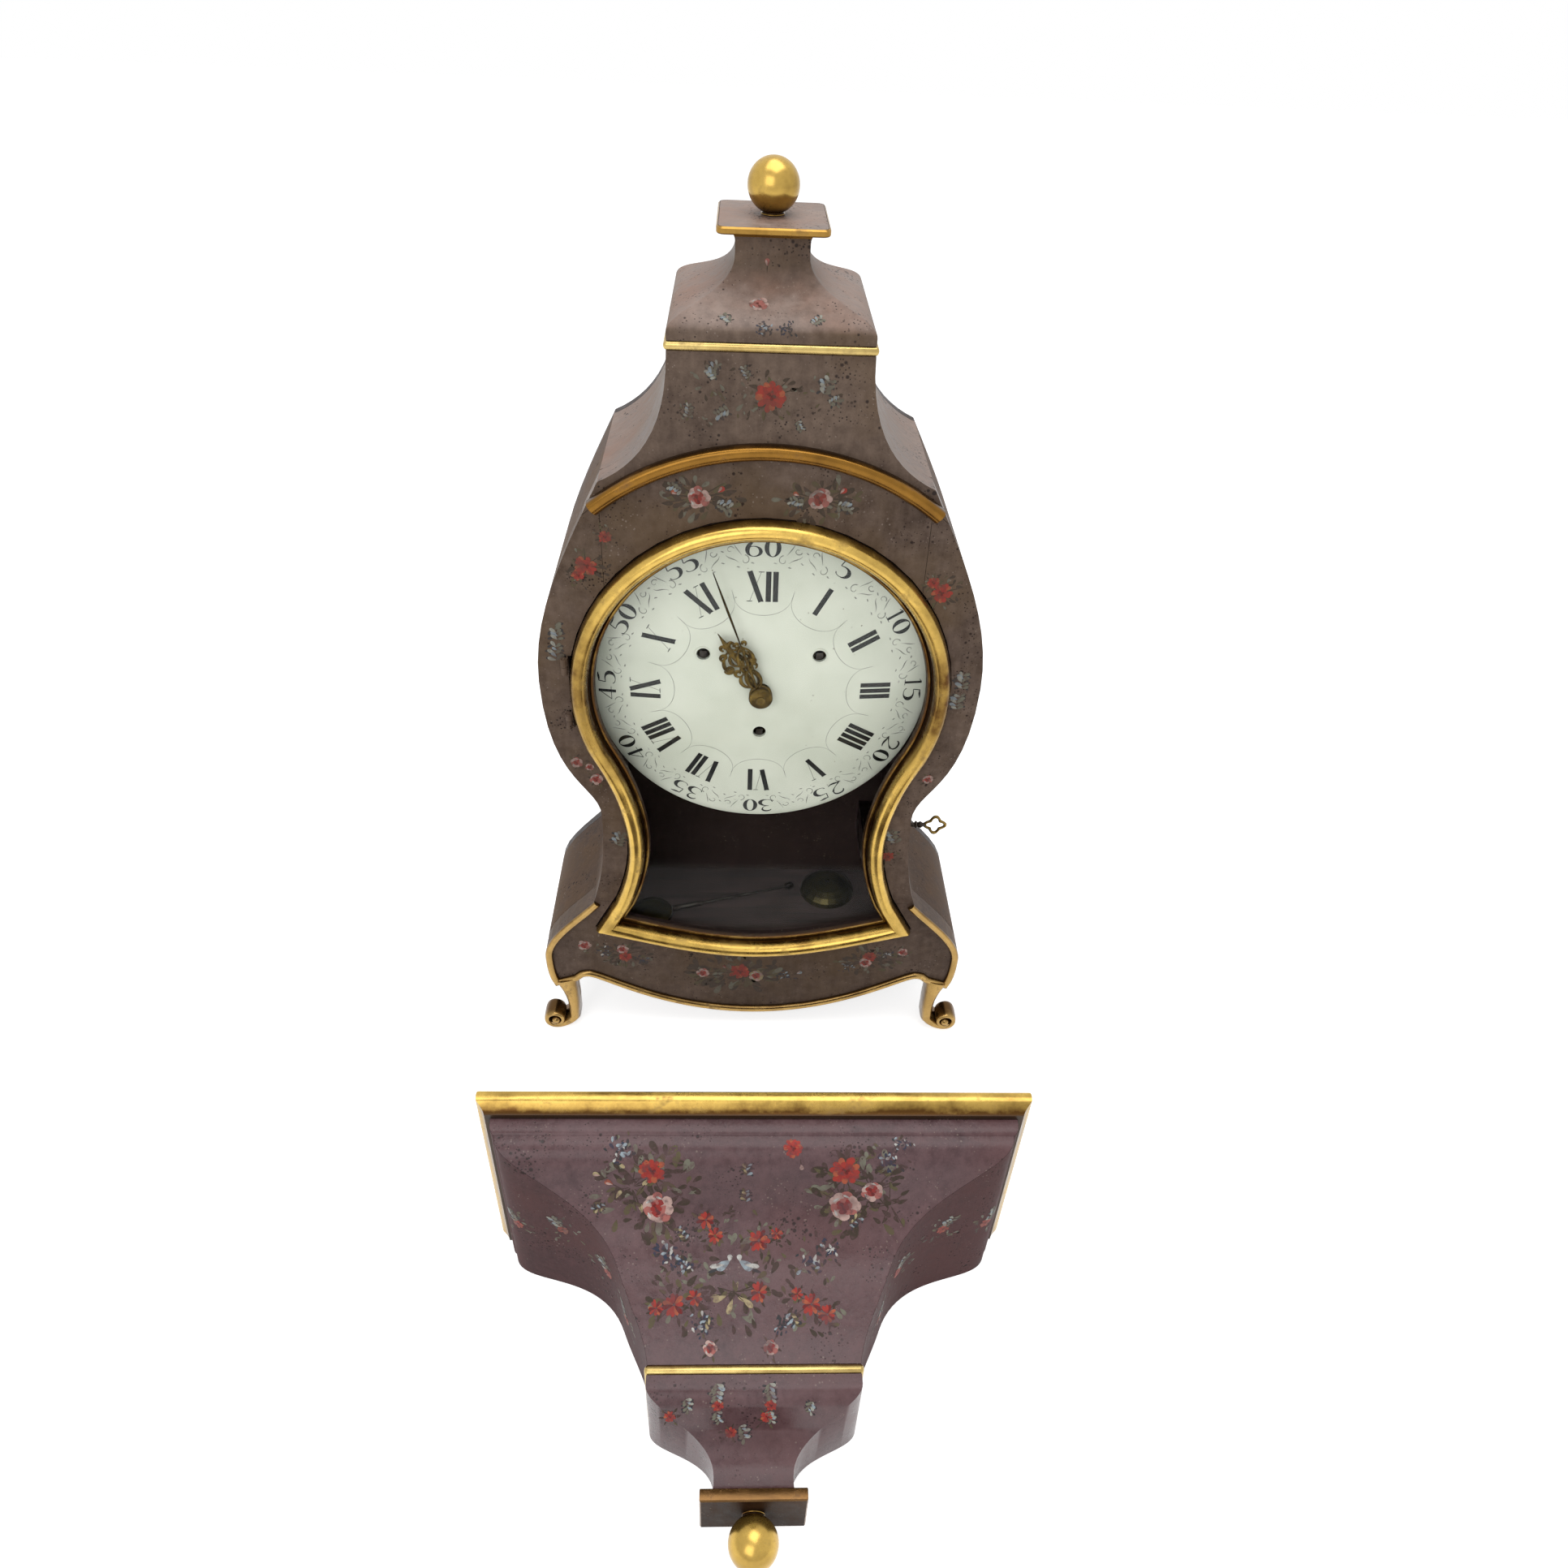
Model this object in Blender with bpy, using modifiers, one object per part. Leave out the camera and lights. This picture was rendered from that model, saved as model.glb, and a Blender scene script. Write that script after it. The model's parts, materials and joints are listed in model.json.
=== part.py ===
"""Waisted bracket clock and its wall bracket, built piece by piece. Metres, +Z up.

The clock stands on its feet. The bracket lies on its back in front of it, top towards the clock.
"""

import math

import bmesh
import bpy
import numpy as np
from mathutils import Matrix, Vector

# Fits
GAP = 0.0003
FIT = 0.0003
DOOR_CLEARANCE = 0.0009

# Case: heights are above the floor, rises above the named piece, halves from the middle plane
DIAL_HEIGHT = 0.330
CASE_DEPTH = 0.122
FRONT_THICK = 0.018
BACK_THICK = 0.008
SIDE_THICK = 0.010
ROOF_THICK = 0.008
SHOULDER_HALF = 0.103
SHOULDER_RISE = 0.164
SHOULDER_HEIGHT = DIAL_HEIGHT + SHOULDER_RISE
SHOULDER_LEAN = 27
BELLY_HALF = 0.1515
BELLY_RISE = 0.020
BELLY_HEIGHT = DIAL_HEIGHT + BELLY_RISE
WAIST_HALF = 0.116
WAIST_HEIGHT = 0.230
BASE_TOP_HALF = 0.1275
BASE_TOP_HEIGHT = 0.143
BASE_TOP_LEAN_ABOVE = 18
BASE_TOP_LEAN_BELOW = 40
BASE_HALF = 0.1715
BASE_HEIGHT = 0.080
NECK_TUCK = 0.0055
NECK_HALF = BASE_HALF - NECK_TUCK
NECK_HEIGHT = 0.045
NECK_LEAN = -25
NECK_WIDTH = 0.0195
APRON_RISE = 0.007
APRON_CREST_INSET = 0.029
APRON_CREST_RISE = 0.0122
APRON_LOW = 0.014
FLOOR_TOP = 0.075
FLOOR_THICK = 0.010

# Hood, cap and finial
HOOD_TOP_HALF = 0.0595
HOOD_RISE = 0.079
HOOD_TOP_HEIGHT = SHOULDER_HEIGHT + HOOD_RISE
ARCH_HALF = 0.107
ARCH_END_DROP = 0.016
ARCH_END_HEIGHT = SHOULDER_HEIGHT - ARCH_END_DROP
ARCH_RISE = 0.038
ARCH_MID_HEIGHT = ARCH_END_HEIGHT + ARCH_RISE
ARCH_WIDTH = 0.010
ARCH_PROUD = 0.008
DECK_THICK = 0.005
DECK_LIP = 0.0015
OGEE_TURN = 0.36
CAP_HEIGHT = 0.0497
CAP_STRAIGHT = 0.004
CAP_NECK_INSET = 0.038
CAP_NECK_HEIGHT = 0.037
CAP_FLARE = 0.0095
CAP_PLATE_HALF = 0.032
CAP_PLATE_HALF_DEPTH = 0.035
CAP_PLATE_THICK = 0.004
BALL_RADIUS = 0.015
BALL_NECK_RADIUS = 0.006

# Glazed door: one swept frame round the dial and the waist
RING_RISE = 0.012
RING_HEIGHT = DIAL_HEIGHT + RING_RISE
RING_RADIUS = 0.1305
RING_LEAVES_AT = 26
DOOR_WAIST_HALF = 0.0975
DOOR_WAIST_HEIGHT = 0.205
DOOR_CORNER_HALF = 0.1275
DOOR_CORNER_HEIGHT = 0.1145
DOOR_CORNER_LEAN = 38
DOOR_FOOT_HEIGHT = 0.0875
BEZEL_WIDTH = 0.0165
BEZEL_PROUD = 0.011
BEZEL_DEPTH = 0.012
BEZEL_REBATE = 0.0045
GLASS_THICK = 0.002
GLASS_FRONT = 0.004
SEAM_HALF = 0.103

# Door hinges
HINGE_OFFSET = 0.0025
HINGE_FORWARD = 0.0032
HINGE_SPREAD = 0.022
KNUCKLE_RADIUS = 0.0023
KNUCKLE_LENGTH = 0.006
HINGE_PIN_RADIUS = 0.0011
LEAF_THICK = 0.0012
LEAF_DEPTH = 0.011
CASE_LEAF_OFFSET = 0.0004
DOOR_LEAF_OFFSET = 0.0021

# Dial, hands and motion work
DIAL_RADIUS = 0.120
DIAL_CROWN = 0.0215
DIAL_DOME = 0.008
DIAL_THICK = 0.0025
DIAL_HOLE = 0.0075
WINDING_HOLE = 0.0048
WINDING_SIDE = 0.0405
WINDING_RISE = 0.030
WINDING_DROP = 0.035
MINUTE_HAND_LENGTH = 0.103
MINUTE_HAND_ANGLE = 18.9
HOUR_HAND_LENGTH = 0.058
HOUR_HAND_ANGLE = 31.5
HAND_THICK = 0.0011
HOUR_HAND_FRONT = 0.0170
MINUTE_HAND_FRONT = 0.0134
BOSS_RADIUS = 0.0085
BOSS_THICK = 0.0022
ARBOR_FRONT = 0.0095
CANNON_RADIUS = 0.0032
HOUR_PIPE_RADIUS = 0.0055
CANNON_TEETH = 12
MINUTE_WHEEL_TEETH = 36
MINUTE_PINION_TEETH = 10
HOUR_WHEEL_TEETH = 40
MOTION_MODULE = 0.0008
STUD_RADIUS = 0.0016

# Movement
PLATE_HALF = 0.065
PLATE_THICK = 0.003
FRONT_PLATE = 0.044
BACK_ROOM = 0.030
BACK_PLATE = CASE_DEPTH - BACK_ROOM
PILLAR_RADIUS = 0.005
PILLAR_INSET = 0.008
SEAT_THICK = 0.010
BARREL_RADIUS = 0.0235
BARREL_FRONT = 0.055
BARREL_ROOM = 0.007
BARREL_LENGTH = BACK_PLATE - BARREL_FRONT - BARREL_ROOM
WINDING_ARBOR_RADIUS = 0.003
WINDING_SQUARE = 0.0048
WINDING_SQUARE_LENGTH = 0.012
DIAL_FOOT_RADIUS = 0.003
DIAL_FOOT_CIRCLE = 0.060
BELL_HEIGHT = 0.022
BELL_RISE = 0.110
BELL_TOP = DIAL_HEIGHT + BELL_RISE
BELL_REACH = 0.032
BELL_AXIS_DEPTH = BACK_PLATE - BELL_REACH
BELL_ROOM = 0.002
BELL_RADIUS = BELL_AXIS_DEPTH - DIAL_CROWN - DIAL_DOME - DIAL_THICK - BELL_ROOM
BELL_WALL = 0.002
BELL_POST_RADIUS = 0.003
HAMMER_REACH = 0.008
HAMMER_SIDE = BELL_RADIUS + HAMMER_REACH
HAMMER_RISE = 0.057
HAMMER_ARBOR_RADIUS = 0.002
HAMMER_HEAD_RADIUS = 0.005
HAMMER_HEAD_LENGTH = 0.010

# Crutch, and the pendulum and second bell that lie unhooked on the case floor
CRUTCH_RISE = 0.048
CRUTCH_HEIGHT = DIAL_HEIGHT + CRUTCH_RISE
CRUTCH_OVERHANG = 0.011
CRUTCH_PLANE = BACK_PLATE + CRUTCH_OVERHANG
CRUTCH_LENGTH = 0.075
CRUTCH_ARBOR_RADIUS = 0.0015
CRUTCH_HUB_RADIUS = 0.004
CRUTCH_FORK = 0.008
PENDULUM_X = -0.088
PENDULUM_Y = 0.052
PENDULUM_TURN = 16.5
PENDULUM_LENGTH = 0.125
PENDULUM_ROD_RADIUS = 0.0012
PENDULUM_SLEEVE_RADIUS = 0.0024
PENDULUM_SLEEVE_LENGTH = 0.026
PENDULUM_HOOK_THICK = 0.0025
BOB_RADIUS = 0.018
BOB_THICK = 0.008
LOOSE_BELL_X = 0.066
LOOSE_BELL_BEFORE_BACK = 0.0355
LOOSE_BELL_Y = CASE_DEPTH - LOOSE_BELL_BEFORE_BACK
LOOSE_BELL_RADIUS = 0.024
LOOSE_BELL_HEIGHT = 0.012

# Side lock and key
LOCK_WIDTH = 0.023
LOCK_LOW = 0.172
LOCK_TOP = 0.199
LOCK_FRONT = 0.022
LOCK_BACK = 0.062
KEY_HEIGHT = 0.186
KEY_DEPTH = 0.048
KEY_REACH = 0.024
KEY_SHAFT_RADIUS = 0.0018
KEY_BOW_RADIUS = 0.0065
KEY_BOW_WIRE = 0.0016
KEY_BIT_LENGTH = 0.0062
KEY_BIT_WIDTH = 0.006
KEY_BIT_THICK = 0.0016
KEY_POCKET_RADIUS = 0.0075
KEY_POCKET_DEPTH = 0.016
BOLT_WIDTH = 0.0044
BOLT_DEPTH = 0.0054
BOLT_LENGTH = 0.026
BOLT_INSET = 0.0035
BOLT_FRONT = 0.0255
BOLT_TRAVEL = 0.008
STAPLE_LOW = 0.203
STAPLE_THICK = 0.0025
STAPLE_REACH = 0.022
STAPLE_WIDTH = 0.010
STAPLE_FLANGE = 0.002
STAPLE_FLANGE_HEIGHT = 0.016

# Feet and gilt base edging
FOOT_SCROLL_RADIUS = 0.0155
FOOT_SCROLL_INSET = 0.0035
FOOT_SCROLL_SIDE = NECK_HALF - FOOT_SCROLL_INSET
FOOT_FLAT = 0.0005
FOOT_DEPTH = 0.022
FOOT_PROUD = 0.010
SCROLL_SWELL = 0.003
SCROLL_BACK = 0.004
BACK_FOOT_INSET = 0.030
BACK_FOOT_SIDE = NECK_HALF - BACK_FOOT_INSET
BACK_FOOT_WIDTH = 0.022
BACK_FOOT_DEPTH = 0.024
EDGING_WIDTH = 0.006
EDGING_PROUD = 0.004

# Wall bracket, modelled as it hangs: top at 0, wall at y = 0, front towards -y
BRACKET_STAND_OFF = 0.191
BRACKET_TOP_HALF = 0.1725
BRACKET_TOP_DEPTH = 0.147
BRACKET_TOP_THICK = 0.015
BRACKET_MOULDING = 0.010
BRACKET_BOX_FOOT = 0.135
BRACKET_BOX_HALF = 0.066
BRACKET_ROLL = 0.0677
BRACKET_BEAD = 0.0095
BRACKET_BEAD_STEP = 0.045
BRACKET_ROLL_SHARE = 0.80
BRACKET_WALL = 0.012
BRACKET_BAND = 0.0055
BRACKET_BAND_LIP = 0.0015
PENDANT_HEIGHT = 0.053
PENDANT_STRAIGHT = 0.006
PENDANT_NECK_INSET = 0.042
PENDANT_NECK_HEIGHT = 0.044
PENDANT_FLARE = 0.0075
PENDANT_PLATE_HALF = 0.032
PENDANT_PLATE_DEPTH = 0.039
PENDANT_PLATE_THICK = 0.007

# Colours, roughness and metal share of the finishes
PAINT = ("mauve_paint", (0.16, 0.11, 0.115), 0.55, 0.0)
BRACKET_PAINT = ("plum_paint", (0.17, 0.085, 0.11), 0.5, 0.0)
GILT = ("gilding", (0.55, 0.33, 0.08), 0.35, 0.9)
BRASS = ("brass", (0.45, 0.32, 0.13), 0.35, 1.0)
IRON = ("iron", (0.10, 0.10, 0.10), 0.45, 1.0)
ENAMEL = ("enamel", (0.72, 0.74, 0.68), 0.15, 0.0)
GLASS = ("glass", (0.9, 0.95, 0.93), 0.05, 0.0)
BARE_WOOD = ("bare_wood", (0.20, 0.13, 0.10), 0.7, 0.0)
BELL_METAL = ("bell_metal", (0.40, 0.33, 0.20), 0.3, 1.0)

for leftover in list(bpy.data.objects):
    bpy.data.objects.remove(leftover)

PARTS = bpy.data.collections.new("bracket_clock")
bpy.context.scene.collection.children.link(PARTS)


# Plane curves


def bezier(start, start_handle, end_handle, end, steps):
    """Points along one cubic curve, both ends included."""
    knots = np.array([start, start_handle, end_handle, end])
    points = []
    for t in np.linspace(0, 1, steps + 1):
        weights = np.array([(1 - t) ** 3, 3 * t * (1 - t) ** 2, 3 * t * t * (1 - t), t**3])
        points.append(tuple(weights @ knots))
    return points


def arc(centre, radius, start, end, steps):
    """Points on a circle between two angles in degrees."""
    angles = np.radians(np.linspace(start, end, steps + 1))
    return [(centre[0] + radius * math.cos(a), centre[1] + radius * math.sin(a)) for a in angles]


def lean(degrees, length):
    """A step downwards that leans outwards by an angle from the vertical."""
    angle = math.radians(degrees)
    return np.array([length * math.sin(angle), -length * math.cos(angle)])


def mirrored(points):
    return [(-x, z) for x, z in points]


def both_sides(right_half):
    """Closed outline, anticlockwise, from a right half that runs from top to bottom."""
    left = [p for p in mirrored(right_half) if abs(p[0]) > 1e-9]
    return right_half[::-1] + left


def normals(points, closed):
    """Unit normals to the left of a path, lengthened at corners so that offsets stay mitred."""
    path = np.array(points)
    ahead = np.roll(path, -1, axis=0) - path
    if not closed:
        ahead[-1] = ahead[-2]
    ahead /= np.linalg.norm(ahead, axis=1)[:, None]
    behind = np.roll(ahead, 1, axis=0)
    if not closed:
        behind[0] = ahead[0]
    left_ahead = np.stack([-ahead[:, 1], ahead[:, 0]], axis=1)
    left_behind = np.stack([-behind[:, 1], behind[:, 0]], axis=1)
    middle = left_ahead + left_behind
    return 2 * middle / (middle * middle).sum(axis=1)[:, None]


def offset(points, distance, closed=False):
    """The path moved to its left by a distance."""
    moved = np.array(points) + distance * normals(points, closed)
    return [tuple(p) for p in moved]


def straightened(points, corner, reach):
    """The path without the points that lie near a corner, but with the corner itself."""
    def kept(point):
        away = math.dist(point, corner)
        return away > reach or away < 1e-9

    return [p for p in points if kept(p)]


# Solids


def finished(name, mesh, finish):
    """One object of the clock, with its material, smooth where it is round."""
    colour_name, colour, roughness, metallic = finish
    material = bpy.data.materials.get(colour_name)
    if material is None:
        material = bpy.data.materials.new(colour_name)
        material.use_nodes = True
        shader = material.node_tree.nodes["Principled BSDF"]
        shader.inputs["Base Color"].default_value = (*colour, 1.0)
        shader.inputs["Roughness"].default_value = roughness
        shader.inputs["Metallic"].default_value = metallic
    mesh.materials.clear()
    mesh.materials.append(material)
    mesh.shade_smooth()
    mesh.set_sharp_from_angle(angle=math.radians(35))
    solid = bpy.data.objects.new(name, mesh)
    PARTS.objects.link(solid)
    return solid


def mesh_of(obj):
    """The object's evaluated mesh, welded, with its place applied. The object is removed."""
    bpy.context.view_layer.update()
    graph = bpy.context.evaluated_depsgraph_get()
    mesh = bpy.data.meshes.new_from_object(obj.evaluated_get(graph))
    mesh.transform(obj.matrix_world)
    weld = bmesh.new()
    weld.from_mesh(mesh)
    bmesh.ops.remove_doubles(weld, verts=weld.verts, dist=1e-6)
    bmesh.ops.recalc_face_normals(weld, faces=weld.faces)
    weld.to_mesh(mesh)
    weld.free()
    bpy.data.objects.remove(obj)
    return mesh


def board(name, outlines, front, back, finish):
    """A flat piece cut to an outline in the front view, with holes, between two depths."""
    curve = bpy.data.curves.new(name, "CURVE")
    curve.dimensions = "2D"
    curve.fill_mode = "BOTH"
    curve.extrude = (back - front) / 2
    for outline in outlines:
        spline = curve.splines.new("POLY")
        spline.points.add(len(outline) - 1)
        for point, (x, z) in zip(spline.points, outline):
            point.co = (x, z, 0, 1)
        spline.use_cyclic_u = True
    drawn = bpy.data.objects.new(name, curve)
    PARTS.objects.link(drawn)
    drawn.location = (0, (front + back) / 2, 0)
    drawn.rotation_euler = (math.pi / 2, 0, 0)
    return finished(name, mesh_of(drawn), finish)


def loft(name, rings, finish, closed=False):
    """A skin over rings with equal counts of points, capped at both ends unless closed on itself."""
    build = bmesh.new()
    rows = [[build.verts.new(point) for point in ring] for ring in rings]
    pairs = list(zip(rows, rows[1:]))
    if closed:
        pairs.append((rows[-1], rows[0]))
    for row, next_row in pairs:
        for index in range(len(row)):
            after = (index + 1) % len(row)
            build.faces.new((row[index], row[after], next_row[after], next_row[index]))
    if not closed:
        build.faces.new(rows[0])
        build.faces.new(rows[-1])
    bmesh.ops.recalc_face_normals(build, faces=build.faces)
    mesh = bpy.data.meshes.new(name)
    build.to_mesh(mesh)
    build.free()
    return finished(name, mesh, finish)


def moulding(name, path, profile, finish, closed=False):
    """A moulding that follows a path in the front view. A profile point is (to the left, depth)."""
    sides = normals(path, closed)
    rings = []
    for (x, z), (side_x, side_z) in zip(path, sides):
        rings.append([(x + left * side_x, depth, z + left * side_z) for left, depth in profile])
    return loft(name, rings, finish, closed)


def turned(name, profile, finish, at=(0, 0, 0), along="Z", steps=24):
    """A turned piece: (radius, height) from top to bottom, spun about an axis through a point."""
    mesh = bpy.data.meshes.new(name)
    links = [(index, index + 1) for index in range(len(profile) - 1)]
    mesh.from_pydata([(radius, 0, height) for radius, height in profile], links, [])
    spun = bpy.data.objects.new(name, mesh)
    PARTS.objects.link(spun)
    screw = spun.modifiers.new("Screw", "SCREW")
    screw.steps = steps
    screw.render_steps = steps
    screw.use_merge_vertices = True
    screw.merge_threshold = 1e-6
    spun.location = at
    turns = {"Z": (0, 0, 0), "Y": (math.pi / 2, 0, 0), "X": (0, math.pi / 2, 0)}
    spun.rotation_euler = turns[along]
    return finished(name, mesh_of(spun), finish)


def rod(name, start, end, radius, finish, sides=12):
    """A round bar between two points."""
    start, end = Vector(start), Vector(end)
    build = bmesh.new()
    length = (end - start).length
    bmesh.ops.create_cone(
        build, cap_ends=True, segments=sides, radius1=radius, radius2=radius, depth=length
    )
    turn = (end - start).to_track_quat("Z", "Y").to_matrix().to_4x4()
    build.transform(Matrix.Translation((start + end) / 2) @ turn)
    mesh = bpy.data.meshes.new(name)
    build.to_mesh(mesh)
    build.free()
    return finished(name, mesh, finish)


def block(name, low, high, finish):
    """A square-edged piece between two corners."""
    build = bmesh.new()
    bmesh.ops.create_cube(build, size=1)
    low, high = Vector(low), Vector(high)
    build.transform(Matrix.Translation((low + high) / 2) @ Matrix.Diagonal((*(high - low), 1)))
    mesh = bpy.data.meshes.new(name)
    build.to_mesh(mesh)
    build.free()
    return finished(name, mesh, finish)


def worked(body, operation, *tools):
    """The body after each tool is cut from it, joined to it or kept in common with it."""
    name, finish = body.name, body.data.materials[0]
    for tool in tools:
        step = body.modifiers.new(operation, "BOOLEAN")
        step.operation = operation
        step.object = tool
        mesh = mesh_of_kept(body)
        body.modifiers.clear()
        body.data = mesh
        bpy.data.objects.remove(tool)
    body.data.materials.clear()
    body.data.materials.append(finish)
    body.data.shade_smooth()
    body.data.set_sharp_from_angle(angle=math.radians(35))
    body.name = name
    return body


def mesh_of_kept(body):
    bpy.context.view_layer.update()
    graph = bpy.context.evaluated_depsgraph_get()
    return bpy.data.meshes.new_from_object(body.evaluated_get(graph))


def cut(body, *tools):
    return worked(body, "DIFFERENCE", *tools)


def joined(body, *tools):
    return worked(body, "UNION", *tools)


def common(body, *tools):
    return worked(body, "INTERSECT", *tools)


# Outlines of the case and the door


def case_outline():
    """Right side of the case from the shoulder down to the neck of the foot."""
    shoulder = np.array([SHOULDER_HALF, SHOULDER_HEIGHT])
    belly = np.array([BELLY_HALF, BELLY_HEIGHT])
    waist = np.array([WAIST_HALF, WAIST_HEIGHT])
    base_top = np.array([BASE_TOP_HALF, BASE_TOP_HEIGHT])
    base = np.array([BASE_HALF, BASE_HEIGHT])
    neck = np.array([NECK_HALF, NECK_HEIGHT])
    rise = SHOULDER_HEIGHT - BELLY_HEIGHT
    drop = BELLY_HEIGHT - WAIST_HEIGHT
    skirt = WAIST_HEIGHT - BASE_TOP_HEIGHT
    swell = BASE_TOP_HEIGHT - BASE_HEIGHT
    tuck = BASE_HEIGHT - NECK_HEIGHT
    upper = bezier(
        shoulder, shoulder + lean(SHOULDER_LEAN, 0.38 * rise), belly - lean(0, 0.35 * rise), belly, 10
    )
    middle = bezier(belly, belly + lean(0, 0.75 * drop), waist - lean(0, 0.25 * drop), waist, 12)
    lower = bezier(
        waist,
        waist + lean(0, 0.4 * skirt),
        base_top - lean(BASE_TOP_LEAN_ABOVE, 0.3 * skirt),
        base_top,
        6,
    )
    bulge = bezier(
        base_top,
        base_top + lean(BASE_TOP_LEAN_BELOW, 0.4 * swell),
        base - lean(0, 0.35 * swell),
        base,
        7,
    )
    under = bezier(base, base + lean(0, 0.45 * tuck), neck - lean(NECK_LEAN, 0.3 * tuck), neck, 5)
    return upper + middle[1:] + lower[1:] + bulge[1:] + under[1:]


def half_at(points, height):
    """Half-width of a falling outline at a height."""
    rising = points[::-1]
    return float(np.interp(height, [z for _, z in rising], [x for x, _ in rising]))


def hood_outline():
    """Right side of the hood from its flat top down to the shoulder."""
    span = SHOULDER_HALF - HOOD_TOP_HALF
    rise = HOOD_TOP_HEIGHT - SHOULDER_HEIGHT
    top = (HOOD_TOP_HALF, HOOD_TOP_HEIGHT)
    top_handle = (HOOD_TOP_HALF, HOOD_TOP_HEIGHT - 0.6 * rise)
    low_handle = (SHOULDER_HALF - 0.53 * span, SHOULDER_HEIGHT + 0.13 * rise)
    return bezier(top, top_handle, low_handle, (SHOULDER_HALF, SHOULDER_HEIGHT), 12)


def apron_outline():
    """Right side of the apron's lower edge, from the foot over a small crest to the middle."""
    start = (NECK_HALF - NECK_WIDTH, NECK_HEIGHT + APRON_RISE)
    crest = (NECK_HALF - APRON_CREST_INSET, NECK_HEIGHT + APRON_CREST_RISE)
    step = start[0] - crest[0]
    turn = bezier(start, (start[0] - 0.3 * step, crest[1]), (crest[0] + 0.3 * step, crest[1]), crest, 3)
    fall = crest[1] - APRON_LOW
    sweep = bezier(
        crest,
        (0.91 * crest[0], crest[1] - 0.05 * fall),
        (0.55 * crest[0], APRON_LOW),
        (0, APRON_LOW),
        9,
    )
    return turn + sweep[1:]


def door_outline():
    """Closed outer edge of the glazed door, anticlockwise."""
    leaves = math.radians(RING_LEAVES_AT)
    ring = arc((0, RING_HEIGHT), RING_RADIUS, 90, -RING_LEAVES_AT, 15)
    leave = np.array(ring[-1])
    onward = np.array([-math.sin(leaves), -math.cos(leaves)])
    waist = np.array([DOOR_WAIST_HALF, DOOR_WAIST_HEIGHT])
    corner = np.array([DOOR_CORNER_HALF, DOOR_CORNER_HEIGHT])
    drop = leave[1] - DOOR_WAIST_HEIGHT
    skirt = DOOR_WAIST_HEIGHT - DOOR_CORNER_HEIGHT
    sag = DOOR_CORNER_HEIGHT - DOOR_FOOT_HEIGHT
    inward = bezier(leave, leave + 0.38 * drop * onward, waist - lean(0, 0.31 * drop), waist, 8)
    outward = bezier(
        waist, waist + lean(0, 0.37 * skirt), corner - lean(DOOR_CORNER_LEAN, 0.26 * skirt), corner, 9
    )
    rail = bezier(
        corner,
        (0.67 * DOOR_CORNER_HALF, DOOR_CORNER_HEIGHT - 0.45 * sag),
        (0.35 * DOOR_CORNER_HALF, DOOR_FOOT_HEIGHT),
        (0, DOOR_FOOT_HEIGHT),
        8,
    )
    half = ring + inward[1:] + outward[1:] + rail[1:]
    half = straightened(half, tuple(corner), 2 * BEZEL_WIDTH)
    return both_sides(half)


CASE = case_outline()
HOOD = hood_outline()
APRON = apron_outline()
DOOR = door_outline()
CASE_INSIDE = offset(CASE, -SIDE_THICK)
CARCASS_FRONT = FRONT_THICK + GAP
CARCASS_BACK = CASE_DEPTH - BACK_THICK - GAP


# Painted case


def make_sides():
    outline = CASE + CASE_INSIDE[::-1]
    right = board("side_right", [outline], CARCASS_FRONT, CARCASS_BACK, PAINT)
    board("side_left", [mirrored(outline)], CARCASS_FRONT, CARCASS_BACK, PAINT)
    wall = half_at(CASE, KEY_HEIGHT)
    shaft = KEY_SHAFT_RADIUS + 2 * FIT
    hole = rod(
        "keyhole",
        (wall - 2 * SIDE_THICK, KEY_DEPTH, KEY_HEIGHT),
        (wall + SIDE_THICK, KEY_DEPTH, KEY_HEIGHT),
        shaft,
        PAINT,
    )
    slot = block(
        "key_slot",
        (wall - 2 * SIDE_THICK, KEY_DEPTH - KEY_BIT_THICK, KEY_HEIGHT - KEY_BIT_LENGTH - 2 * FIT),
        (wall + SIDE_THICK, KEY_DEPTH + KEY_BIT_THICK, KEY_HEIGHT),
        PAINT,
    )
    cut(right, hole, slot)


def make_back():
    right = HOOD + CASE[1:]
    half = [(0, HOOD_TOP_HEIGHT)] + right + [(0, NECK_HEIGHT)]
    board("back_panel", [both_sides(half)], CASE_DEPTH - BACK_THICK, CASE_DEPTH, PAINT)


def make_roof():
    """Two hollow-curved boards from the shoulders up to the deck."""
    joint = np.array(CASE_INSIDE[0])
    inside = offset(HOOD, -ROOF_THICK)
    kept = [p for p in inside if p[0] < joint[0] - GAP]
    seat = [(SHOULDER_HALF, SHOULDER_HEIGHT + GAP), (joint[0], joint[1] + 2 * GAP)]
    top = [(kept[0][0], HOOD_TOP_HEIGHT)]
    outline = HOOD[:-1] + seat + kept[1:][::-1] + top
    board("hood_roof_right", [outline], CARCASS_FRONT, CARCASS_BACK, PAINT)
    board("hood_roof_left", [mirrored(outline)], CARCASS_FRONT, CARCASS_BACK, PAINT)


def arch_circle():
    """Centre height and radius of the arch over the door."""
    sagitta = ARCH_MID_HEIGHT - ARCH_END_HEIGHT
    radius = (ARCH_HALF**2 + sagitta**2) / (2 * sagitta)
    return ARCH_MID_HEIGHT - radius, radius


def under_arch(name, clearance):
    """Everything below the arch, as a cutter for the front boards."""
    centre, radius = arch_circle()
    reach = math.degrees(math.acos((ARCH_HALF + ARCH_WIDTH) / radius))
    curve = arc((0, centre), radius + clearance, reach, 180 - reach, 24)
    far = 2 * BASE_HALF
    end = curve[0][1]
    outline = [(-far, -far), (far, -far), (far, end)] + curve + [(-far, end)]
    return board(name, [outline], -FRONT_THICK, 2 * FRONT_THICK, PAINT)


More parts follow.
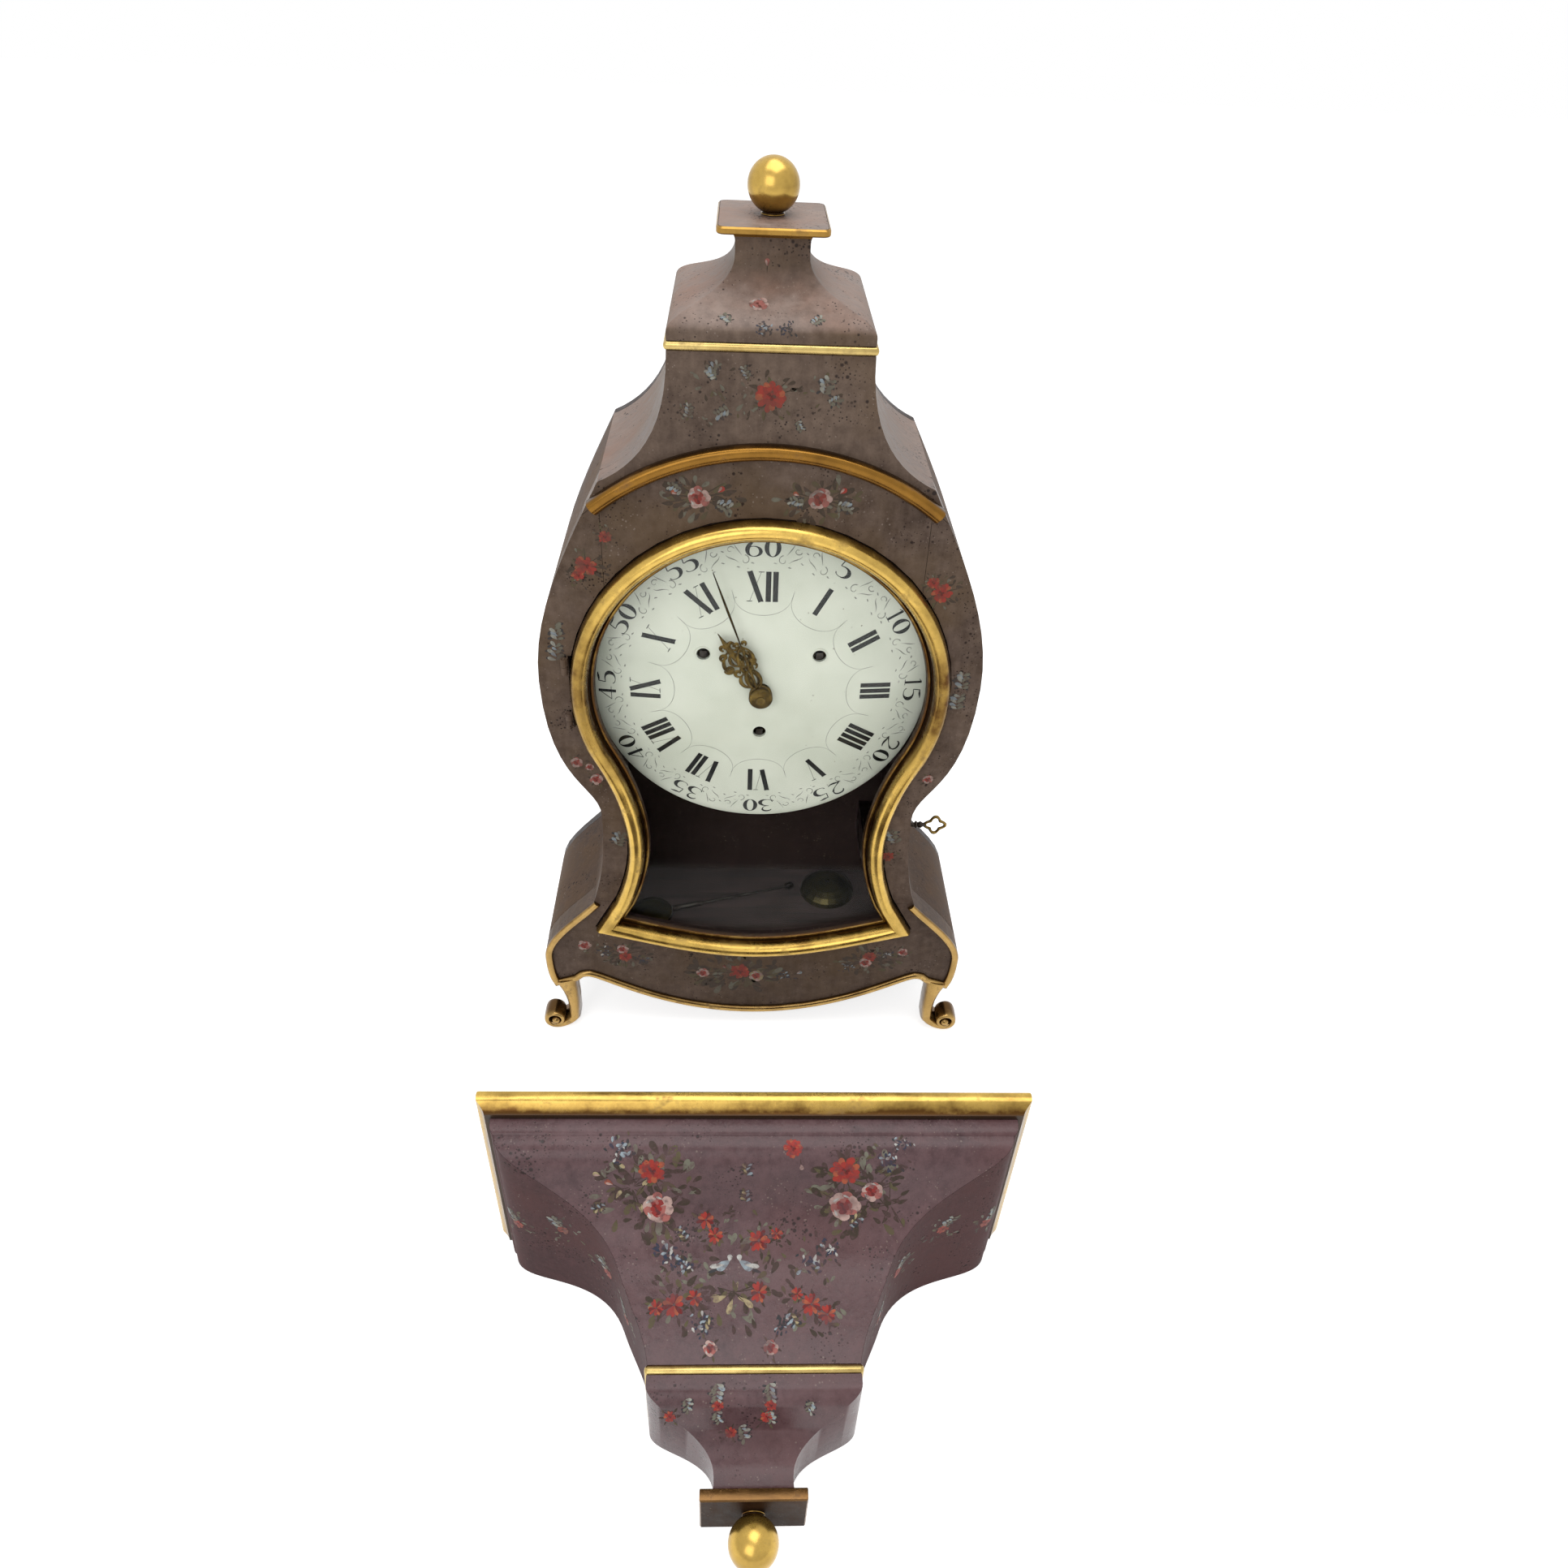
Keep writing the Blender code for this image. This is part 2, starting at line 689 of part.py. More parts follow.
def slab(name, low, high, low_height, high_height):
    """A cutter through the front boards."""
    return block(
        name, (low, -FRONT_THICK, low_height), (high, 2 * FRONT_THICK, high_height), PAINT
    )


def front_blank(name):
    half = [(0, HOOD_TOP_HEIGHT)] + HOOD + CASE[1:] + APRON
    opening = offset(DOOR, -DOOR_CLEARANCE, closed=True)
    return board(name, [both_sides(half), opening], 0, FRONT_THICK, PAINT)


def make_front():
    """The painted front: hood board, top rail between two seams, two stiles and the base."""
    far = 2 * BASE_HALF
    high = 2 * HOOD_TOP_HEIGHT
    edge = GAP / 2
    cut(front_blank("hood_front"), under_arch("below_arch", edge))
    rail_low = RING_HEIGHT
    common(
        front_blank("front_top_rail"),
        under_arch("below_arch", -edge),
        slab("between_seams", -SEAM_HALF + edge, SEAM_HALF - edge, rail_low, high),
    )
    for side, low, top in (("left", -far, 0), ("right", 0, far)):
        stile = common(
            front_blank("front_stile_" + side),
            under_arch("below_arch", -edge),
            slab("half", low, top, BASE_TOP_HEIGHT + edge, high),
        )
        cut(stile, slab("seam", -SEAM_HALF - edge, SEAM_HALF + edge, rail_low, high))
        if side == "left":
            cut(stile, *(hinge_mortise(height) for height in hinge_heights()))
    common(front_blank("base_front"), slab("base", -far, far, -far, BASE_TOP_HEIGHT - edge))


def make_floor_and_seat():
    floor_half = min(half_at(CASE_INSIDE, FLOOR_TOP), half_at(CASE_INSIDE, FLOOR_TOP - FLOOR_THICK))
    block(
        "floor_board",
        (-floor_half + GAP, CARCASS_FRONT, FLOOR_TOP - FLOOR_THICK),
        (floor_half - GAP, CARCASS_BACK, FLOOR_TOP),
        BARE_WOOD,
    )
    top = DIAL_HEIGHT - PLATE_HALF - GAP
    seat_half = half_at(CASE_INSIDE, top - SEAT_THICK)
    block(
        "seat_board",
        (-seat_half + GAP, FRONT_PLATE - PLATE_THICK, top - SEAT_THICK),
        (seat_half - GAP, BACK_PLATE + PLATE_THICK, top),
        BARE_WOOD,
    )


def ogee(straight, inset, neck_height, flare, height, steps=8):
    """(height, inset) along a swept cap: upright edge, ogee to a neck, flare to a plate."""
    shoulder = bezier(
        (straight, 0),
        (straight + OGEE_TURN * (neck_height - straight), 0),
        (straight + OGEE_TURN * (neck_height - straight), inset),
        (neck_height, inset),
        steps,
    )
    lip = bezier(
        (0.5 * (neck_height + height), inset),
        (height, inset),
        (height, inset - 0.5 * flare),
        (height, inset - flare),
        4,
    )
    return [(0, 0)] + shoulder + lip


def make_cap():
    """Deck with its gilt edge, ogee cap with a square plate on top, and ball."""
    middle = CASE_DEPTH / 2
    deck = HOOD_TOP_HEIGHT + GAP
    block(
        "hood_deck",
        (-HOOD_TOP_HALF - DECK_LIP, -DECK_LIP, deck),
        (HOOD_TOP_HALF + DECK_LIP, CASE_DEPTH, deck + DECK_THICK),
        GILT,
    )
    foot = deck + DECK_THICK + GAP
    rings = []
    for height, inset in ogee(CAP_STRAIGHT, CAP_NECK_INSET, CAP_NECK_HEIGHT, CAP_FLARE, CAP_HEIGHT):
        rings.append(square_ring(HOOD_TOP_HALF - inset, CASE_DEPTH / 2 - inset, middle, foot + height))
    plate = foot + CAP_HEIGHT
    for level in (plate, plate + CAP_PLATE_THICK):
        rings.append(square_ring(CAP_PLATE_HALF, CAP_PLATE_HALF_DEPTH, middle, level))
    loft("cap", rings, PAINT)
    turned("finial_ball", ball_profile(), GILT, at=(0, middle, plate + CAP_PLATE_THICK + GAP), steps=18)


def square_ring(half, half_depth, middle, level):
    """Four corners of a level rectangle about the middle of the case."""
    corners = ((-half, -half_depth), (half, -half_depth), (half, half_depth), (-half, half_depth))
    return [(x, middle + y, level) for x, y in corners]


def ball_profile():
    """(radius, height) of a ball on a short neck, from the top down."""
    sink = math.sqrt(BALL_RADIUS**2 - BALL_NECK_RADIUS**2)
    low = math.degrees(math.asin(sink / BALL_RADIUS))
    angles = np.radians(np.linspace(90, -low, 10))
    centre = BALL_RADIUS
    ball = [(BALL_RADIUS * math.cos(a), centre + BALL_RADIUS * math.sin(a)) for a in angles]
    ball[0] = (0, ball[0][1])
    return ball + [(BALL_NECK_RADIUS, 0), (0, 0)]


def make_gilt_mouldings():
    centre, radius = arch_circle()
    reach = math.degrees(math.acos(ARCH_HALF / radius))
    path = arc((0, centre), radius - ARCH_WIDTH / 2, 180 - reach, reach, 24)
    profile = [
        (0, -GAP),
        (ARCH_WIDTH, -GAP),
        (ARCH_WIDTH, -0.6 * ARCH_PROUD),
        (0.7 * ARCH_WIDTH, -ARCH_PROUD),
        (0.25 * ARCH_WIDTH, -0.85 * ARCH_PROUD),
        (0, -0.4 * ARCH_PROUD),
    ]
    moulding("arch_moulding", path, profile, GILT)
    base_side = [p for p in CASE if p[1] < BASE_TOP_HEIGHT + 1e-9]
    right = base_side + APRON
    right = straightened(right, CASE[-1], EDGING_WIDTH)
    right = straightened(right, APRON[0], EDGING_WIDTH)
    path = mirrored(right) + right[-2::-1]
    edging = [
        (0, -GAP),
        (EDGING_WIDTH, -GAP),
        (0.8 * EDGING_WIDTH, -0.8 * EDGING_PROUD),
        (0.4 * EDGING_WIDTH, -EDGING_PROUD),
        (0, -0.6 * EDGING_PROUD),
    ]
    moulding("base_edging", path, edging, GILT)


def make_feet():
    """Front scroll feet and plain back feet."""
    scroll_height = FOOT_SCROLL_RADIUS - FOOT_FLAT
    centre = (FOOT_SCROLL_SIDE, scroll_height)
    neck_inner = (NECK_HALF - NECK_WIDTH, NECK_HEIGHT + APRON_RISE - GAP)
    neck_outer = (NECK_HALF, NECK_HEIGHT - GAP)
    stem_inner = bezier(
        neck_inner,
        (neck_inner[0] + 0.3 * NECK_WIDTH, 1.1 * NECK_HEIGHT),
        (neck_inner[0] + 0.3 * NECK_WIDTH, 1.3 * scroll_height),
        (FOOT_SCROLL_SIDE - 0.42 * FOOT_SCROLL_RADIUS, 0.07 * scroll_height),
        8,
    )
    stem_outer = bezier(
        (FOOT_SCROLL_SIDE - 0.15 * FOOT_SCROLL_RADIUS, 1.7 * scroll_height),
        (FOOT_SCROLL_SIDE - 0.2 * FOOT_SCROLL_RADIUS, 2.07 * scroll_height),
        (NECK_HALF - 0.15 * NECK_WIDTH, 0.87 * NECK_HEIGHT),
        neck_outer,
        6,
    )
    for side, flip in (("left", mirrored), ("right", list)):
        stem = board(
            "foot_front_" + side, [flip(stem_inner + stem_outer)], -FOOT_PROUD, FOOT_DEPTH, GILT
        )
        disc = flip(arc(centre, FOOT_SCROLL_RADIUS, 0, 345, 23))
        scroll = board("scroll", [disc], -FOOT_PROUD - SCROLL_SWELL, SCROLL_BACK, GILT)
        foot = joined(stem, scroll)
        far = 2 * BASE_HALF
        cut(foot, block("floor", (-far, -CASE_DEPTH, -CASE_DEPTH), (far, CASE_DEPTH, 0), GILT))
        sign = -1 if side == "left" else 1
        ends = sorted((sign * BACK_FOOT_SIDE, sign * (BACK_FOOT_SIDE + BACK_FOOT_WIDTH)))
        block(
            "foot_back_" + side,
            (ends[0], CASE_DEPTH - BACK_FOOT_DEPTH, 0),
            (ends[1], CASE_DEPTH, NECK_HEIGHT - GAP),
            PAINT,
        )


# Glazed door, hinged on the left


HINGE_X = -(RING_RADIUS + HINGE_OFFSET)
HINGE_Y = -HINGE_FORWARD


def hinge_heights():
    return (RING_HEIGHT - HINGE_SPREAD, RING_HEIGHT + HINGE_SPREAD)


def hinge_mortise(height):
    """Recess in the left stile for a case leaf."""
    reach = KNUCKLE_LENGTH + 2 * GAP
    return block(
        "mortise",
        (HINGE_X - CASE_LEAF_OFFSET - LEAF_THICK / 2 - GAP, -FRONT_THICK, height - reach),
        (HINGE_X + RING_RADIUS / 10, 2 * FRONT_THICK, height + reach),
        PAINT,
    )


def hinge_leaf(name, height, low, high, leaf_x):
    """A knuckle on the hinge axis with its leaf running back into the joint."""
    knuckle = rod(
        name, (HINGE_X, HINGE_Y, low), (HINGE_X, HINGE_Y, high), KNUCKLE_RADIUS, BRASS, sides=12
    )
    half = LEAF_THICK / 2
    thin = 0.8 * half
    tab = block(
        "tab",
        (leaf_x - thin, HINGE_Y - GAP, low + GAP / 2),
        (leaf_x + thin, LEAF_DEPTH / 3, high - GAP / 2),
        BRASS,
    )
    leaf = block(
        "leaf",
        (leaf_x - half, GAP, height - KNUCKLE_LENGTH - GAP),
        (leaf_x + half, LEAF_DEPTH, height + KNUCKLE_LENGTH + GAP),
        BRASS,
    )
    return joined(knuckle, joined(leaf, tab))


def make_hinges():
    door_pieces = []
    for place, height in zip(("lower", "upper"), hinge_heights()):
        low, high = height - KNUCKLE_LENGTH, height + KNUCKLE_LENGTH
        case_x = HINGE_X - CASE_LEAF_OFFSET
        leaf = hinge_leaf("hinge_case_" + place, height, low, height - GAP / 2, case_x)
        pin = rod(
            "pin",
            (HINGE_X, HINGE_Y, height - KNUCKLE_LENGTH / 2),
            (HINGE_X, HINGE_Y, high),
            HINGE_PIN_RADIUS,
            BRASS,
            sides=12,
        )
        joined(leaf, pin)
        door_x = HINGE_X + DOOR_LEAF_OFFSET
        eye = hinge_leaf("hinge_door_" + place, height, height + GAP / 2, high, door_x)
        bore = rod(
            "bore",
            (HINGE_X, HINGE_Y, low - KNUCKLE_LENGTH),
            (HINGE_X, HINGE_Y, high + KNUCKLE_LENGTH),
            HINGE_PIN_RADIUS + FIT,
            BRASS,
            sides=12,
        )
        door_pieces.append(cut(eye, bore))
    return door_pieces


def make_door():
    sight = BEZEL_WIDTH
    rebate = BEZEL_WIDTH - BEZEL_REBATE
    lip = GLASS_FRONT - GAP
    profile = [
        (0, BEZEL_DEPTH),
        (0, -0.4 * BEZEL_PROUD),
        (0.12 * sight, -0.83 * BEZEL_PROUD),
        (0.375 * sight, -BEZEL_PROUD),
        (0.63 * sight, -0.83 * BEZEL_PROUD),
        (0.74 * sight, -0.4 * BEZEL_PROUD),
        (0.74 * sight, 0.1 * BEZEL_PROUD),
        (0.94 * sight, 0),
        (sight, lip),
        (rebate, lip),
        (rebate, BEZEL_DEPTH),
    ]
    bezel = moulding("door_bezel", DOOR, profile, GILT, closed=True)
    pane = offset(DOOR, rebate + GAP, closed=True)
    glass = board("door_glass", [pane], GLASS_FRONT, GLASS_FRONT + GLASS_THICK, GLASS)
    right = half_at_door(STAPLE_LOW) - BOLT_INSET
    left = right - STAPLE_WIDTH
    back = BEZEL_DEPTH + GAP
    flange = block(
        "door_staple",
        (left, back, STAPLE_LOW - STAPLE_FLANGE_HEIGHT / 2),
        (right, back + STAPLE_FLANGE, STAPLE_LOW + STAPLE_FLANGE_HEIGHT / 2),
        IRON,
    )
    tongue = block(
        "tongue",
        (left, back, STAPLE_LOW),
        (right, back + STAPLE_REACH, STAPLE_LOW + STAPLE_THICK),
        IRON,
    )
    staple = joined(flange, tongue)
    slot_x = bolt_middle()
    slot = block(
        "slot",
        (slot_x - BOLT_WIDTH / 2 - 2 * FIT, BOLT_FRONT - 2 * FIT, STAPLE_LOW - STAPLE_THICK),
        (
            slot_x + BOLT_WIDTH / 2 + 2 * FIT,
            BOLT_FRONT + BOLT_DEPTH + 2 * FIT,
            STAPLE_LOW + 2 * STAPLE_THICK,
        ),
        IRON,
    )
    cut(staple, slot)
    return [bezel, glass, staple]


def half_at_door(height):
    """Half-width of the door at a height below the ring."""
    right = [p for p in DOOR if p[0] > 0 and DOOR_CORNER_HEIGHT <= p[1] <= RING_HEIGHT]
    right.sort(key=lambda p: p[1])
    return float(np.interp(height, [z for _, z in right], [x for x, _ in right]))


def bolt_middle():
    return half_at_door(STAPLE_LOW) - BOLT_INSET - STAPLE_WIDTH / 2


# Lock on the right side, with the key in it


def lock_side():
    return half_at(CASE_INSIDE, LOCK_TOP) - 2 * GAP


def make_lock():
    right = lock_side()
    left = right - LOCK_WIDTH
    case = block("lock_case", (left, LOCK_FRONT, LOCK_LOW), (right, LOCK_BACK, LOCK_TOP), IRON)
    middle = bolt_middle()
    fit = FIT
    channel = block(
        "channel",
        (middle - BOLT_WIDTH / 2 - fit, BOLT_FRONT - fit, LOCK_LOW - LOCK_WIDTH),
        (middle + BOLT_WIDTH / 2 + fit, BOLT_FRONT + BOLT_DEPTH + fit, LOCK_TOP + LOCK_WIDTH),
        IRON,
    )
    pocket = rod(
        "pocket",
        (right - KEY_POCKET_DEPTH, KEY_DEPTH, KEY_HEIGHT),
        (right + LOCK_WIDTH, KEY_DEPTH, KEY_HEIGHT),
        KEY_POCKET_RADIUS,
        IRON,
    )
    cut(case, channel, pocket)
    bolt_low = LOCK_TOP + 2.5 * FIT + BOLT_TRAVEL / 8 - BOLT_LENGTH
    bolt = block(
        "lock_bolt",
        (middle - BOLT_WIDTH / 2, BOLT_FRONT, bolt_low),
        (middle + BOLT_WIDTH / 2, BOLT_FRONT + BOLT_DEPTH, bolt_low + BOLT_LENGTH),
        IRON,
    )
    tip = right - KEY_POCKET_DEPTH + 2 * FIT
    outside = half_at(CASE, KEY_HEIGHT) + KEY_REACH
    shaft = rod(
        "door_key", (tip, KEY_DEPTH, KEY_HEIGHT), (outside, KEY_DEPTH, KEY_HEIGHT), KEY_SHAFT_RADIUS, IRON
    )
    bit = block(
        "bit",
        (tip, KEY_DEPTH - KEY_BIT_THICK / 2, KEY_HEIGHT - KEY_BIT_LENGTH),
        (tip + KEY_BIT_WIDTH, KEY_DEPTH + KEY_BIT_THICK / 2, KEY_HEIGHT),
        IRON,
    )
    bow = key_bow(outside + KEY_BOW_RADIUS)
    collar = rod(
        "collar",
        (outside - 2 * KEY_BOW_WIRE, KEY_DEPTH, KEY_HEIGHT),
        (outside - KEY_BOW_WIRE, KEY_DEPTH, KEY_HEIGHT),
        1.6 * KEY_SHAFT_RADIUS,
        IRON,
    )
    key = joined(shaft, bit, bow, collar)
    return key, bolt


def key_bow(middle):
    """Round bow of the key, upright in the plane of the shaft."""
    turns = 16
    sides = 6
    rings = []
    for turn in np.linspace(0, 2 * math.pi, turns, endpoint=False):
        ring = []
        for side in np.linspace(0, 2 * math.pi, sides, endpoint=False):
            reach = KEY_BOW_RADIUS + KEY_BOW_WIRE * math.cos(side)
            ring.append(
                (
                    middle + reach * math.cos(turn),
                    KEY_DEPTH + KEY_BOW_WIRE * math.sin(side),
                    KEY_HEIGHT + reach * math.sin(turn),
                )
            )
        rings.append(ring)
    return loft("bow", rings, IRON, closed=True)


# Dial, hands and motion work


def make_dial():
    """Domed enamel dial with its hand hole, three winding holes and three feet."""
    radii = np.linspace(DIAL_HOLE, DIAL_RADIUS, 4)
    front = [(r, -dial_front(r)) for r in radii]
    back = [(r, -dial_front(r) - DIAL_THICK) for r in radii[::-1]]
    profile = front + back + front[:1]
    dial = turned("dial", profile, ENAMEL, at=(0, 0, DIAL_HEIGHT), along="Y", steps=36)
    holes = []
    for x, rise in winding_places():
        holes.append(
            rod("hole", (x, 0, DIAL_HEIGHT + rise), (x, FRONT_PLATE, DIAL_HEIGHT + rise), WINDING_HOLE, ENAMEL)
        )
    cut(dial, *holes)
    feet = []
    for degrees in (90, 210, 330):
        x = DIAL_FOOT_CIRCLE * math.cos(math.radians(degrees))
        z = DIAL_HEIGHT + DIAL_FOOT_CIRCLE * math.sin(math.radians(degrees))
        start = dial_front(DIAL_FOOT_CIRCLE) + 0.6 * DIAL_THICK
        feet.append(rod("foot", (x, start, z), (x, FRONT_PLATE - GAP, z), DIAL_FOOT_RADIUS, ENAMEL))
    joined(dial, *feet)


def dial_front(radius):
    """Depth of the dial's face at a radius."""
    return DIAL_CROWN + DIAL_DOME * (radius / DIAL_RADIUS) ** 2


def winding_places():
    """Winding holes from the dial's centre: two above, one below."""
    return ((-WINDING_SIDE, WINDING_RISE), (WINDING_SIDE, WINDING_RISE), (0, -WINDING_DROP))


def toothed(teeth, module, phase):
    """Outline of a wheel about the origin: slender teeth with running clearance."""
    pitch = teeth * module / 2
    tip = pitch + 0.75 * module
    root = pitch - 1.05 * module
    step = 2 * math.pi / teeth
    shares = ((root, -0.25), (tip, -0.07), (tip, 0.07), (root, 0.25))
    outline = []
    for tooth in range(teeth):
        for radius, share in shares:
            angle = phase + (tooth + share) * step
            outline.append((radius * math.cos(angle), radius * math.sin(angle)))
    return outline


def moved(points, x, z):
    return [(px + x, pz + z) for px, pz in points]


MOTION_DISTANCE = MOTION_MODULE * (CANNON_TEETH + MINUTE_WHEEL_TEETH) / 2
HOUR_MODULE = 2 * MOTION_DISTANCE / (MINUTE_PINION_TEETH + HOUR_WHEEL_TEETH)
MINUTE_WHEEL_HEIGHT = DIAL_HEIGHT + MOTION_DISTANCE
MINUTE_WHEEL_BACK = FRONT_PLATE - 0.0015
MINUTE_WHEEL_THICK = 0.0025
MINUTE_PINION_LENGTH = 0.0052
HOUR_WHEEL_BACK = MINUTE_WHEEL_BACK - MINUTE_WHEEL_THICK - 0.0015
HOUR_WHEEL_THICK = 0.0025


def make_motion_work():
    """Cannon pinion, minute wheel and hour wheel, in mesh above the centre."""
    up = math.pi / 2
    cannon = board(
        "cannon_pinion",
        [moved(toothed(CANNON_TEETH, MOTION_MODULE, up), 0, DIAL_HEIGHT)],
        MINUTE_WHEEL_BACK - MINUTE_WHEEL_THICK,
        MINUTE_WHEEL_BACK,
        BRASS,
    )
    pipe = rod("pipe", (0, ARBOR_FRONT, DIAL_HEIGHT), (0, MINUTE_WHEEL_BACK, DIAL_HEIGHT), CANNON_RADIUS, BRASS)
    arbor = rod(
        "arbor",
        (0, MINUTE_WHEEL_BACK - MINUTE_WHEEL_THICK, DIAL_HEIGHT),
        (0, BACK_PLATE + PLATE_THICK, DIAL_HEIGHT),
        0.7 * CANNON_RADIUS,
        BRASS,
    )
    joined(cannon, pipe, arbor)
    wheel_phase = -up + math.pi / MINUTE_WHEEL_TEETH
    wheel = board(
        "minute_wheel",
        [moved(toothed(MINUTE_WHEEL_TEETH, MOTION_MODULE, wheel_phase), 0, MINUTE_WHEEL_HEIGHT)],
        MINUTE_WHEEL_BACK - MINUTE_WHEEL_THICK,
        MINUTE_WHEEL_BACK,
        BRASS,
    )
    pinion = board(
        "pinion",
        [moved(toothed(MINUTE_PINION_TEETH, HOUR_MODULE, -up), 0, MINUTE_WHEEL_HEIGHT)],
        MINUTE_WHEEL_BACK - MINUTE_WHEEL_THICK - MINUTE_PINION_LENGTH,
        MINUTE_WHEEL_BACK - MINUTE_WHEEL_THICK / 2,
        BRASS,
    )
    bore = rod(
        "bore",
        (0, 0, MINUTE_WHEEL_HEIGHT),
        (0, FRONT_PLATE, MINUTE_WHEEL_HEIGHT),
        STUD_RADIUS + FIT,
        BRASS,
    )
    cut(joined(wheel, pinion), bore)
    hour_phase = up + math.pi / HOUR_WHEEL_TEETH
    hour = board(
        "hour_wheel",
        [moved(toothed(HOUR_WHEEL_TEETH, HOUR_MODULE, hour_phase), 0, DIAL_HEIGHT)],
        HOUR_WHEEL_BACK - HOUR_WHEEL_THICK,
        HOUR_WHEEL_BACK,
        BRASS,
    )
    hour_pipe = rod(
        "hour_pipe",
        (0, HOUR_HAND_FRONT - GAP, DIAL_HEIGHT),
        (0, HOUR_WHEEL_BACK, DIAL_HEIGHT),
        HOUR_PIPE_RADIUS,
        BRASS,
    )
    inside = rod(
        "inside",
        (0, 0, DIAL_HEIGHT),
        (0, FRONT_PLATE, DIAL_HEIGHT),
        CANNON_RADIUS + FIT,
        BRASS,
    )
    cut(joined(hour, hour_pipe), inside)


def swung(points, degrees):
    """A hand's outline, drawn upright, turned anticlockwise and set on the dial's centre."""
    angle = math.radians(degrees)
    cos, sin = math.cos(angle), math.sin(angle)
    return [(x * cos - z * sin, x * sin + z * cos + DIAL_HEIGHT) for x, z in points]


def leaf_hole(middle, half_width, half_length, steps=8):
    angles = np.linspace(0, 2 * math.pi, steps, endpoint=False)
    return [(half_width * math.cos(a), middle + half_length * math.sin(a)) for a in angles]


def hand_outline(boss, swells, tip, tip_half):
    """Right half of a hand: round boss, pierced swells between narrow necks, long tip."""
    right = arc((0, 0), boss, -90, 62, 8)
    for low, high, half, neck in swells:
        right += [(half * math.sin(math.pi * t), low + (high - low) * t) for t in (0.3, 0.5, 0.7)]
        right.append((neck, high))
    return right + [(tip_half, tip)]


def make_hands():
    """Pierced hour hand and long pierced minute hand with its boss."""
    hub = HOUR_PIPE_RADIUS + FIT
    scale = HOUR_HAND_LENGTH
    swells = (
        (0.16 * scale, 0.44 * scale, 0.13 * scale, 0.045 * scale),
        (0.44 * scale, 0.74 * scale, 0.19 * scale, 0.03 * scale),
        (0.74 * scale, 0.88 * scale, 0.075 * scale, 0.018 * scale),
    )
    right = hand_outline(0.145 * scale, swells, scale, 0.006 * scale)
    outline = right + mirrored(right)[::-1]
    holes = [
        arc((0, 0), hub, 0, 337.5, 15),
        leaf_hole(0.33 * scale, 0.055 * scale, 0.065 * scale),
        leaf_hole(0.59 * scale, 0.11 * scale, 0.085 * scale),
    ]
    shapes = [swung(points, HOUR_HAND_ANGLE) for points in [outline] + holes]
    hour = board("hour_hand", shapes, HOUR_HAND_FRONT, HOUR_HAND_FRONT + HAND_THICK, BRASS)
    scale = MINUTE_HAND_LENGTH
    swells = (
        (0.09 * scale, 0.25 * scale, 0.055 * scale, 0.02 * scale),
        (0.25 * scale, 0.42 * scale, 0.062 * scale, 0.016 * scale),
        (0.42 * scale, 0.5 * scale, 0.028 * scale, 0.0085 * scale),
    )
    right = hand_outline(0.08 * scale, swells, scale, 0.003 * scale)
    outline = right + mirrored(right)[::-1]
    hub = CANNON_RADIUS + FIT
    holes = [
        arc((0, 0), hub, 0, 337.5, 15),
        leaf_hole(0.18 * scale, 0.026 * scale, 0.038 * scale),
        leaf_hole(0.335 * scale, 0.032 * scale, 0.044 * scale),
    ]
    shapes = [swung(points, MINUTE_HAND_ANGLE) for points in [outline] + holes]
    minute = board("minute_hand", shapes, MINUTE_HAND_FRONT, MINUTE_HAND_FRONT + HAND_THICK, BRASS)
    boss = board(
        "boss",
        [moved(arc((0, 0), BOSS_RADIUS, 0, 337.5, 15), 0, DIAL_HEIGHT), moved(holes[0], 0, DIAL_HEIGHT)],
        MINUTE_HAND_FRONT - BOSS_THICK,
        MINUTE_HAND_FRONT + HAND_THICK / 2,
        BRASS,
    )
    return hour, joined(minute, boss)


# Movement between its plates, bells, hammer, crutch and pendulum


def plate_holes(name_of_finish, front):
    """Cutters for the arbors that run in a movement plate."""
    back = front + PLATE_THICK
    holes = []
    for x, rise in winding_places():
        holes.append((x, DIAL_HEIGHT + rise, WINDING_ARBOR_RADIUS + FIT))
    holes.append((0, DIAL_HEIGHT, 0.7 * CANNON_RADIUS + FIT))
    holes.append((HAMMER_SIDE, DIAL_HEIGHT + HAMMER_RISE, HAMMER_ARBOR_RADIUS + FIT))
    holes.append((0, CRUTCH_HEIGHT, CRUTCH_ARBOR_RADIUS + FIT))
    return [
        rod("hole", (x, front - PLATE_THICK, z), (x, back + PLATE_THICK, z), radius, name_of_finish)
        for x, z, radius in holes
    ]


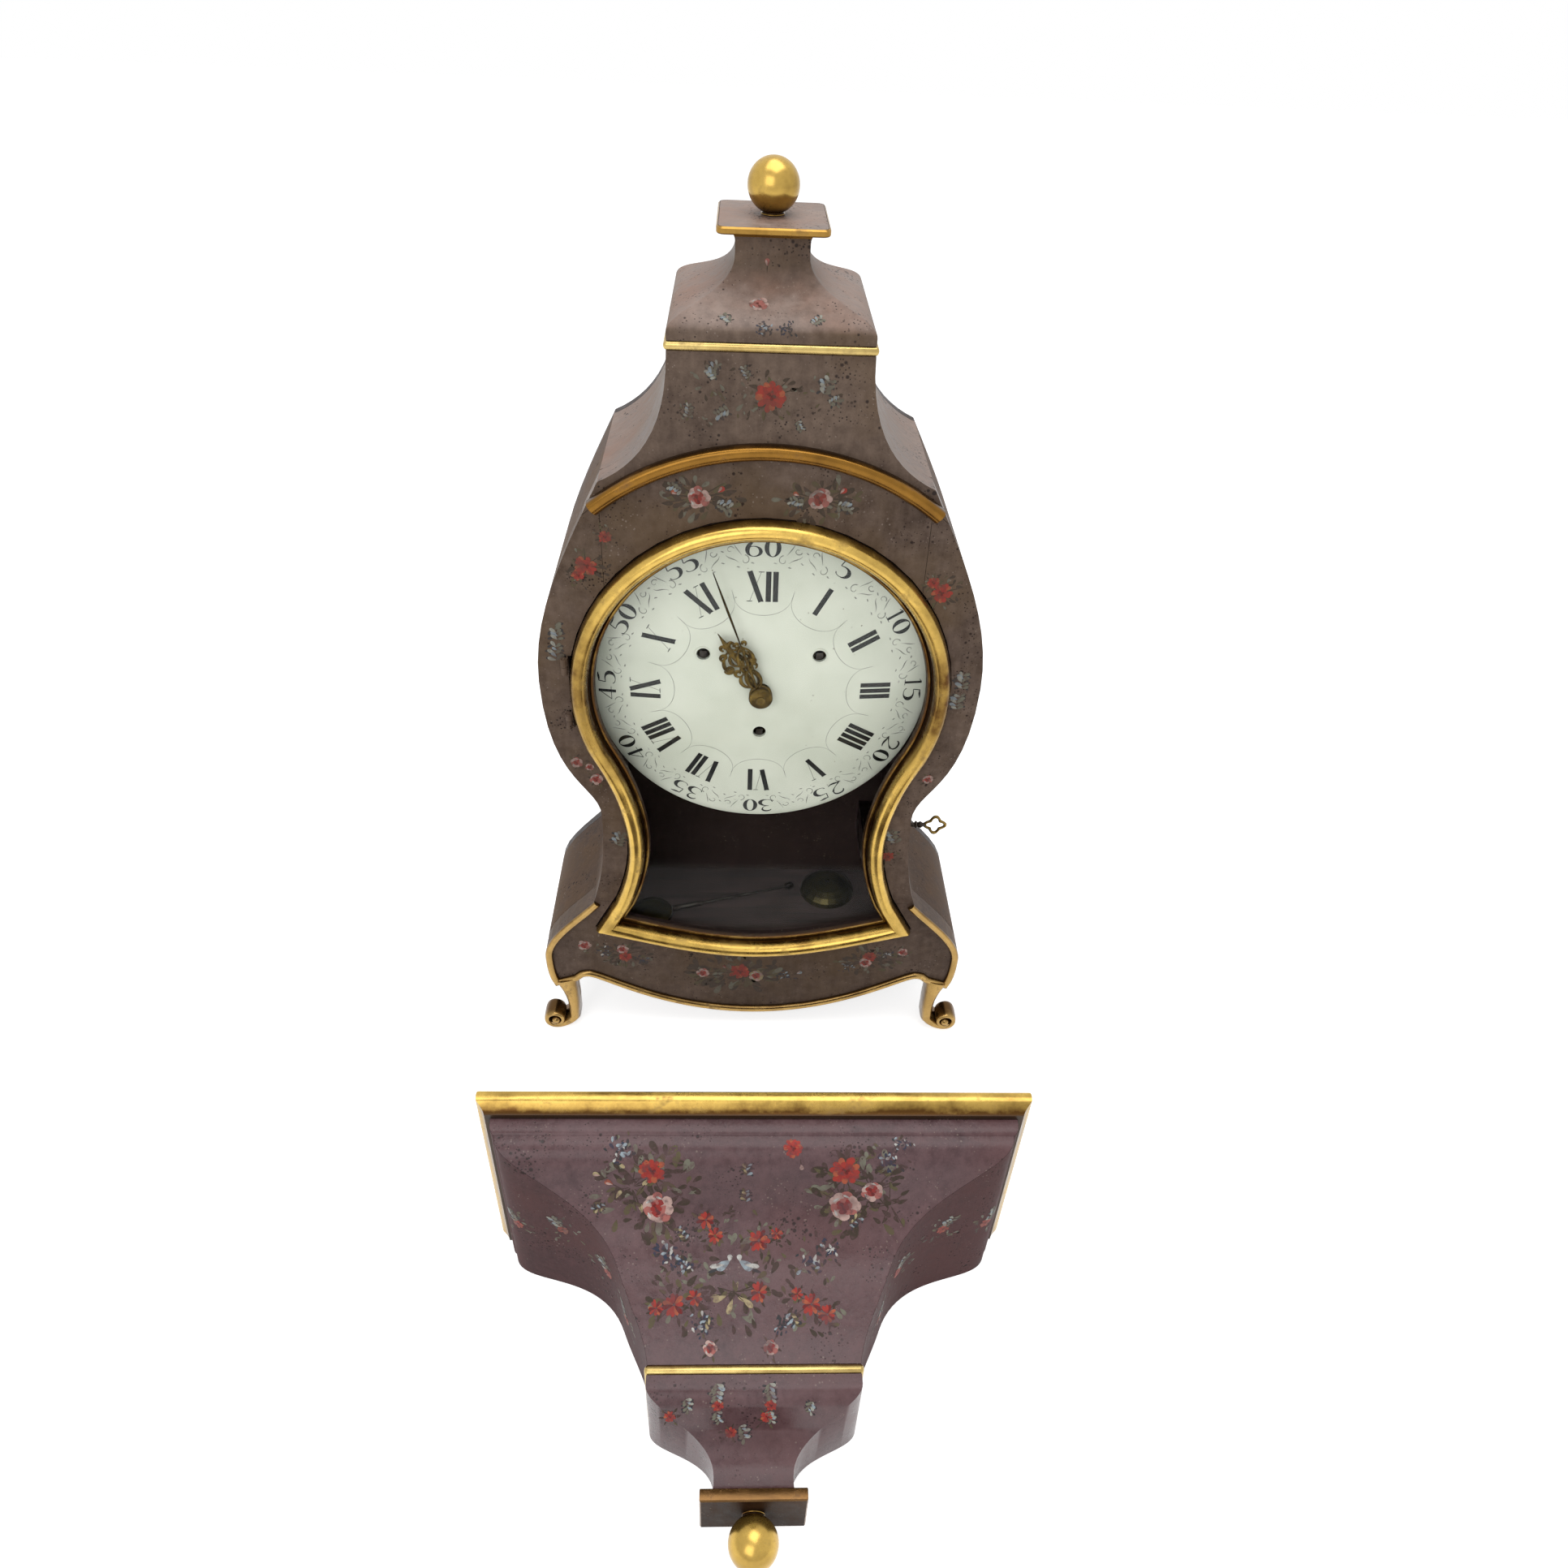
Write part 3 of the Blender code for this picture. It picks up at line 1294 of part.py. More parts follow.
def make_movement():
    low, high = DIAL_HEIGHT - PLATE_HALF, DIAL_HEIGHT + PLATE_HALF
    front = block(
        "movement_front_plate",
        (-PLATE_HALF, FRONT_PLATE, low),
        (PLATE_HALF, FRONT_PLATE + PLATE_THICK, high),
        BRASS,
    )
    stud_front = MINUTE_WHEEL_BACK - MINUTE_WHEEL_THICK - MINUTE_PINION_LENGTH - GAP
    stud = rod(
        "stud",
        (0, stud_front, MINUTE_WHEEL_HEIGHT),
        (0, FRONT_PLATE + PLATE_THICK / 2, MINUTE_WHEEL_HEIGHT),
        STUD_RADIUS,
        BRASS,
    )
    joined(cut(front, *plate_holes(BRASS, FRONT_PLATE)), stud)
    back = block(
        "movement_back_plate",
        (-PLATE_HALF, BACK_PLATE, low),
        (PLATE_HALF, BACK_PLATE + PLATE_THICK, high),
        BRASS,
    )
    cut(back, *plate_holes(BRASS, BACK_PLATE))
    reach = PLATE_HALF - PILLAR_INSET
    pillars = []
    for x, z in ((-reach, -reach), (reach, -reach), (reach, reach), (-reach, reach)):
        pillars.append(
            rod(
                "pillar",
                (x, FRONT_PLATE + PLATE_THICK + GAP, DIAL_HEIGHT + z),
                (x, BACK_PLATE + PLATE_THICK / 2, DIAL_HEIGHT + z),
                PILLAR_RADIUS,
                BRASS,
            )
        )
    post_depth = BACK_PLATE + PLATE_THICK / 2
    arm_height = BELL_TOP + BELL_POST_RADIUS + GAP
    post = rod(
        "post", (0, post_depth, high - PILLAR_INSET), (0, post_depth, arm_height), BELL_POST_RADIUS / 2, BRASS
    )
    arm = block(
        "arm",
        (-BELL_POST_RADIUS, BELL_AXIS_DEPTH - BELL_POST_RADIUS, arm_height - BELL_POST_RADIUS),
        (BELL_POST_RADIUS, post_depth + BELL_POST_RADIUS, arm_height + BELL_POST_RADIUS),
        BRASS,
    )
    stem_low = BELL_TOP - 3 * BELL_WALL
    stem = rod(
        "stem",
        (0, BELL_AXIS_DEPTH, stem_low),
        (0, BELL_AXIS_DEPTH, arm_height),
        0.6 * BELL_POST_RADIUS,
        BRASS,
    )
    joined(back, *pillars, post, arm, stem)
    make_barrels()
    make_bell()
    make_cock()


def make_barrels():
    for name, (x, rise) in zip(("strike", "quarter", "going"), winding_places()):
        z = DIAL_HEIGHT + rise
        drum = rod(
            name + "_barrel",
            (x, BARREL_FRONT, z),
            (x, BARREL_FRONT + BARREL_LENGTH, z),
            BARREL_RADIUS,
            BRASS,
            sides=24,
        )
        bore = rod(
            "bore", (x, 0, z), (x, CASE_DEPTH, z), WINDING_ARBOR_RADIUS + FIT, BRASS
        )
        cut(drum, bore)


def make_winding_arbors():
    arbors = []
    for name, (x, rise) in zip(("strike", "quarter", "going"), winding_places()):
        z = DIAL_HEIGHT + rise
        face = dial_front(math.hypot(x, rise))
        square_back = face + WINDING_SQUARE_LENGTH
        arbor = rod(
            name + "_winding_arbor",
            (x, square_back - WINDING_SQUARE, z),
            (x, BACK_PLATE + PLATE_THICK, z),
            WINDING_ARBOR_RADIUS,
            IRON,
        )
        half = WINDING_SQUARE / 2
        square = block(
            "square", (x - half, face + GAP, z - half), (x + half, square_back, z + half), IRON
        )
        arbors.append(joined(arbor, square))
    return arbors


def bell_profile(radius, height):
    """(radius, height) round the wall of a cup bell with a hole at its crown."""
    stem = 0.6 * BELL_POST_RADIUS + FIT
    sweep = np.linspace(0, math.pi / 2, 6)
    outer = [(radius * math.sin(a), -height * (1 - math.cos(a))) for a in sweep]
    thin, low = radius - BELL_WALL, height - BELL_WALL
    inner = [(thin * math.sin(a), -BELL_WALL - low * (1 - math.cos(a))) for a in sweep[::-1]]
    outer[0] = (stem, 0)
    inner[-1] = (stem, -BELL_WALL)
    return outer + inner + outer[:1]


def make_bell():
    """The hour bell, mouth down, on the stem of its stand."""
    profile = bell_profile(BELL_RADIUS, BELL_HEIGHT)
    turned("hour_bell", profile, BELL_METAL, at=(0, BELL_AXIS_DEPTH, BELL_TOP), steps=20)


def make_hammer():
    """Hammer on its arbor between the plates, its head just off the bell's rim."""
    x, z = HAMMER_SIDE, DIAL_HEIGHT + HAMMER_RISE
    arbor = rod(
        "hour_hammer",
        (x, FRONT_PLATE, z),
        (x, BACK_PLATE + PLATE_THICK, z),
        HAMMER_ARBOR_RADIUS,
        IRON,
    )
    rim = BELL_TOP - BELL_HEIGHT
    head_middle = rim + HAMMER_HEAD_RADIUS
    face = BELL_RADIUS + 2 * GAP
    stem = rod(
        "stem",
        (x, BELL_AXIS_DEPTH, z),
        (x, BELL_AXIS_DEPTH, head_middle),
        0.7 * HAMMER_ARBOR_RADIUS,
        IRON,
    )
    head = rod(
        "head",
        (face, BELL_AXIS_DEPTH, head_middle),
        (face + HAMMER_HEAD_LENGTH + HAMMER_ARBOR_RADIUS, BELL_AXIS_DEPTH, head_middle),
        HAMMER_HEAD_RADIUS,
        IRON,
    )
    return joined(arbor, stem, head)


def make_cock():
    """Back cock that carries the crutch's arbor behind the movement."""
    back = BACK_PLATE + PLATE_THICK + GAP
    half = 4 * CRUTCH_ARBOR_RADIUS
    cock = block(
        "back_cock",
        (-2 * half, back, CRUTCH_HEIGHT - half),
        (2 * half, back + PLATE_THICK, CRUTCH_HEIGHT + half),
        BRASS,
    )
    bore = rod(
        "bore",
        (0, BACK_PLATE, CRUTCH_HEIGHT),
        (0, CASE_DEPTH, CRUTCH_HEIGHT),
        CRUTCH_ARBOR_RADIUS + FIT,
        BRASS,
    )
    cut(cock, bore)


def make_crutch():
    """Arbor, hub, wire and fork that drive the pendulum when it hangs."""
    hub_front = BACK_PLATE + 2 * PLATE_THICK + 3 * GAP
    hub_back = CRUTCH_PLANE + CRUTCH_HUB_RADIUS / 2
    arbor = rod(
        "crutch", (0, FRONT_PLATE, CRUTCH_HEIGHT), (0, hub_back, CRUTCH_HEIGHT), CRUTCH_ARBOR_RADIUS, IRON
    )
    hub = rod(
        "hub", (0, hub_front, CRUTCH_HEIGHT), (0, hub_back - GAP, CRUTCH_HEIGHT), CRUTCH_HUB_RADIUS, IRON
    )
    low = CRUTCH_HEIGHT - CRUTCH_LENGTH
    wire = rod(
        "wire",
        (0, CRUTCH_PLANE, low - GAP),
        (0, CRUTCH_PLANE, CRUTCH_HEIGHT - CRUTCH_HUB_RADIUS / 2),
        0.8 * CRUTCH_ARBOR_RADIUS,
        IRON,
        sides=12,
    )
    half = CRUTCH_FORK / 2
    fork = block(
        "fork",
        (-half, CRUTCH_PLANE - half, low - CRUTCH_ARBOR_RADIUS),
        (half, CRUTCH_PLANE + half, low + CRUTCH_ARBOR_RADIUS),
        IRON,
    )
    slot = block(
        "slot",
        (-half / 3, CRUTCH_PLANE + half / 3, low - CRUTCH_FORK),
        (half / 3, CRUTCH_PLANE + 2 * half, low + CRUTCH_FORK),
        IRON,
    )
    return joined(arbor, hub, wire, cut(fork, slot))


def make_pendulum():
    """Pendulum lying flat: round bob, sleeve beside it, thin rod and a hook ring at its end."""
    level = FLOOR_TOP + GAP + BOB_THICK / 2
    turn = math.radians(PENDULUM_TURN)
    centre = Vector((PENDULUM_X, PENDULUM_Y, level))
    along = Vector((math.cos(turn), math.sin(turn), 0))
    across = Vector((-math.sin(turn), math.cos(turn), 0))
    tail = centre - (BOB_RADIUS + 2 * BOB_THICK / 2) * along
    end = centre + PENDULUM_LENGTH * along
    stem = rod("pendulum_rod", tail, end, PENDULUM_ROD_RADIUS, BRASS, sides=12)
    sleeve_start = centre + (BOB_RADIUS + GAP) * along
    sleeve = rod(
        "sleeve",
        sleeve_start,
        sleeve_start + PENDULUM_SLEEVE_LENGTH * along,
        PENDULUM_SLEEVE_RADIUS,
        BRASS,
        sides=12,
    )
    half = PENDULUM_HOOK_THICK / 2
    ring_radius = BOB_THICK / 2
    ring = rod("ring", end - half * across, end + half * across, ring_radius, BRASS)
    bore = rod(
        "bore", end - 2 * half * across, end + 2 * half * across, ring_radius - PENDULUM_ROD_RADIUS, BRASS
    )
    hanger = cut(joined(stem, sleeve, ring), bore)
    rim = 0.35 * BOB_THICK
    profile = [
        (0, BOB_THICK / 2),
        (0.7 * BOB_RADIUS, 0.45 * BOB_THICK),
        (BOB_RADIUS, rim / 2),
        (BOB_RADIUS, -rim / 2),
        (0.7 * BOB_RADIUS, -BOB_THICK / 2),
        (0, -BOB_THICK / 2),
    ]
    bob = turned("pendulum_bob", profile, BRASS, at=centre, steps=24)
    hole = rod(
        "hole",
        centre - 2 * BOB_RADIUS * along,
        centre + 2 * BOB_RADIUS * along,
        PENDULUM_ROD_RADIUS + FIT,
        BRASS,
        sides=12,
    )
    return hanger, cut(bob, hole)


def make_loose_bell():
    """Second bell, off its stand and mouth down."""
    place = (LOOSE_BELL_X, LOOSE_BELL_Y, FLOOR_TOP + GAP + LOOSE_BELL_HEIGHT)
    profile = bell_profile(LOOSE_BELL_RADIUS, LOOSE_BELL_HEIGHT)
    return turned("quarter_bell", profile, BELL_METAL, at=place, steps=20)


# Wall bracket


BRACKET_BOX_TOP = BRACKET_TOP_THICK + GAP
PENDANT_TOP = BRACKET_BOX_FOOT + GAP + BRACKET_BAND + GAP
PENDANT_PLATE_TOP = PENDANT_TOP + PENDANT_HEIGHT
BRACKET_BALL_TOP = PENDANT_PLATE_TOP + PENDANT_PLATE_THICK + GAP
BRACKET_HEIGHT = BRACKET_BALL_TOP + 2 * BALL_RADIUS


def bracket_sections():
    """(depth below the top, half width, depth from the wall): two rolls, then a long hollow."""
    foot = BRACKET_BOX_FOOT
    bead = BRACKET_BOX_TOP + BRACKET_BEAD
    roll = BRACKET_BOX_TOP + BRACKET_ROLL
    share, step = BRACKET_ROLL_SHARE, BRACKET_BEAD_STEP
    upper = bezier((0, BRACKET_BOX_TOP), (0, bead), (0.4 * step, bead), (step, bead), 4)
    swell = bezier(
        (0.8 * step, bead + 0.1 * BRACKET_BEAD),
        (0.8 * step, bead + 0.47 * (roll - bead)),
        (0.775 * share, bead + 0.19 * (roll - bead)),
        (share, roll),
        8,
    )
    hollow = bezier(
        (share, roll),
        (1.09 * share, roll + 0.36 * (foot - roll)),
        (0.98, roll + 0.67 * (foot - roll)),
        (1, foot),
        5,
    )
    sections = []
    for inset, depth in upper + swell + hollow[1:]:
        half = BRACKET_TOP_HALF - inset * (BRACKET_TOP_HALF - BRACKET_BOX_HALF)
        front = BRACKET_TOP_DEPTH - inset * (BRACKET_TOP_DEPTH - BRACKET_BOX_HALF)
        sections.append((depth, half, front))
    return sections


def make_bracket_box():
    """Front and two sides, bent to the same sweep and mitred at the hips."""
    mitre = GAP / 2
    front_rings, side_rings = [], []
    for depth, half, front in bracket_sections():
        inner, inner_front = half - BRACKET_WALL, front - BRACKET_WALL
        front_rings.append(
            [
                (-half + mitre, -front, -depth),
                (half - mitre, -front, -depth),
                (inner - mitre, -inner_front, -depth),
                (-inner + mitre, -inner_front, -depth),
            ]
        )
        side_rings.append(
            [
                (half, -front + mitre, -depth),
                (half, 0, -depth),
                (inner, 0, -depth),
                (inner, -inner_front + mitre, -depth),
            ]
        )
    loft("bracket_front", front_rings, BRACKET_PAINT)
    loft("bracket_side_right", side_rings, BRACKET_PAINT)
    left = [[(-x, y, z) for x, y, z in ring] for ring in side_rings]
    loft("bracket_side_left", left, BRACKET_PAINT)


def make_bracket_top():
    half, deep, thick = BRACKET_TOP_HALF, BRACKET_TOP_DEPTH, BRACKET_TOP_THICK
    block("bracket_top", (-half, -deep, -thick), (half, 0, 0), BRACKET_PAINT)
    width = BRACKET_MOULDING
    corners = [(half, 0), (half, -deep), (-half, -deep), (-half, 0)]
    outward = normals(corners, closed=False)
    profile = [
        (GAP, 0),
        (0.75 * width, 0),
        (width, -0.25 * thick),
        (0.9 * width, -0.6 * thick),
        (0.35 * width, -thick),
        (GAP, -thick),
    ]
    rings = [
        [(x + reach * nx, y + reach * ny, z) for reach, z in profile]
        for (x, y), (nx, ny) in zip(corners, outward)
    ]
    loft("bracket_moulding", rings, GILT)


def make_bracket_foot():
    """Gilt band, ogee pendant with its plate, and ball under the box."""
    band = BRACKET_BOX_FOOT + GAP
    wide = BRACKET_BOX_HALF + BRACKET_BAND_LIP
    block("bracket_band", (-wide, -wide, -band - BRACKET_BAND), (wide, 0, -band), GILT)
    rings = []
    for height, inset in ogee(
        PENDANT_STRAIGHT, PENDANT_NECK_INSET, PENDANT_NECK_HEIGHT, PENDANT_FLARE, PENDANT_HEIGHT
    ):
        half = BRACKET_BOX_HALF - inset
        front = BRACKET_BOX_HALF - inset * (BRACKET_BOX_HALF - pendant_neck_depth()) / PENDANT_NECK_INSET
        level = -PENDANT_TOP - height
        rings.append([(-half, -front, level), (half, -front, level), (half, 0, level), (-half, 0, level)])
    half, front = PENDANT_PLATE_HALF, PENDANT_PLATE_DEPTH
    for level in (-PENDANT_PLATE_TOP, -PENDANT_PLATE_TOP - PENDANT_PLATE_THICK):
        rings.append([(-half, -front, level), (half, -front, level), (half, 0, level), (-half, 0, level)])
    loft("bracket_pendant", rings, BRACKET_PAINT)
    ball = turned("bracket_ball", ball_profile(), GILT, steps=18)
    turn = Matrix.Rotation(math.pi, 4, "X")
    ball.data.transform(Matrix.Translation((0, -PENDANT_PLATE_DEPTH / 2, -BRACKET_BALL_TOP)) @ turn)


def pendant_neck_depth():
    """Depth of the pendant's neck, so that it meets the plate as the sides do."""
    return PENDANT_PLATE_DEPTH - (PENDANT_PLATE_HALF - (BRACKET_BOX_HALF - PENDANT_NECK_INSET))


# Assembly


def pivot(name, place, parent):
    """An empty on a joint's axis."""
    empty = bpy.data.objects.new(name, None)
    PARTS.objects.link(empty)
    empty.parent = parent
    empty.location = place
    return empty


def hang(empty, *pieces):
    """Parents pieces to a pivot without moving them."""
    for piece in pieces:
        piece.parent = empty
        piece.location = -empty.location


def assemble():
    make_sides()
    make_back()
    make_roof()
    make_front()
    make_floor_and_seat()
    make_cap()
    make_gilt_mouldings()
    make_feet()
    make_dial()
    make_motion_work()
    make_movement()
    door = make_door() + make_hinges()
    key, bolt = make_lock()
    hour_hand, minute_hand = make_hands()
    arbors = make_winding_arbors()
    hammer = make_hammer()
    crutch = make_crutch()
    hanger, bob = make_pendulum()
    loose_bell = make_loose_bell()
    clock_pieces = [piece for piece in PARTS.objects]
    make_bracket_box()
    make_bracket_top()
    make_bracket_foot()
    bracket_pieces = [piece for piece in PARTS.objects if piece not in clock_pieces]

    front_of_clock = (BRACKET_STAND_OFF + BRACKET_HEIGHT - CASE_DEPTH) / 2
    clock = pivot("clock", (0, front_of_clock, 0), None)
    for piece in clock_pieces:
        piece.parent = clock
    bracket = pivot("bracket", (0, front_of_clock - BRACKET_STAND_OFF, 0), None)
    bracket.rotation_euler = (-math.pi / 2, 0, 0)
    for piece in bracket_pieces:
        piece.parent = bracket

    parts = PARTS.objects
    hang(pivot("door_pivot", (HINGE_X, HINGE_Y, RING_HEIGHT), clock), *door)
    hang(pivot("key_pivot", (lock_side(), KEY_DEPTH, KEY_HEIGHT), clock), key)
    hang(pivot("bolt_slide", (bolt_middle(), BOLT_FRONT, LOCK_TOP), clock), bolt)
    centre = (0, 0, DIAL_HEIGHT)
    hang(pivot("minute_pivot", centre, clock), minute_hand, parts["cannon_pinion"])
    hang(pivot("hour_pivot", centre, clock), hour_hand, parts["hour_wheel"])
    hang(pivot("minute_wheel_pivot", (0, 0, MINUTE_WHEEL_HEIGHT), clock), parts["minute_wheel"])
    for arbor, (x, rise) in zip(arbors, winding_places()):
        hang(pivot(arbor.name + "_pivot", (x, 0, DIAL_HEIGHT + rise), clock), arbor)
    hammer_place = (HAMMER_SIDE, 0, DIAL_HEIGHT + HAMMER_RISE)
    hang(pivot("hammer_pivot", hammer_place, clock), hammer)
    hang(pivot("crutch_pivot", (0, CRUTCH_PLANE, CRUTCH_HEIGHT), clock), crutch)
    hang(pivot("pendulum_lift", (PENDULUM_X, PENDULUM_Y, FLOOR_TOP), clock), hanger, bob)
    hang(pivot("bell_lift", (LOOSE_BELL_X, LOOSE_BELL_Y, FLOOR_TOP), clock), loose_bell)


assemble()
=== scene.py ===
"""Looks of the bracket clock and its wall bracket: paint, gilding, flower sprays, dial and hands."""

import json
import math

import bmesh
import bpy
import numpy as np
from mathutils import Matrix, Vector


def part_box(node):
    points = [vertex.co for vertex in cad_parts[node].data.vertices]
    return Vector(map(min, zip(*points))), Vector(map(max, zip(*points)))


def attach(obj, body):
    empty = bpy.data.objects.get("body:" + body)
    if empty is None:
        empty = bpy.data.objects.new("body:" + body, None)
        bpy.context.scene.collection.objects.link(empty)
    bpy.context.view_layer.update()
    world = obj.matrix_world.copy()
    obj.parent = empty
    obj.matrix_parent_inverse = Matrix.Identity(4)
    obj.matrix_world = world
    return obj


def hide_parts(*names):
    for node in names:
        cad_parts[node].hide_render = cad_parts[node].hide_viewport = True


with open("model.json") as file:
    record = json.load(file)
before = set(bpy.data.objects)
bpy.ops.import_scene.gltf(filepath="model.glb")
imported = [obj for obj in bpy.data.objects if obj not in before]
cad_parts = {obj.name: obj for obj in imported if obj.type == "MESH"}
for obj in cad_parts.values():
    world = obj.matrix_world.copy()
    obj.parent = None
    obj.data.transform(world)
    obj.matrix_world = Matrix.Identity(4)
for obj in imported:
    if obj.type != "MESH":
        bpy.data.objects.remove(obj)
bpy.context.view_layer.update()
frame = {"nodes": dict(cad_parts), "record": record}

# Where the clock and the bracket stand: painted front, bracket's top face
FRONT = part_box("hood_front")[0][1]
BRACKET_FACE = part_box("bracket_top")[1][1]
GAP = 0.0003
MERGE_REACH = 1e-7

# Case outline, as cut
DIAL_HEIGHT = 0.330
CASE_DEPTH = 0.122
FRONT_THICK = 0.018
BACK_THICK = 0.008
SIDE_THICK = 0.010
ROOF_THICK = 0.008
SHOULDER = (0.103, 0.494)
SHOULDER_LEAN = 27
BELLY = (0.1515, 0.350)
WAIST = (0.116, 0.230)
BASE_TOP = (0.1275, 0.143)
BASE = (0.1715, 0.080)
NECK = (0.166, 0.045)
NECK_LEAN = -25
NECK_WIDTH = 0.0195
APRON_RISE = 0.007
APRON_CREST_INSET = 0.029
APRON_CREST_RISE = 0.0122
APRON_LOW = 0.014
HOOD_TOP = (0.0595, 0.573)

# Door ring and waist
RING_HEIGHT = 0.342
RING_RADIUS = 0.1305
RING_LEAVES_AT = 26
DOOR_WAIST = (0.0975, 0.205)
DOOR_CORNER = (0.1275, 0.1145)
DOOR_CORNER_LEAN = 38
DOOR_FOOT_HEIGHT = 0.0875
BEZEL_WIDTH = 0.0165
BEZEL_PROUD = 0.011
BEZEL_DEPTH = 0.012
GLASS_FRONT = 0.004

# Gilt mouldings, cap and bracket
ARCH_HALF = 0.107
ARCH_ENDS = 0.478
ARCH_MIDDLE = 0.516
ARCH_WIDTH = 0.010
ARCH_PROUD = 0.008
EDGING_WIDTH = 0.006
EDGING_PROUD = 0.004
DECK_THICK = 0.005
CAP_FOOT = HOOD_TOP[1] + DECK_THICK + 2 * GAP
CAP_HEIGHT = 0.0497
CAP_PLATE = (0.032, 0.035, 0.004)
BALL_RADIUS = 0.015
BALL_NECK = 0.006
BALL_RING = ((0, 0.0009), (0.0009, 0.0007), (0.0011, 0.0003), (0.0009, 0))
BRACKET_TOP = (0.1725, 0.147, 0.015)
BRACKET_MOULDING = 0.010
BRACKET_BOX_TOP = BRACKET_TOP[2] + GAP
BRACKET_BOX_FOOT = 0.135
BRACKET_BOX_HALF = 0.066
BRACKET_ROLL = 0.0677
BRACKET_BEAD = 0.0095
BRACKET_BEAD_STEP = 0.045
BRACKET_ROLL_SHARE = 0.80
BRACKET_WALL = 0.012
BRACKET_BAND = 0.0055
PENDANT_TOP = BRACKET_BOX_FOOT + BRACKET_BAND + 2 * GAP
PENDANT_HEIGHT = 0.053
PENDANT_NECK_INSET = 0.042
PENDANT_PLATE = (0.032, 0.039, 0.007)

# Dial and hands
DIAL_RADIUS = 0.120
DIAL_CROWN = 0.0215
DIAL_DOME = 0.008
DIAL_THICK = 0.0025
DIAL_BORE = 0.0075
WINDING_HOLES = ((-0.0405, 0.030), (0.0405, 0.030), (0.0, -0.035))
WINDING_HOLE = 0.0048
DRILL_LENGTH = 0.03
DRILL_MIDDLE = 0.0245
# Lip of a winding hole: (out from the bore, rise)
LIP_SECTION = ((-0.0001, -0.0010), (-0.0001, 0.0002), (0.0005, 0.0006), (0.0013, 0.0002), (0.0015, -0.0010))
HOUR_RING = 0.082
HOUR_TALL = 0.0216
HOUR_SQUEEZE = 0.86
MINUTE_RING = 0.1093
MINUTE_TALL = 0.0125
MINUTE_SQUEEZE = 1.65
INK_LIFT = 0.00006
TRACERY_LIFT = 0.00004
HOUR_HAND = (0.058, 31.5, 0.0170)
MINUTE_HAND = (0.103, 18.9, 0.0134)
HAND_THICK = 0.0011
BOSS = (0.0085, 0.0022, 0.0033)
# Collar of the hour hand: (out from the bore, rise)
COLLAR_SECTION = (
    (0.0026, 0), (0.0048, 0), (0.0050, 0.0005), (0.0044, HAND_THICK), (0.0026, HAND_THICK), (0.0026, 0)
)
KEY_HEIGHT = 0.186
KEY_DEPTH = 0.048
KEY_REACH = 0.024
KEY_BOW = 0.0065


# Plane curves


def bezier(start, start_handle, end_handle, end, steps):
    knots = np.array([start, start_handle, end_handle, end], float)
    t = np.linspace(0, 1, steps + 1)[:, None]
    weights = np.hstack([(1 - t) ** 3, 3 * t * (1 - t) ** 2, 3 * t * t * (1 - t), t**3])
    return [tuple(p) for p in weights @ knots]


def arc(centre, radius, start, end, steps):
    angles = np.radians(np.linspace(start, end, steps + 1))
    return [(centre[0] + radius * math.cos(a), centre[1] + radius * math.sin(a)) for a in angles]


def lean(degrees, length):
    angle = math.radians(degrees)
    return np.array([length * math.sin(angle), -length * math.cos(angle)])


def mirrored(points):
    return [(-x, z) for x, z in points]


def both_sides(right_half):
    left = [p for p in mirrored(right_half) if abs(p[0]) > 1e-9]
    return right_half[::-1] + left


def normals(points, closed):
    path = np.array(points)
    ahead = np.roll(path, -1, axis=0) - path
    if not closed:
        ahead[-1] = ahead[-2]
    ahead /= np.linalg.norm(ahead, axis=1)[:, None]
    behind = np.roll(ahead, 1, axis=0)
    if not closed:
        behind[0] = ahead[0]
    left_ahead = np.stack([-ahead[:, 1], ahead[:, 0]], axis=1)
    left_behind = np.stack([-behind[:, 1], behind[:, 0]], axis=1)
    middle = left_ahead + left_behind
    return 2 * middle / (middle * middle).sum(axis=1)[:, None]


def offset(points, distance, closed=False):
    moved = np.array(points) + distance * normals(points, closed)
    return [tuple(p) for p in moved]


def straightened(points, corner, reach):
    return [p for p in points if math.dist(p, corner) > reach or math.dist(p, corner) < 1e-9]


def case_outline():
    """Right side of the case from the shoulder down to the neck of the foot."""
    shoulder, belly, waist = np.array(SHOULDER), np.array(BELLY), np.array(WAIST)
    base_top, base, neck = np.array(BASE_TOP), np.array(BASE), np.array(NECK)
    rise, drop = shoulder[1] - belly[1], belly[1] - waist[1]
    skirt, swell, tuck = waist[1] - base_top[1], base_top[1] - base[1], base[1] - neck[1]
    upper = bezier(
        shoulder, shoulder + lean(SHOULDER_LEAN, 0.38 * rise), belly - lean(0, 0.35 * rise), belly, 24
    )
    middle = bezier(belly, belly + lean(0, 0.75 * drop), waist - lean(0, 0.25 * drop), waist, 28)
    lower = bezier(waist, waist + lean(0, 0.4 * skirt), base_top - lean(18, 0.3 * skirt), base_top, 14)
    bulge = bezier(base_top, base_top + lean(40, 0.4 * swell), base - lean(0, 0.35 * swell), base, 20)
    under = bezier(base, base + lean(0, 0.45 * tuck), neck - lean(NECK_LEAN, 0.3 * tuck), neck, 12)
    return upper + middle[1:] + lower[1:] + bulge[1:] + under[1:]


def hood_outline():
    """Right side of the hood from its flat top down to the shoulder."""
    span, rise = SHOULDER[0] - HOOD_TOP[0], HOOD_TOP[1] - SHOULDER[1]
    top_handle = (HOOD_TOP[0], HOOD_TOP[1] - 0.6 * rise)
    low_handle = (SHOULDER[0] - 0.53 * span, SHOULDER[1] + 0.13 * rise)
    return bezier(HOOD_TOP, top_handle, low_handle, SHOULDER, 28)


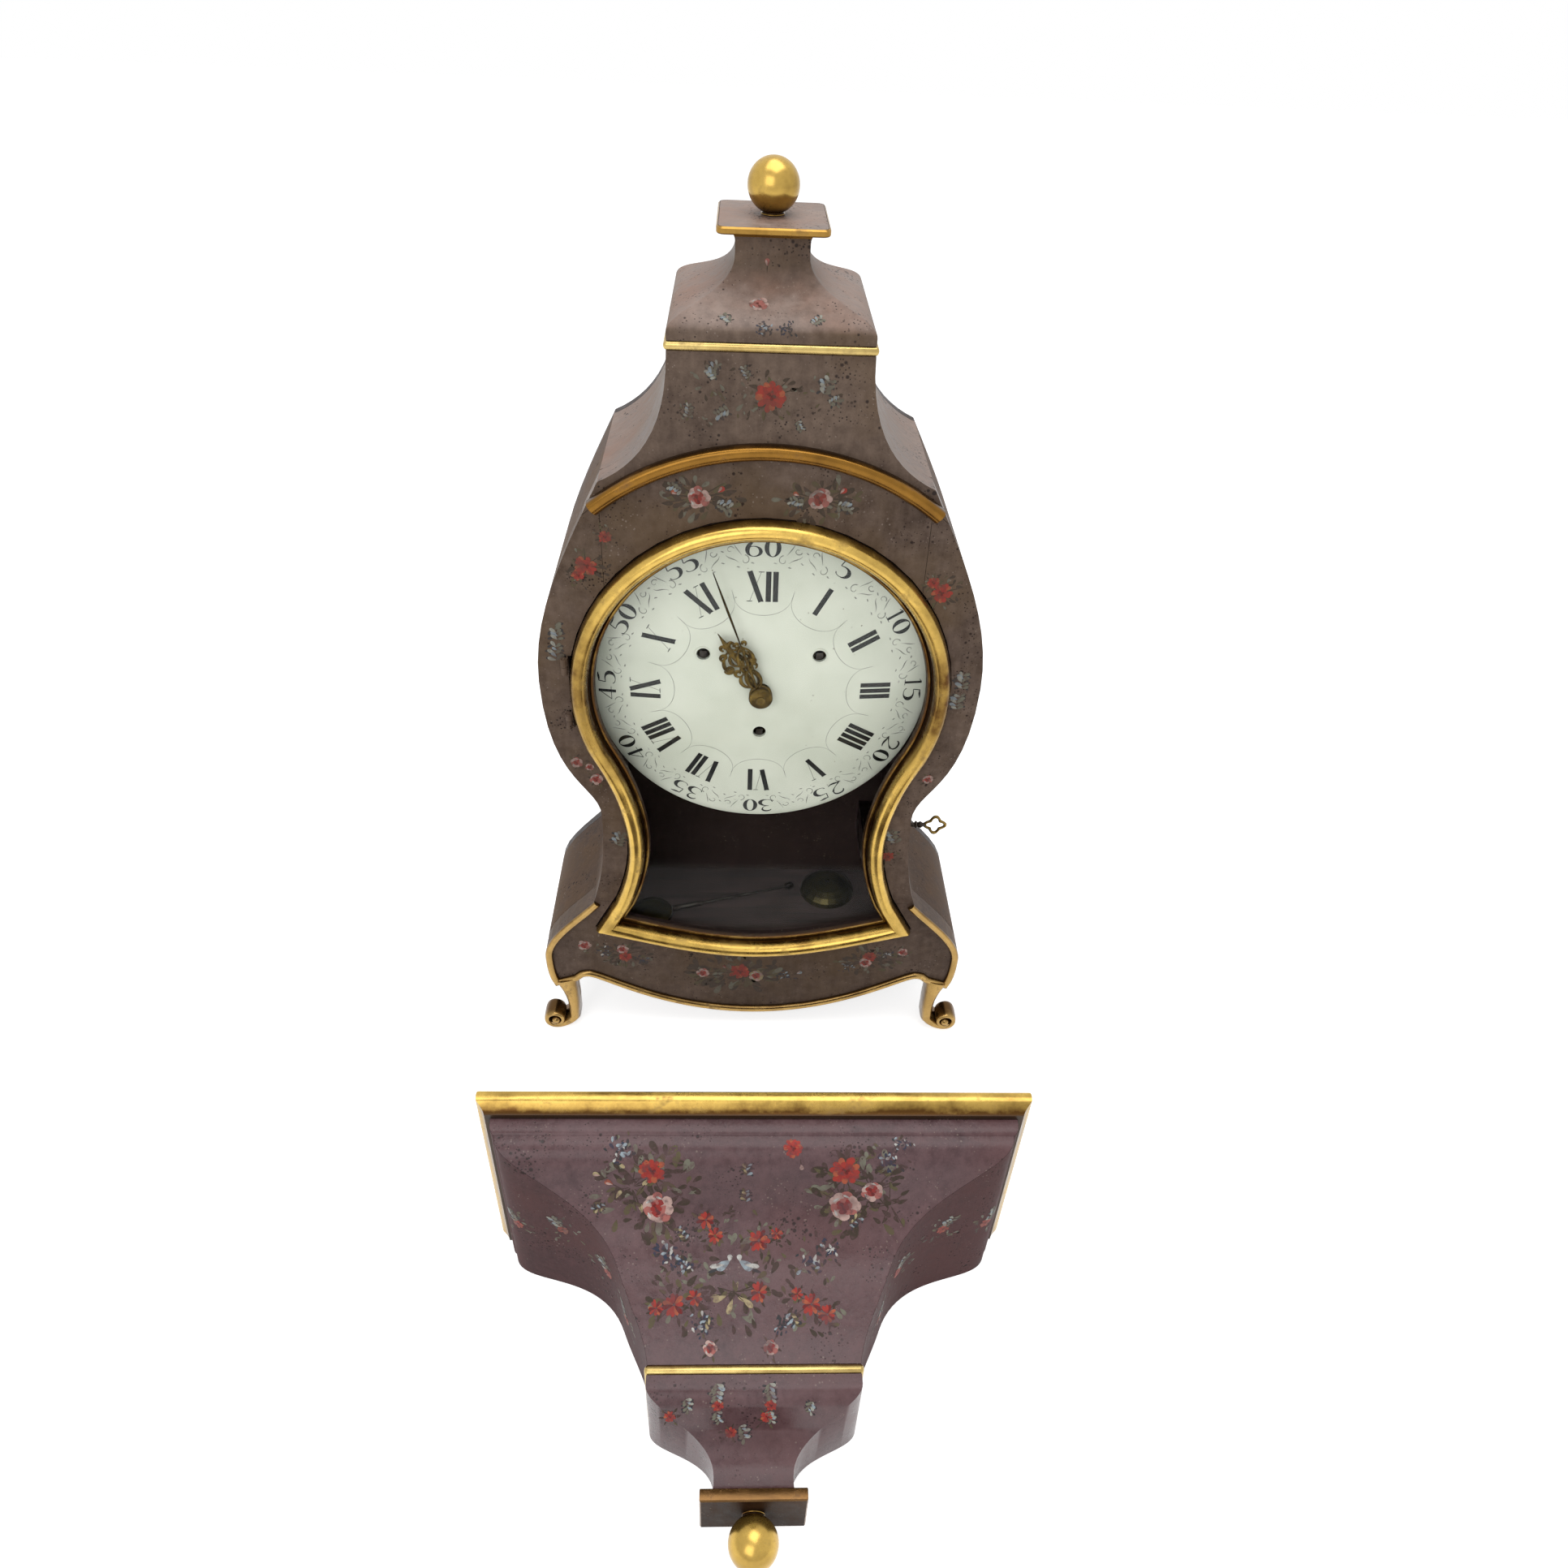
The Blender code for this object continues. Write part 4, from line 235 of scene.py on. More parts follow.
def apron_outline():
    """Right side of the apron's lower edge, from the foot over a small crest to the middle."""
    start = (NECK[0] - NECK_WIDTH, NECK[1] + APRON_RISE)
    crest = (NECK[0] - APRON_CREST_INSET, NECK[1] + APRON_CREST_RISE)
    step, fall = start[0] - crest[0], crest[1] - APRON_LOW
    turn = bezier(start, (start[0] - 0.3 * step, crest[1]), (crest[0] + 0.3 * step, crest[1]), crest, 8)
    sweep = bezier(
        crest, (0.91 * crest[0], crest[1] - 0.05 * fall), (0.55 * crest[0], APRON_LOW), (0, APRON_LOW), 24
    )
    return turn + sweep[1:]


def door_outline():
    """Closed outer edge of the glazed door, anticlockwise."""
    leaves = math.radians(RING_LEAVES_AT)
    ring = arc((0, RING_HEIGHT), RING_RADIUS, 90, -RING_LEAVES_AT, 58)
    leave = np.array(ring[-1])
    onward = np.array([-math.sin(leaves), -math.cos(leaves)])
    waist, corner = np.array(DOOR_WAIST), np.array(DOOR_CORNER)
    drop, skirt, sag = leave[1] - waist[1], waist[1] - corner[1], corner[1] - DOOR_FOOT_HEIGHT
    inward = bezier(leave, leave + 0.38 * drop * onward, waist - lean(0, 0.31 * drop), waist, 22)
    outward = bezier(
        waist, waist + lean(0, 0.37 * skirt), corner - lean(DOOR_CORNER_LEAN, 0.26 * skirt), corner, 24
    )
    rail = bezier(
        corner, (0.67 * corner[0], corner[1] - 0.45 * sag), (0.35 * corner[0], DOOR_FOOT_HEIGHT),
        (0, DOOR_FOOT_HEIGHT), 24
    )
    half = ring + inward[1:] + outward[1:] + rail[1:]
    return both_sides(straightened(half, tuple(corner), 2 * BEZEL_WIDTH))


CASE = case_outline()
HOOD = hood_outline()
APRON = apron_outline()
DOOR = door_outline()


def half_at(points, height):
    rising = points[::-1]
    return float(np.interp(height, [z for _, z in rising], [x for x, _ in rising]))


def dial_front(radius):
    """Depth of the dial's face behind the painted front, at a radius."""
    return DIAL_CROWN + DIAL_DOME * (radius / DIAL_RADIUS) ** 2


# Shader groups and materials

FLOAT, VECTOR, COLOUR = "NodeSocketFloat", "NodeSocketVector", "NodeSocketColor"


def linear(red, green, blue):
    """A display colour in 0 to 255 as the linear colour that shaders take."""
    def channel(value):
        share = value / 255
        return share / 12.92 if share <= 0.04045 else ((share + 0.055) / 1.055) ** 2.4

    return (channel(red), channel(green), channel(blue), 1.0)


def feed(tree, made, inputs):
    """Sets or links a node's inputs by socket name or number."""
    for name, value in inputs.items():
        if isinstance(value, bpy.types.NodeSocket):
            tree.links.new(value, made.inputs[name])
        else:
            made.inputs[name].default_value = value


def node(tree, kind, inputs=None, **settings):
    """One shader or geometry node, with its inputs set or linked by socket name or number."""
    made = tree.nodes.new(kind)
    for name, value in settings.items():
        setattr(made, name, value)
    feed(tree, made, inputs or {})
    return made


def group_tree(name, inputs, outputs):
    """An empty shader group with named sockets, and its input and output nodes."""
    tree = bpy.data.node_groups.new(name, "ShaderNodeTree")
    for label, kind, value in inputs:
        socket = tree.interface.new_socket(label, in_out="INPUT", socket_type=kind)
        if value is not None:
            socket.default_value = value
    for label, kind in outputs:
        tree.interface.new_socket(label, in_out="OUTPUT", socket_type=kind)
    return tree, tree.nodes.new("NodeGroupInput"), tree.nodes.new("NodeGroupOutput")


def mixed(tree, share, first, second, blend="MIX"):
    """Colour mix of two colours or sockets by a share."""
    inputs = {0: share, 6: first, 7: second}
    return node(tree, "ShaderNodeMix", inputs, data_type="RGBA", blend_type=blend).outputs[2]


def ranged(tree, value, low, high, to_low=0.0, to_high=1.0):
    """A value spread from one range to another, clamped."""
    inputs = {"Value": value, "From Min": low, "From Max": high, "To Min": to_low, "To Max": to_high}
    return node(tree, "ShaderNodeMapRange", inputs).outputs["Result"]


def noise(tree, vector, scale, detail=3.0, roughness=0.55):
    inputs = {"Vector": vector, "Scale": scale, "Detail": detail, "Roughness": roughness}
    return node(tree, "ShaderNodeTexNoise", inputs).outputs["Fac"]


def maths(tree, operation, first, second):
    return node(tree, "ShaderNodeMath", {0: first, 1: second}, operation=operation).outputs["Value"]


def weighted(tree, pairs):
    """Sum of values, each times its weight."""
    total = 0.0
    for value, weight in pairs:
        total = maths(tree, "ADD", maths(tree, "MULTIPLY", value, weight), total)
    return total


def dotted(tree, vector, scale, patch, reach):
    """Mask of small round dots that thin out where a patch value is low."""
    dots = node(tree, "ShaderNodeTexVoronoi", {"Vector": vector, "Scale": scale})
    size = ranged(tree, patch, 0.42, 0.72, 0.0, reach)
    return ranged(tree, maths(tree, "SUBTRACT", size, dots.outputs["Distance"]), -0.05, 0.06)


def make_old_paint_group():
    """Clouds, small mottles, dark specks, rubbed streaks and a faint brush grain of old paint."""
    tree, given, out = group_tree(
        "old_paint",
        [("Vector", VECTOR, None), ("Specks", FLOAT, 0.5)],
        [(label, FLOAT) for label in ("Tone", "Warm", "Speck", "Fleck", "Height")],
    )
    vector = given.outputs["Vector"]
    cloud = ranged(tree, noise(tree, vector, 18.0, 4.0, 0.6), 0.32, 0.68)
    mottle = ranged(tree, noise(tree, vector, 125.0, 5.0, 0.7), 0.34, 0.66)
    streaked = node(tree, "ShaderNodeMapping", {"Vector": vector, "Scale": (240.0, 240.0, 24.0)})
    streak = ranged(tree, noise(tree, streaked.outputs["Vector"], 1.0, 3.0), 0.3, 0.7)
    tone = weighted(tree, [(cloud, 0.36), (mottle, 0.44), (streak, 0.2)])
    warm = ranged(tree, noise(tree, vector, 11.0, 4.0, 0.65), 0.44, 0.64)
    patch = noise(tree, vector, 34.0, 3.0)
    large = dotted(tree, vector, 170.0, patch, 0.27)
    small = dotted(tree, vector, 430.0, patch, 0.33)
    speck = maths(tree, "MULTIPLY", maths(tree, "MAXIMUM", large, small), given.outputs["Specks"])
    other = noise(tree, vector, 52.0, 3.0, 0.6)
    fleck = maths(tree, "MULTIPLY", dotted(tree, vector, 340.0, other, 0.26), given.outputs["Specks"])
    height = maths(tree, "SUBTRACT", weighted(tree, [(streak, 0.6), (mottle, 0.5)]), speck)
    feed(tree, out, {"Tone": tone, "Warm": warm, "Speck": speck, "Fleck": fleck, "Height": height})
    return tree


def make_gold_leaf_group():
    """Gold leaf: crests lightened as a painted highlight, darker lower down, streaks along it, rubbed
    spots, and hollows darkened as painted shade with some dirt.
    """
    tree, given, out = group_tree(
        "gold_leaf",
        [
            ("Vector", VECTOR, None), ("Along", VECTOR, None), ("Relief", FLOAT, 1.0), ("Rub", FLOAT, 0.4),
            ("Toned", COLOUR, linear(112, 78, 30)), ("Bright", COLOUR, linear(240, 206, 118)),
        ],
        [("Color", COLOUR), ("Metal", FLOAT), ("Gloss", FLOAT), ("Height", FLOAT)],
    )
    vector, relief = given.outputs["Vector"], given.outputs["Relief"]
    drawn = node(tree, "ShaderNodeMapping", {"Vector": given.outputs["Along"], "Scale": (55.0, 120.0, 1.0)})
    streak = noise(tree, drawn.outputs["Vector"], 1.0, 4.0, 0.6)
    broad = noise(tree, vector, 46.0, 4.0, 0.6)
    fine = noise(tree, vector, 300.0, 4.0, 0.65)
    blend = ranged(tree, weighted(tree, [(streak, 0.34), (broad, 0.58), (fine, 0.08)]), 0.34, 0.66)
    # Painted highlight: the higher the relief value, the nearer the colour goes to the bright tone.
    level = ranged(tree, weighted(tree, [(blend, 0.5), (relief, 0.85)]), 0.5, 1.3)
    tone = mixed(tree, level, given.outputs["Toned"], given.outputs["Bright"])
    # Low relief values darken the colour: painted shade at edges, hollows and undersides, with some dirt.
    hollow = ranged(tree, relief, 0.02, 0.26, 1.0, 0.0)
    thin = weighted(tree, [(streak, 0.42), (fine, 0.2), (broad, 0.38)])
    rubbed = maths(tree, "MULTIPLY", ranged(tree, thin, 0.54, 0.64), given.outputs["Rub"])
    grime_and_shade = maths(tree, "MULTIPLY", hollow, ranged(tree, fine, 0.25, 0.6, 0.7, 1.0))
    worn = mixed(tree, rubbed, tone, linear(86, 54, 24))
    grimed_and_shaded = mixed(tree, grime_and_shade, worn, linear(40, 25, 13))
    cover = maths(tree, "MAXIMUM", rubbed, grime_and_shade)
    rough = weighted(tree, [(ranged(tree, broad, 0.3, 0.7, 0.18, 0.32), 1.0), (cover, 0.3)])
    metal = ranged(tree, cover, 0.0, 1.0, 0.88, 0.15)
    height = weighted(tree, [(fine, 0.12), (broad, 0.9), (streak, 0.4)])
    feed(tree, out, {"Color": grimed_and_shaded, "Metal": metal, "Gloss": rough, "Height": height})
    return tree


def make_tarnish_group():
    """Clouded tarnish, fine scratches and a light pitting on metal."""
    tree, given, out = group_tree(
        "tarnish",
        [("Vector", VECTOR, None), ("Size", FLOAT, 60.0)],
        [("Cloud", FLOAT), ("Gloss", FLOAT), ("Height", FLOAT)],
    )
    vector, size = given.outputs["Vector"], given.outputs["Size"]
    cloud = noise(tree, vector, size, 5.0, 0.6)
    fine = noise(tree, vector, 700.0, 2.0)
    patchy = ranged(tree, cloud, 0.36, 0.66)
    gloss = ranged(tree, cloud, 0.3, 0.7, 0.26, 0.52)
    feed(tree, out, {"Cloud": patchy, "Gloss": gloss, "Height": maths(tree, "ADD", fine, cloud)})
    return tree


OLD_PAINT = make_old_paint_group()
GOLD_LEAF = make_gold_leaf_group()
TARNISH = make_tarnish_group()


def blank_material(name, **fixed):
    """A material with its shader, and the socket of Object coordinates. Fixed values go on the shader."""
    material = bpy.data.materials.new(name)
    material.use_nodes = True
    tree = material.node_tree
    shader = tree.nodes["Principled BSDF"]
    for label, value in fixed.items():
        shader.inputs[label.replace("_", " ").title().replace("Ior", "IOR")].default_value = value
    place = tree.nodes.new("ShaderNodeTexCoord").outputs["Object"]
    return material, tree, shader, place


def grouped(tree, group, inputs):
    return node(tree, "ShaderNodeGroup", inputs, node_tree=group).outputs


def bumped(tree, shader, height, strength, distance):
    bump = node(tree, "ShaderNodeBump", {"Height": height, "Strength": strength, "Distance": distance})
    tree.links.new(bump.outputs["Normal"], shader.inputs["Normal"])


def painted(name, dark, light, warm, specks, top_light=0.0, gloss=0.16, rough=(0.34, 0.52)):
    """Old oil paint: mottled colour, brown rubbing, specks, and a painted top light that pales faces that
    look up.
    """
    material, tree, shader, place = blank_material(name, specular_ior_level=gloss)
    age = grouped(tree, OLD_PAINT, {"Vector": place, "Specks": specks})
    ground = mixed(tree, age["Tone"], dark, light)
    rubbed = mixed(tree, maths(tree, "MULTIPLY", age["Warm"], 0.5), ground, warm)
    # Painted top light: faces that look up are paled towards pink by how far they face up; rubbed then
    # carries it too.
    if top_light:
        normal = tree.nodes.new("ShaderNodeTexCoord").outputs["Normal"]
        facing = node(tree, "ShaderNodeSeparateXYZ", {0: normal})
        up = ranged(tree, facing.outputs["Z"], 0.35, 0.95, 0.0, top_light)
        top_light_share = maths(tree, "MULTIPLY", up, ranged(tree, age["Tone"], 0.2, 0.8, 0.55, 1.0))
        top_light_colour = mixed(tree, age["Warm"], linear(190, 170, 162), linear(188, 146, 134))
        rubbed = mixed(tree, top_light_share, rubbed, top_light_colour)
    flecked = mixed(tree, maths(tree, "MULTIPLY", age["Fleck"], 0.45), rubbed, linear(168, 152, 140))
    colour = mixed(tree, age["Speck"], flecked, linear(34, 24, 22))
    feed(tree, shader, {"Base Color": colour, "Roughness": ranged(tree, age["Tone"], 0.2, 0.8, *rough)})
    bumped(tree, shader, age["Height"], 0.3, 0.0004)
    return material


def make_gilding(name, rub, toned, bright, use_relief=True):
    """Old gold leaf. With relief, the piece's own values give the way along it, its painted highlights on
    crests, and its painted shade with dirt in hollows.
    """
    material, tree, shader, place = blank_material(name)
    relief, along = 0.85, place
    if use_relief:
        relief = node(tree, "ShaderNodeAttribute", attribute_name="relief").outputs["Fac"]
        along = node(tree, "ShaderNodeAttribute", attribute_name="run").outputs["Vector"]
    where = {"Vector": place, "Along": along, "Relief": relief}
    leaf = grouped(tree, GOLD_LEAF, {**where, "Rub": rub, "Toned": toned, "Bright": bright})
    feed(tree, shader, {"Base Color": leaf["Color"], "Metallic": leaf["Metal"], "Roughness": leaf["Gloss"]})
    bumped(tree, shader, leaf["Height"], 0.25, 0.0006)
    return material


def make_metal(name, bright, dull, size):
    material, tree, shader, place = blank_material(name, metallic=1.0)
    tarnish = grouped(tree, TARNISH, {"Vector": place, "Size": size})
    colour = mixed(tree, tarnish["Cloud"], bright, dull)
    feed(tree, shader, {"Base Color": colour, "Roughness": tarnish["Gloss"]})
    bumped(tree, shader, tarnish["Height"], 0.15, 0.0003)
    return material


def make_enamel():
    """Greenish white enamel with faint clouds and pinholes."""
    material, tree, shader, place = blank_material("dial_enamel", specular_ior_level=0.4)
    cloud = ranged(tree, noise(tree, place, 22.0, 4.0), 0.35, 0.65)
    pits = node(tree, "ShaderNodeTexVoronoi", {"Vector": place, "Scale": 150.0})
    thin = ranged(tree, noise(tree, place, 60.0, 2.0), 0.56, 0.62)
    pit = maths(tree, "MULTIPLY", ranged(tree, pits.outputs["Distance"], 0.10, 0.05), thin)
    ground = mixed(tree, cloud, linear(194, 197, 182), linear(207, 209, 195))
    colour = mixed(tree, pit, ground, linear(120, 116, 100))
    feed(tree, shader, {"Base Color": colour, "Roughness": ranged(tree, cloud, 0.0, 1.0, 0.16, 0.26)})
    bumped(tree, shader, cloud, 0.1, 0.0004)
    return material


def make_ink(name, solid, faint):
    """Fired dial paint, a little thin in places."""
    material, tree, shader, place = blank_material(name, roughness=0.32)
    thin = ranged(tree, noise(tree, place, 300.0, 3.0), 0.5, 0.75)
    tree.links.new(mixed(tree, thin, solid, faint), shader.inputs["Base Color"])
    return material


def make_glass():
    """Clear old sheet glass that lets lamp light through."""
    material, tree, shader, place = blank_material(
        "old_glass", transmission_weight=1.0, roughness=0.02, ior=1.12, base_color=(0.97, 0.985, 0.975, 1.0)
    )
    wave = noise(tree, place, 9.0, 2.0)
    bumped(tree, shader, wave, 0.04, 0.002)
    clear = tree.nodes.new("ShaderNodeBsdfTransparent").outputs["BSDF"]
    shadow = tree.nodes.new("ShaderNodeLightPath").outputs["Is Shadow Ray"]
    join = node(tree, "ShaderNodeMixShader", {0: shadow, 1: shader.outputs["BSDF"], 2: clear})
    feed(tree, tree.nodes["Material Output"], {"Surface": join.outputs["Shader"]})
    return material


def make_bare_wood():
    """Stained board with its grain along the width of the clock."""
    material, tree, shader, place = blank_material("stained_board", specular_ior_level=0.3)
    turned = node(tree, "ShaderNodeMapping", {"Vector": place, "Scale": (18.0, 260.0, 260.0)})
    grain = noise(tree, turned.outputs["Vector"], 1.0, 4.0)
    stain = noise(tree, place, 14.0, 3.0)
    board = mixed(tree, ranged(tree, grain, 0.35, 0.65), linear(58, 48, 46), linear(80, 68, 65))
    colour = mixed(tree, ranged(tree, stain, 0.5, 0.7, 0.0, 0.6), board, linear(42, 34, 33))
    feed(tree, shader, {"Base Color": colour, "Roughness": ranged(tree, grain, 0.3, 0.7, 0.55, 0.75)})
    bumped(tree, shader, grain, 0.3, 0.0005)
    return material


def make_spray_paint(name, ground, faint):
    """Flower strokes: each in its tint, deeper at its root, thin and worn through to the ground."""
    material, tree, shader, place = blank_material(name, specular_ior_level=0.16)
    tint = node(tree, "ShaderNodeAttribute", attribute_name="tint").outputs["Color"]
    along = node(tree, "ShaderNodeAttribute", attribute_name="along").outputs["Fac"]
    deep = mixed(tree, 0.2, tint, linear(70, 46, 42), "MULTIPLY")
    stroke = mixed(tree, ranged(tree, along, 0.05, 0.55), deep, tint)
    cloud = noise(tree, place, 260.0, 3.0, 0.6)
    broad = noise(tree, place, 70.0, 2.0)
    thin = ranged(tree, cloud, 0.46, 0.72, faint, 0.9)
    worn = maths(tree, "MAXIMUM", thin, ranged(tree, broad, 0.5, 0.7, faint, 0.75))
    colour = mixed(tree, worn, stroke, ground)
    feed(tree, shader, {"Base Color": colour, "Roughness": ranged(tree, cloud, 0.3, 0.7, 0.38, 0.55)})
    bumped(tree, shader, cloud, 0.2, 0.0003)
    return material


CASE_GROUND = linear(88, 72, 63)
BRACKET_GROUND = linear(96, 72, 74)
CASE_PAINT = painted(
    "case_paint", linear(70, 55, 47), linear(128, 110, 98), linear(102, 82, 58), 0.85, gloss=0.08,
    rough=(0.45, 0.6)
)
# Case paint a shade lighter, with the painted top light on faces that look up: hood front, hood roof and
# cap.
TOP_PAINT = painted(
    "case_top_paint", linear(74, 58, 49), linear(132, 113, 99), linear(106, 84, 58), 0.85, top_light=0.42
)
# Darker copy of the case paint for the bent sides: painted shade.
SIDE_SHADE_PAINT = painted(
    "side_paint", linear(60, 44, 36), linear(114, 93, 78), linear(106, 80, 52), 0.9, gloss=0.06,
    rough=(0.5, 0.65)
)
# Dark paint inside the case, darkened further as painted shade; also on the door frame's hidden faces.
INNER_SHADE_PAINT = painted("inside_paint", linear(40, 30, 29), linear(60, 47, 45), linear(46, 36, 32), 0.5)
BRACKET_PAINT = painted(
    "bracket_paint", linear(72, 50, 53), linear(116, 90, 92), linear(102, 70, 70), 0.8, gloss=0.26,
    rough=(0.22, 0.36)
)
# Darker copy of the bracket paint for its sides: painted shade.
BRACKET_SIDE_SHADE_PAINT = painted(
    "bracket_side_paint", linear(66, 46, 47), linear(108, 82, 83), linear(94, 64, 62), 0.8, gloss=0.05,
    rough=(0.5, 0.65)
)
# Dark brown wood for the pendant plate's end and a thin line round the cap's plate, darkened further as
# painted shade.
PLATE_BROWN_SHADE = painted(
    "plate_brown", linear(38, 26, 19), linear(62, 44, 32), linear(78, 52, 28), 0.6, gloss=0.05
)
GILDING = make_gilding("worn_gilding", 0.5, linear(84, 55, 20), linear(228, 190, 98))
# Darker copy of the gilding for the arch, whose face looks forward: painted shade.
ARCH_GILDING = make_gilding("arch_gilding", 0.55, linear(72, 47, 17), linear(146, 104, 40))
EDGE_GILDING = make_gilding("edging_gilding", 0.75, linear(92, 66, 34), linear(200, 164, 98))
PLAIN_GILDING = make_gilding("bar_gilding", 0.5, linear(112, 82, 34), linear(226, 200, 128), False)
DULL_GILDING = make_gilding("dull_gilding", 0.95, linear(62, 42, 24), linear(128, 94, 54), False)
PLATE_GILDING = make_gilding("plate_edge_gilding", 0.6, linear(92, 63, 25), linear(188, 146, 70), False)
ENAMEL = make_enamel()
DIAL_BLACK = make_ink("numeral_black", linear(12, 12, 12), linear(36, 35, 33))
DIAL_GREY = make_ink("tracery_grey", linear(116, 117, 108), linear(170, 171, 160))
GLASS = make_glass()
BARE_WOOD = make_bare_wood()
BRASS = make_metal("aged_brass", linear(150, 122, 64), linear(88, 72, 40), 60.0)
HAND_BRASS = make_metal("dark_gilt_brass", linear(112, 90, 44), linear(58, 45, 22), 220.0)
HAND_DARK = make_metal("hand_shadow_brass", linear(66, 52, 28), linear(40, 32, 20), 220.0)
IRON = make_metal("forged_iron", linear(78, 74, 70), linear(50, 43, 38), 110.0)
BELL_METAL = make_metal("bell_metal", linear(92, 82, 50), linear(56, 51, 34), 45.0)
CASE_SPRAY = make_spray_paint("case_spray_paint", CASE_GROUND, 0.3)
BRACKET_SPRAY = make_spray_paint("bracket_spray_paint", BRACKET_GROUND, 0.12)


# Mesh pieces


def linked(name, data):
    """A new object of that data, in the scene."""
    made = bpy.data.objects.new(name, data)
    bpy.context.scene.collection.objects.link(made)
    return made


def evaluated(made):
    """Plain mesh of an object with its modifiers."""
    bpy.context.view_layer.update()
    return bpy.data.meshes.new_from_object(made.evaluated_get(bpy.context.evaluated_depsgraph_get()))


def face_outward(mesh):
    """Merges doubles and turns the faces outward."""
    work = bmesh.new()
    work.from_mesh(mesh)
    bmesh.ops.remove_doubles(work, verts=work.verts, dist=MERGE_REACH)
    bmesh.ops.recalc_face_normals(work, faces=work.faces)
    work.to_mesh(mesh)
    work.free()


def piece(
    name, points, faces, body, materials, replaces=(), values=None, sharp=40, which=None, sheet=False
):
    """A finished piece from points and faces, riding on a body. A sheet keeps its faces' way."""
    mesh = bpy.data.meshes.new(name)
    mesh.from_pydata([tuple(p) for p in points], [], [tuple(f) for f in faces])
    kinds = {1: ("FLOAT", "value"), 3: ("FLOAT_VECTOR", "vector"), 4: ("FLOAT_COLOR", "color")}
    if values and "relief" in values:
        values = {"run": [tuple(p) for p in points], **values}
    for label, data in (values or {}).items():
        data = np.asarray(data, float)
        kind, field = kinds[1 if data.ndim == 1 else data.shape[1]]
        mesh.attributes.new(label, kind, "POINT").data.foreach_set(field, data.ravel())
    if which is not None:
        mesh.polygons.foreach_set("material_index", which)
    return settled(name, mesh, body, materials, replaces, sharp, not sheet)


def settled(name, mesh, body, materials, replaces=(), sharp=40, turn_out=True):
    """Puts a mesh in the scene as a piece on its body: faces outward, smooth but for sharp edges."""
    if turn_out:
        face_outward(mesh)
    for material in materials if isinstance(materials, (list, tuple)) else [materials]:
        mesh.materials.append(material)
    mesh.shade_smooth()
    mesh.set_sharp_from_angle(angle=math.radians(sharp))
    made = linked(name, mesh)
    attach(made, body)
    if replaces:
        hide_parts(*replaces)
    return made


def rings_mesh(rings, closed=False, caps=True):
    """Points and faces of a skin over rings with equal counts of points."""
    count = len(rings[0])
    points = [p for ring in rings for p in ring]
    faces = []
    last = len(rings) if closed else len(rings) - 1
    for row in range(last):
        nxt = (row + 1) % len(rings)
        for index in range(count):
            after = (index + 1) % count
            faces.append(
                (row * count + index, row * count + after, nxt * count + after, nxt * count + index)
            )
    if caps and not closed:
        faces.append(tuple(range(count)))
        faces.append(tuple(range((len(rings) - 1) * count, len(rings) * count)))
    return points, faces


def run_values(path, profile, closed):
    """(way along, way across, 0) at a moulding's points. A closed one counts both ways from its start."""
    ends = list(path) + [path[0]]
    way = np.concatenate([[0], np.cumsum(np.linalg.norm(np.diff(np.array(ends), axis=0), axis=1))])
    along = np.minimum(way, way[-1] - way)[:-1] if closed else way[:-1]
    steps = np.linalg.norm(np.diff(np.array(profile), axis=0), axis=1)
    across = np.concatenate([[0], np.cumsum(steps)])
    grid = np.stack(np.meshgrid(along, across, indexing="ij"), axis=-1).reshape(-1, 2)
    return np.hstack([grid, np.zeros((len(grid), 1))])


def moulding(name, path, profile, relief, body, replaces, gilding, closed=False, dark=(), tones=None):
    """A gilt moulding along a path. A profile point is (to the left, depth), and tones along it scale the
    relief values as a painted shade along the path.
    """
    sides = normals(path, closed)
    rings = []
    for (x, z), (side_x, side_z) in zip(path, sides):
        rings.append([(x + left * side_x, FRONT + depth, z + left * side_z) for left, depth in profile])
    points, faces = rings_mesh(rings, closed)
    tones = np.ones(len(rings)) if tones is None else np.array(tones)
    values = {"relief": np.outer(tones, relief).ravel(), "run": run_values(path, profile, closed)}
    row = [1 if index in dark else 0 for index in range(len(profile))]
    which = row * len(rings) if closed else row * (len(rings) - 1) + [0, 0]
    return piece(
        name, points, faces, body, [gilding, INNER_SHADE_PAINT], replaces, values, which=which
    )


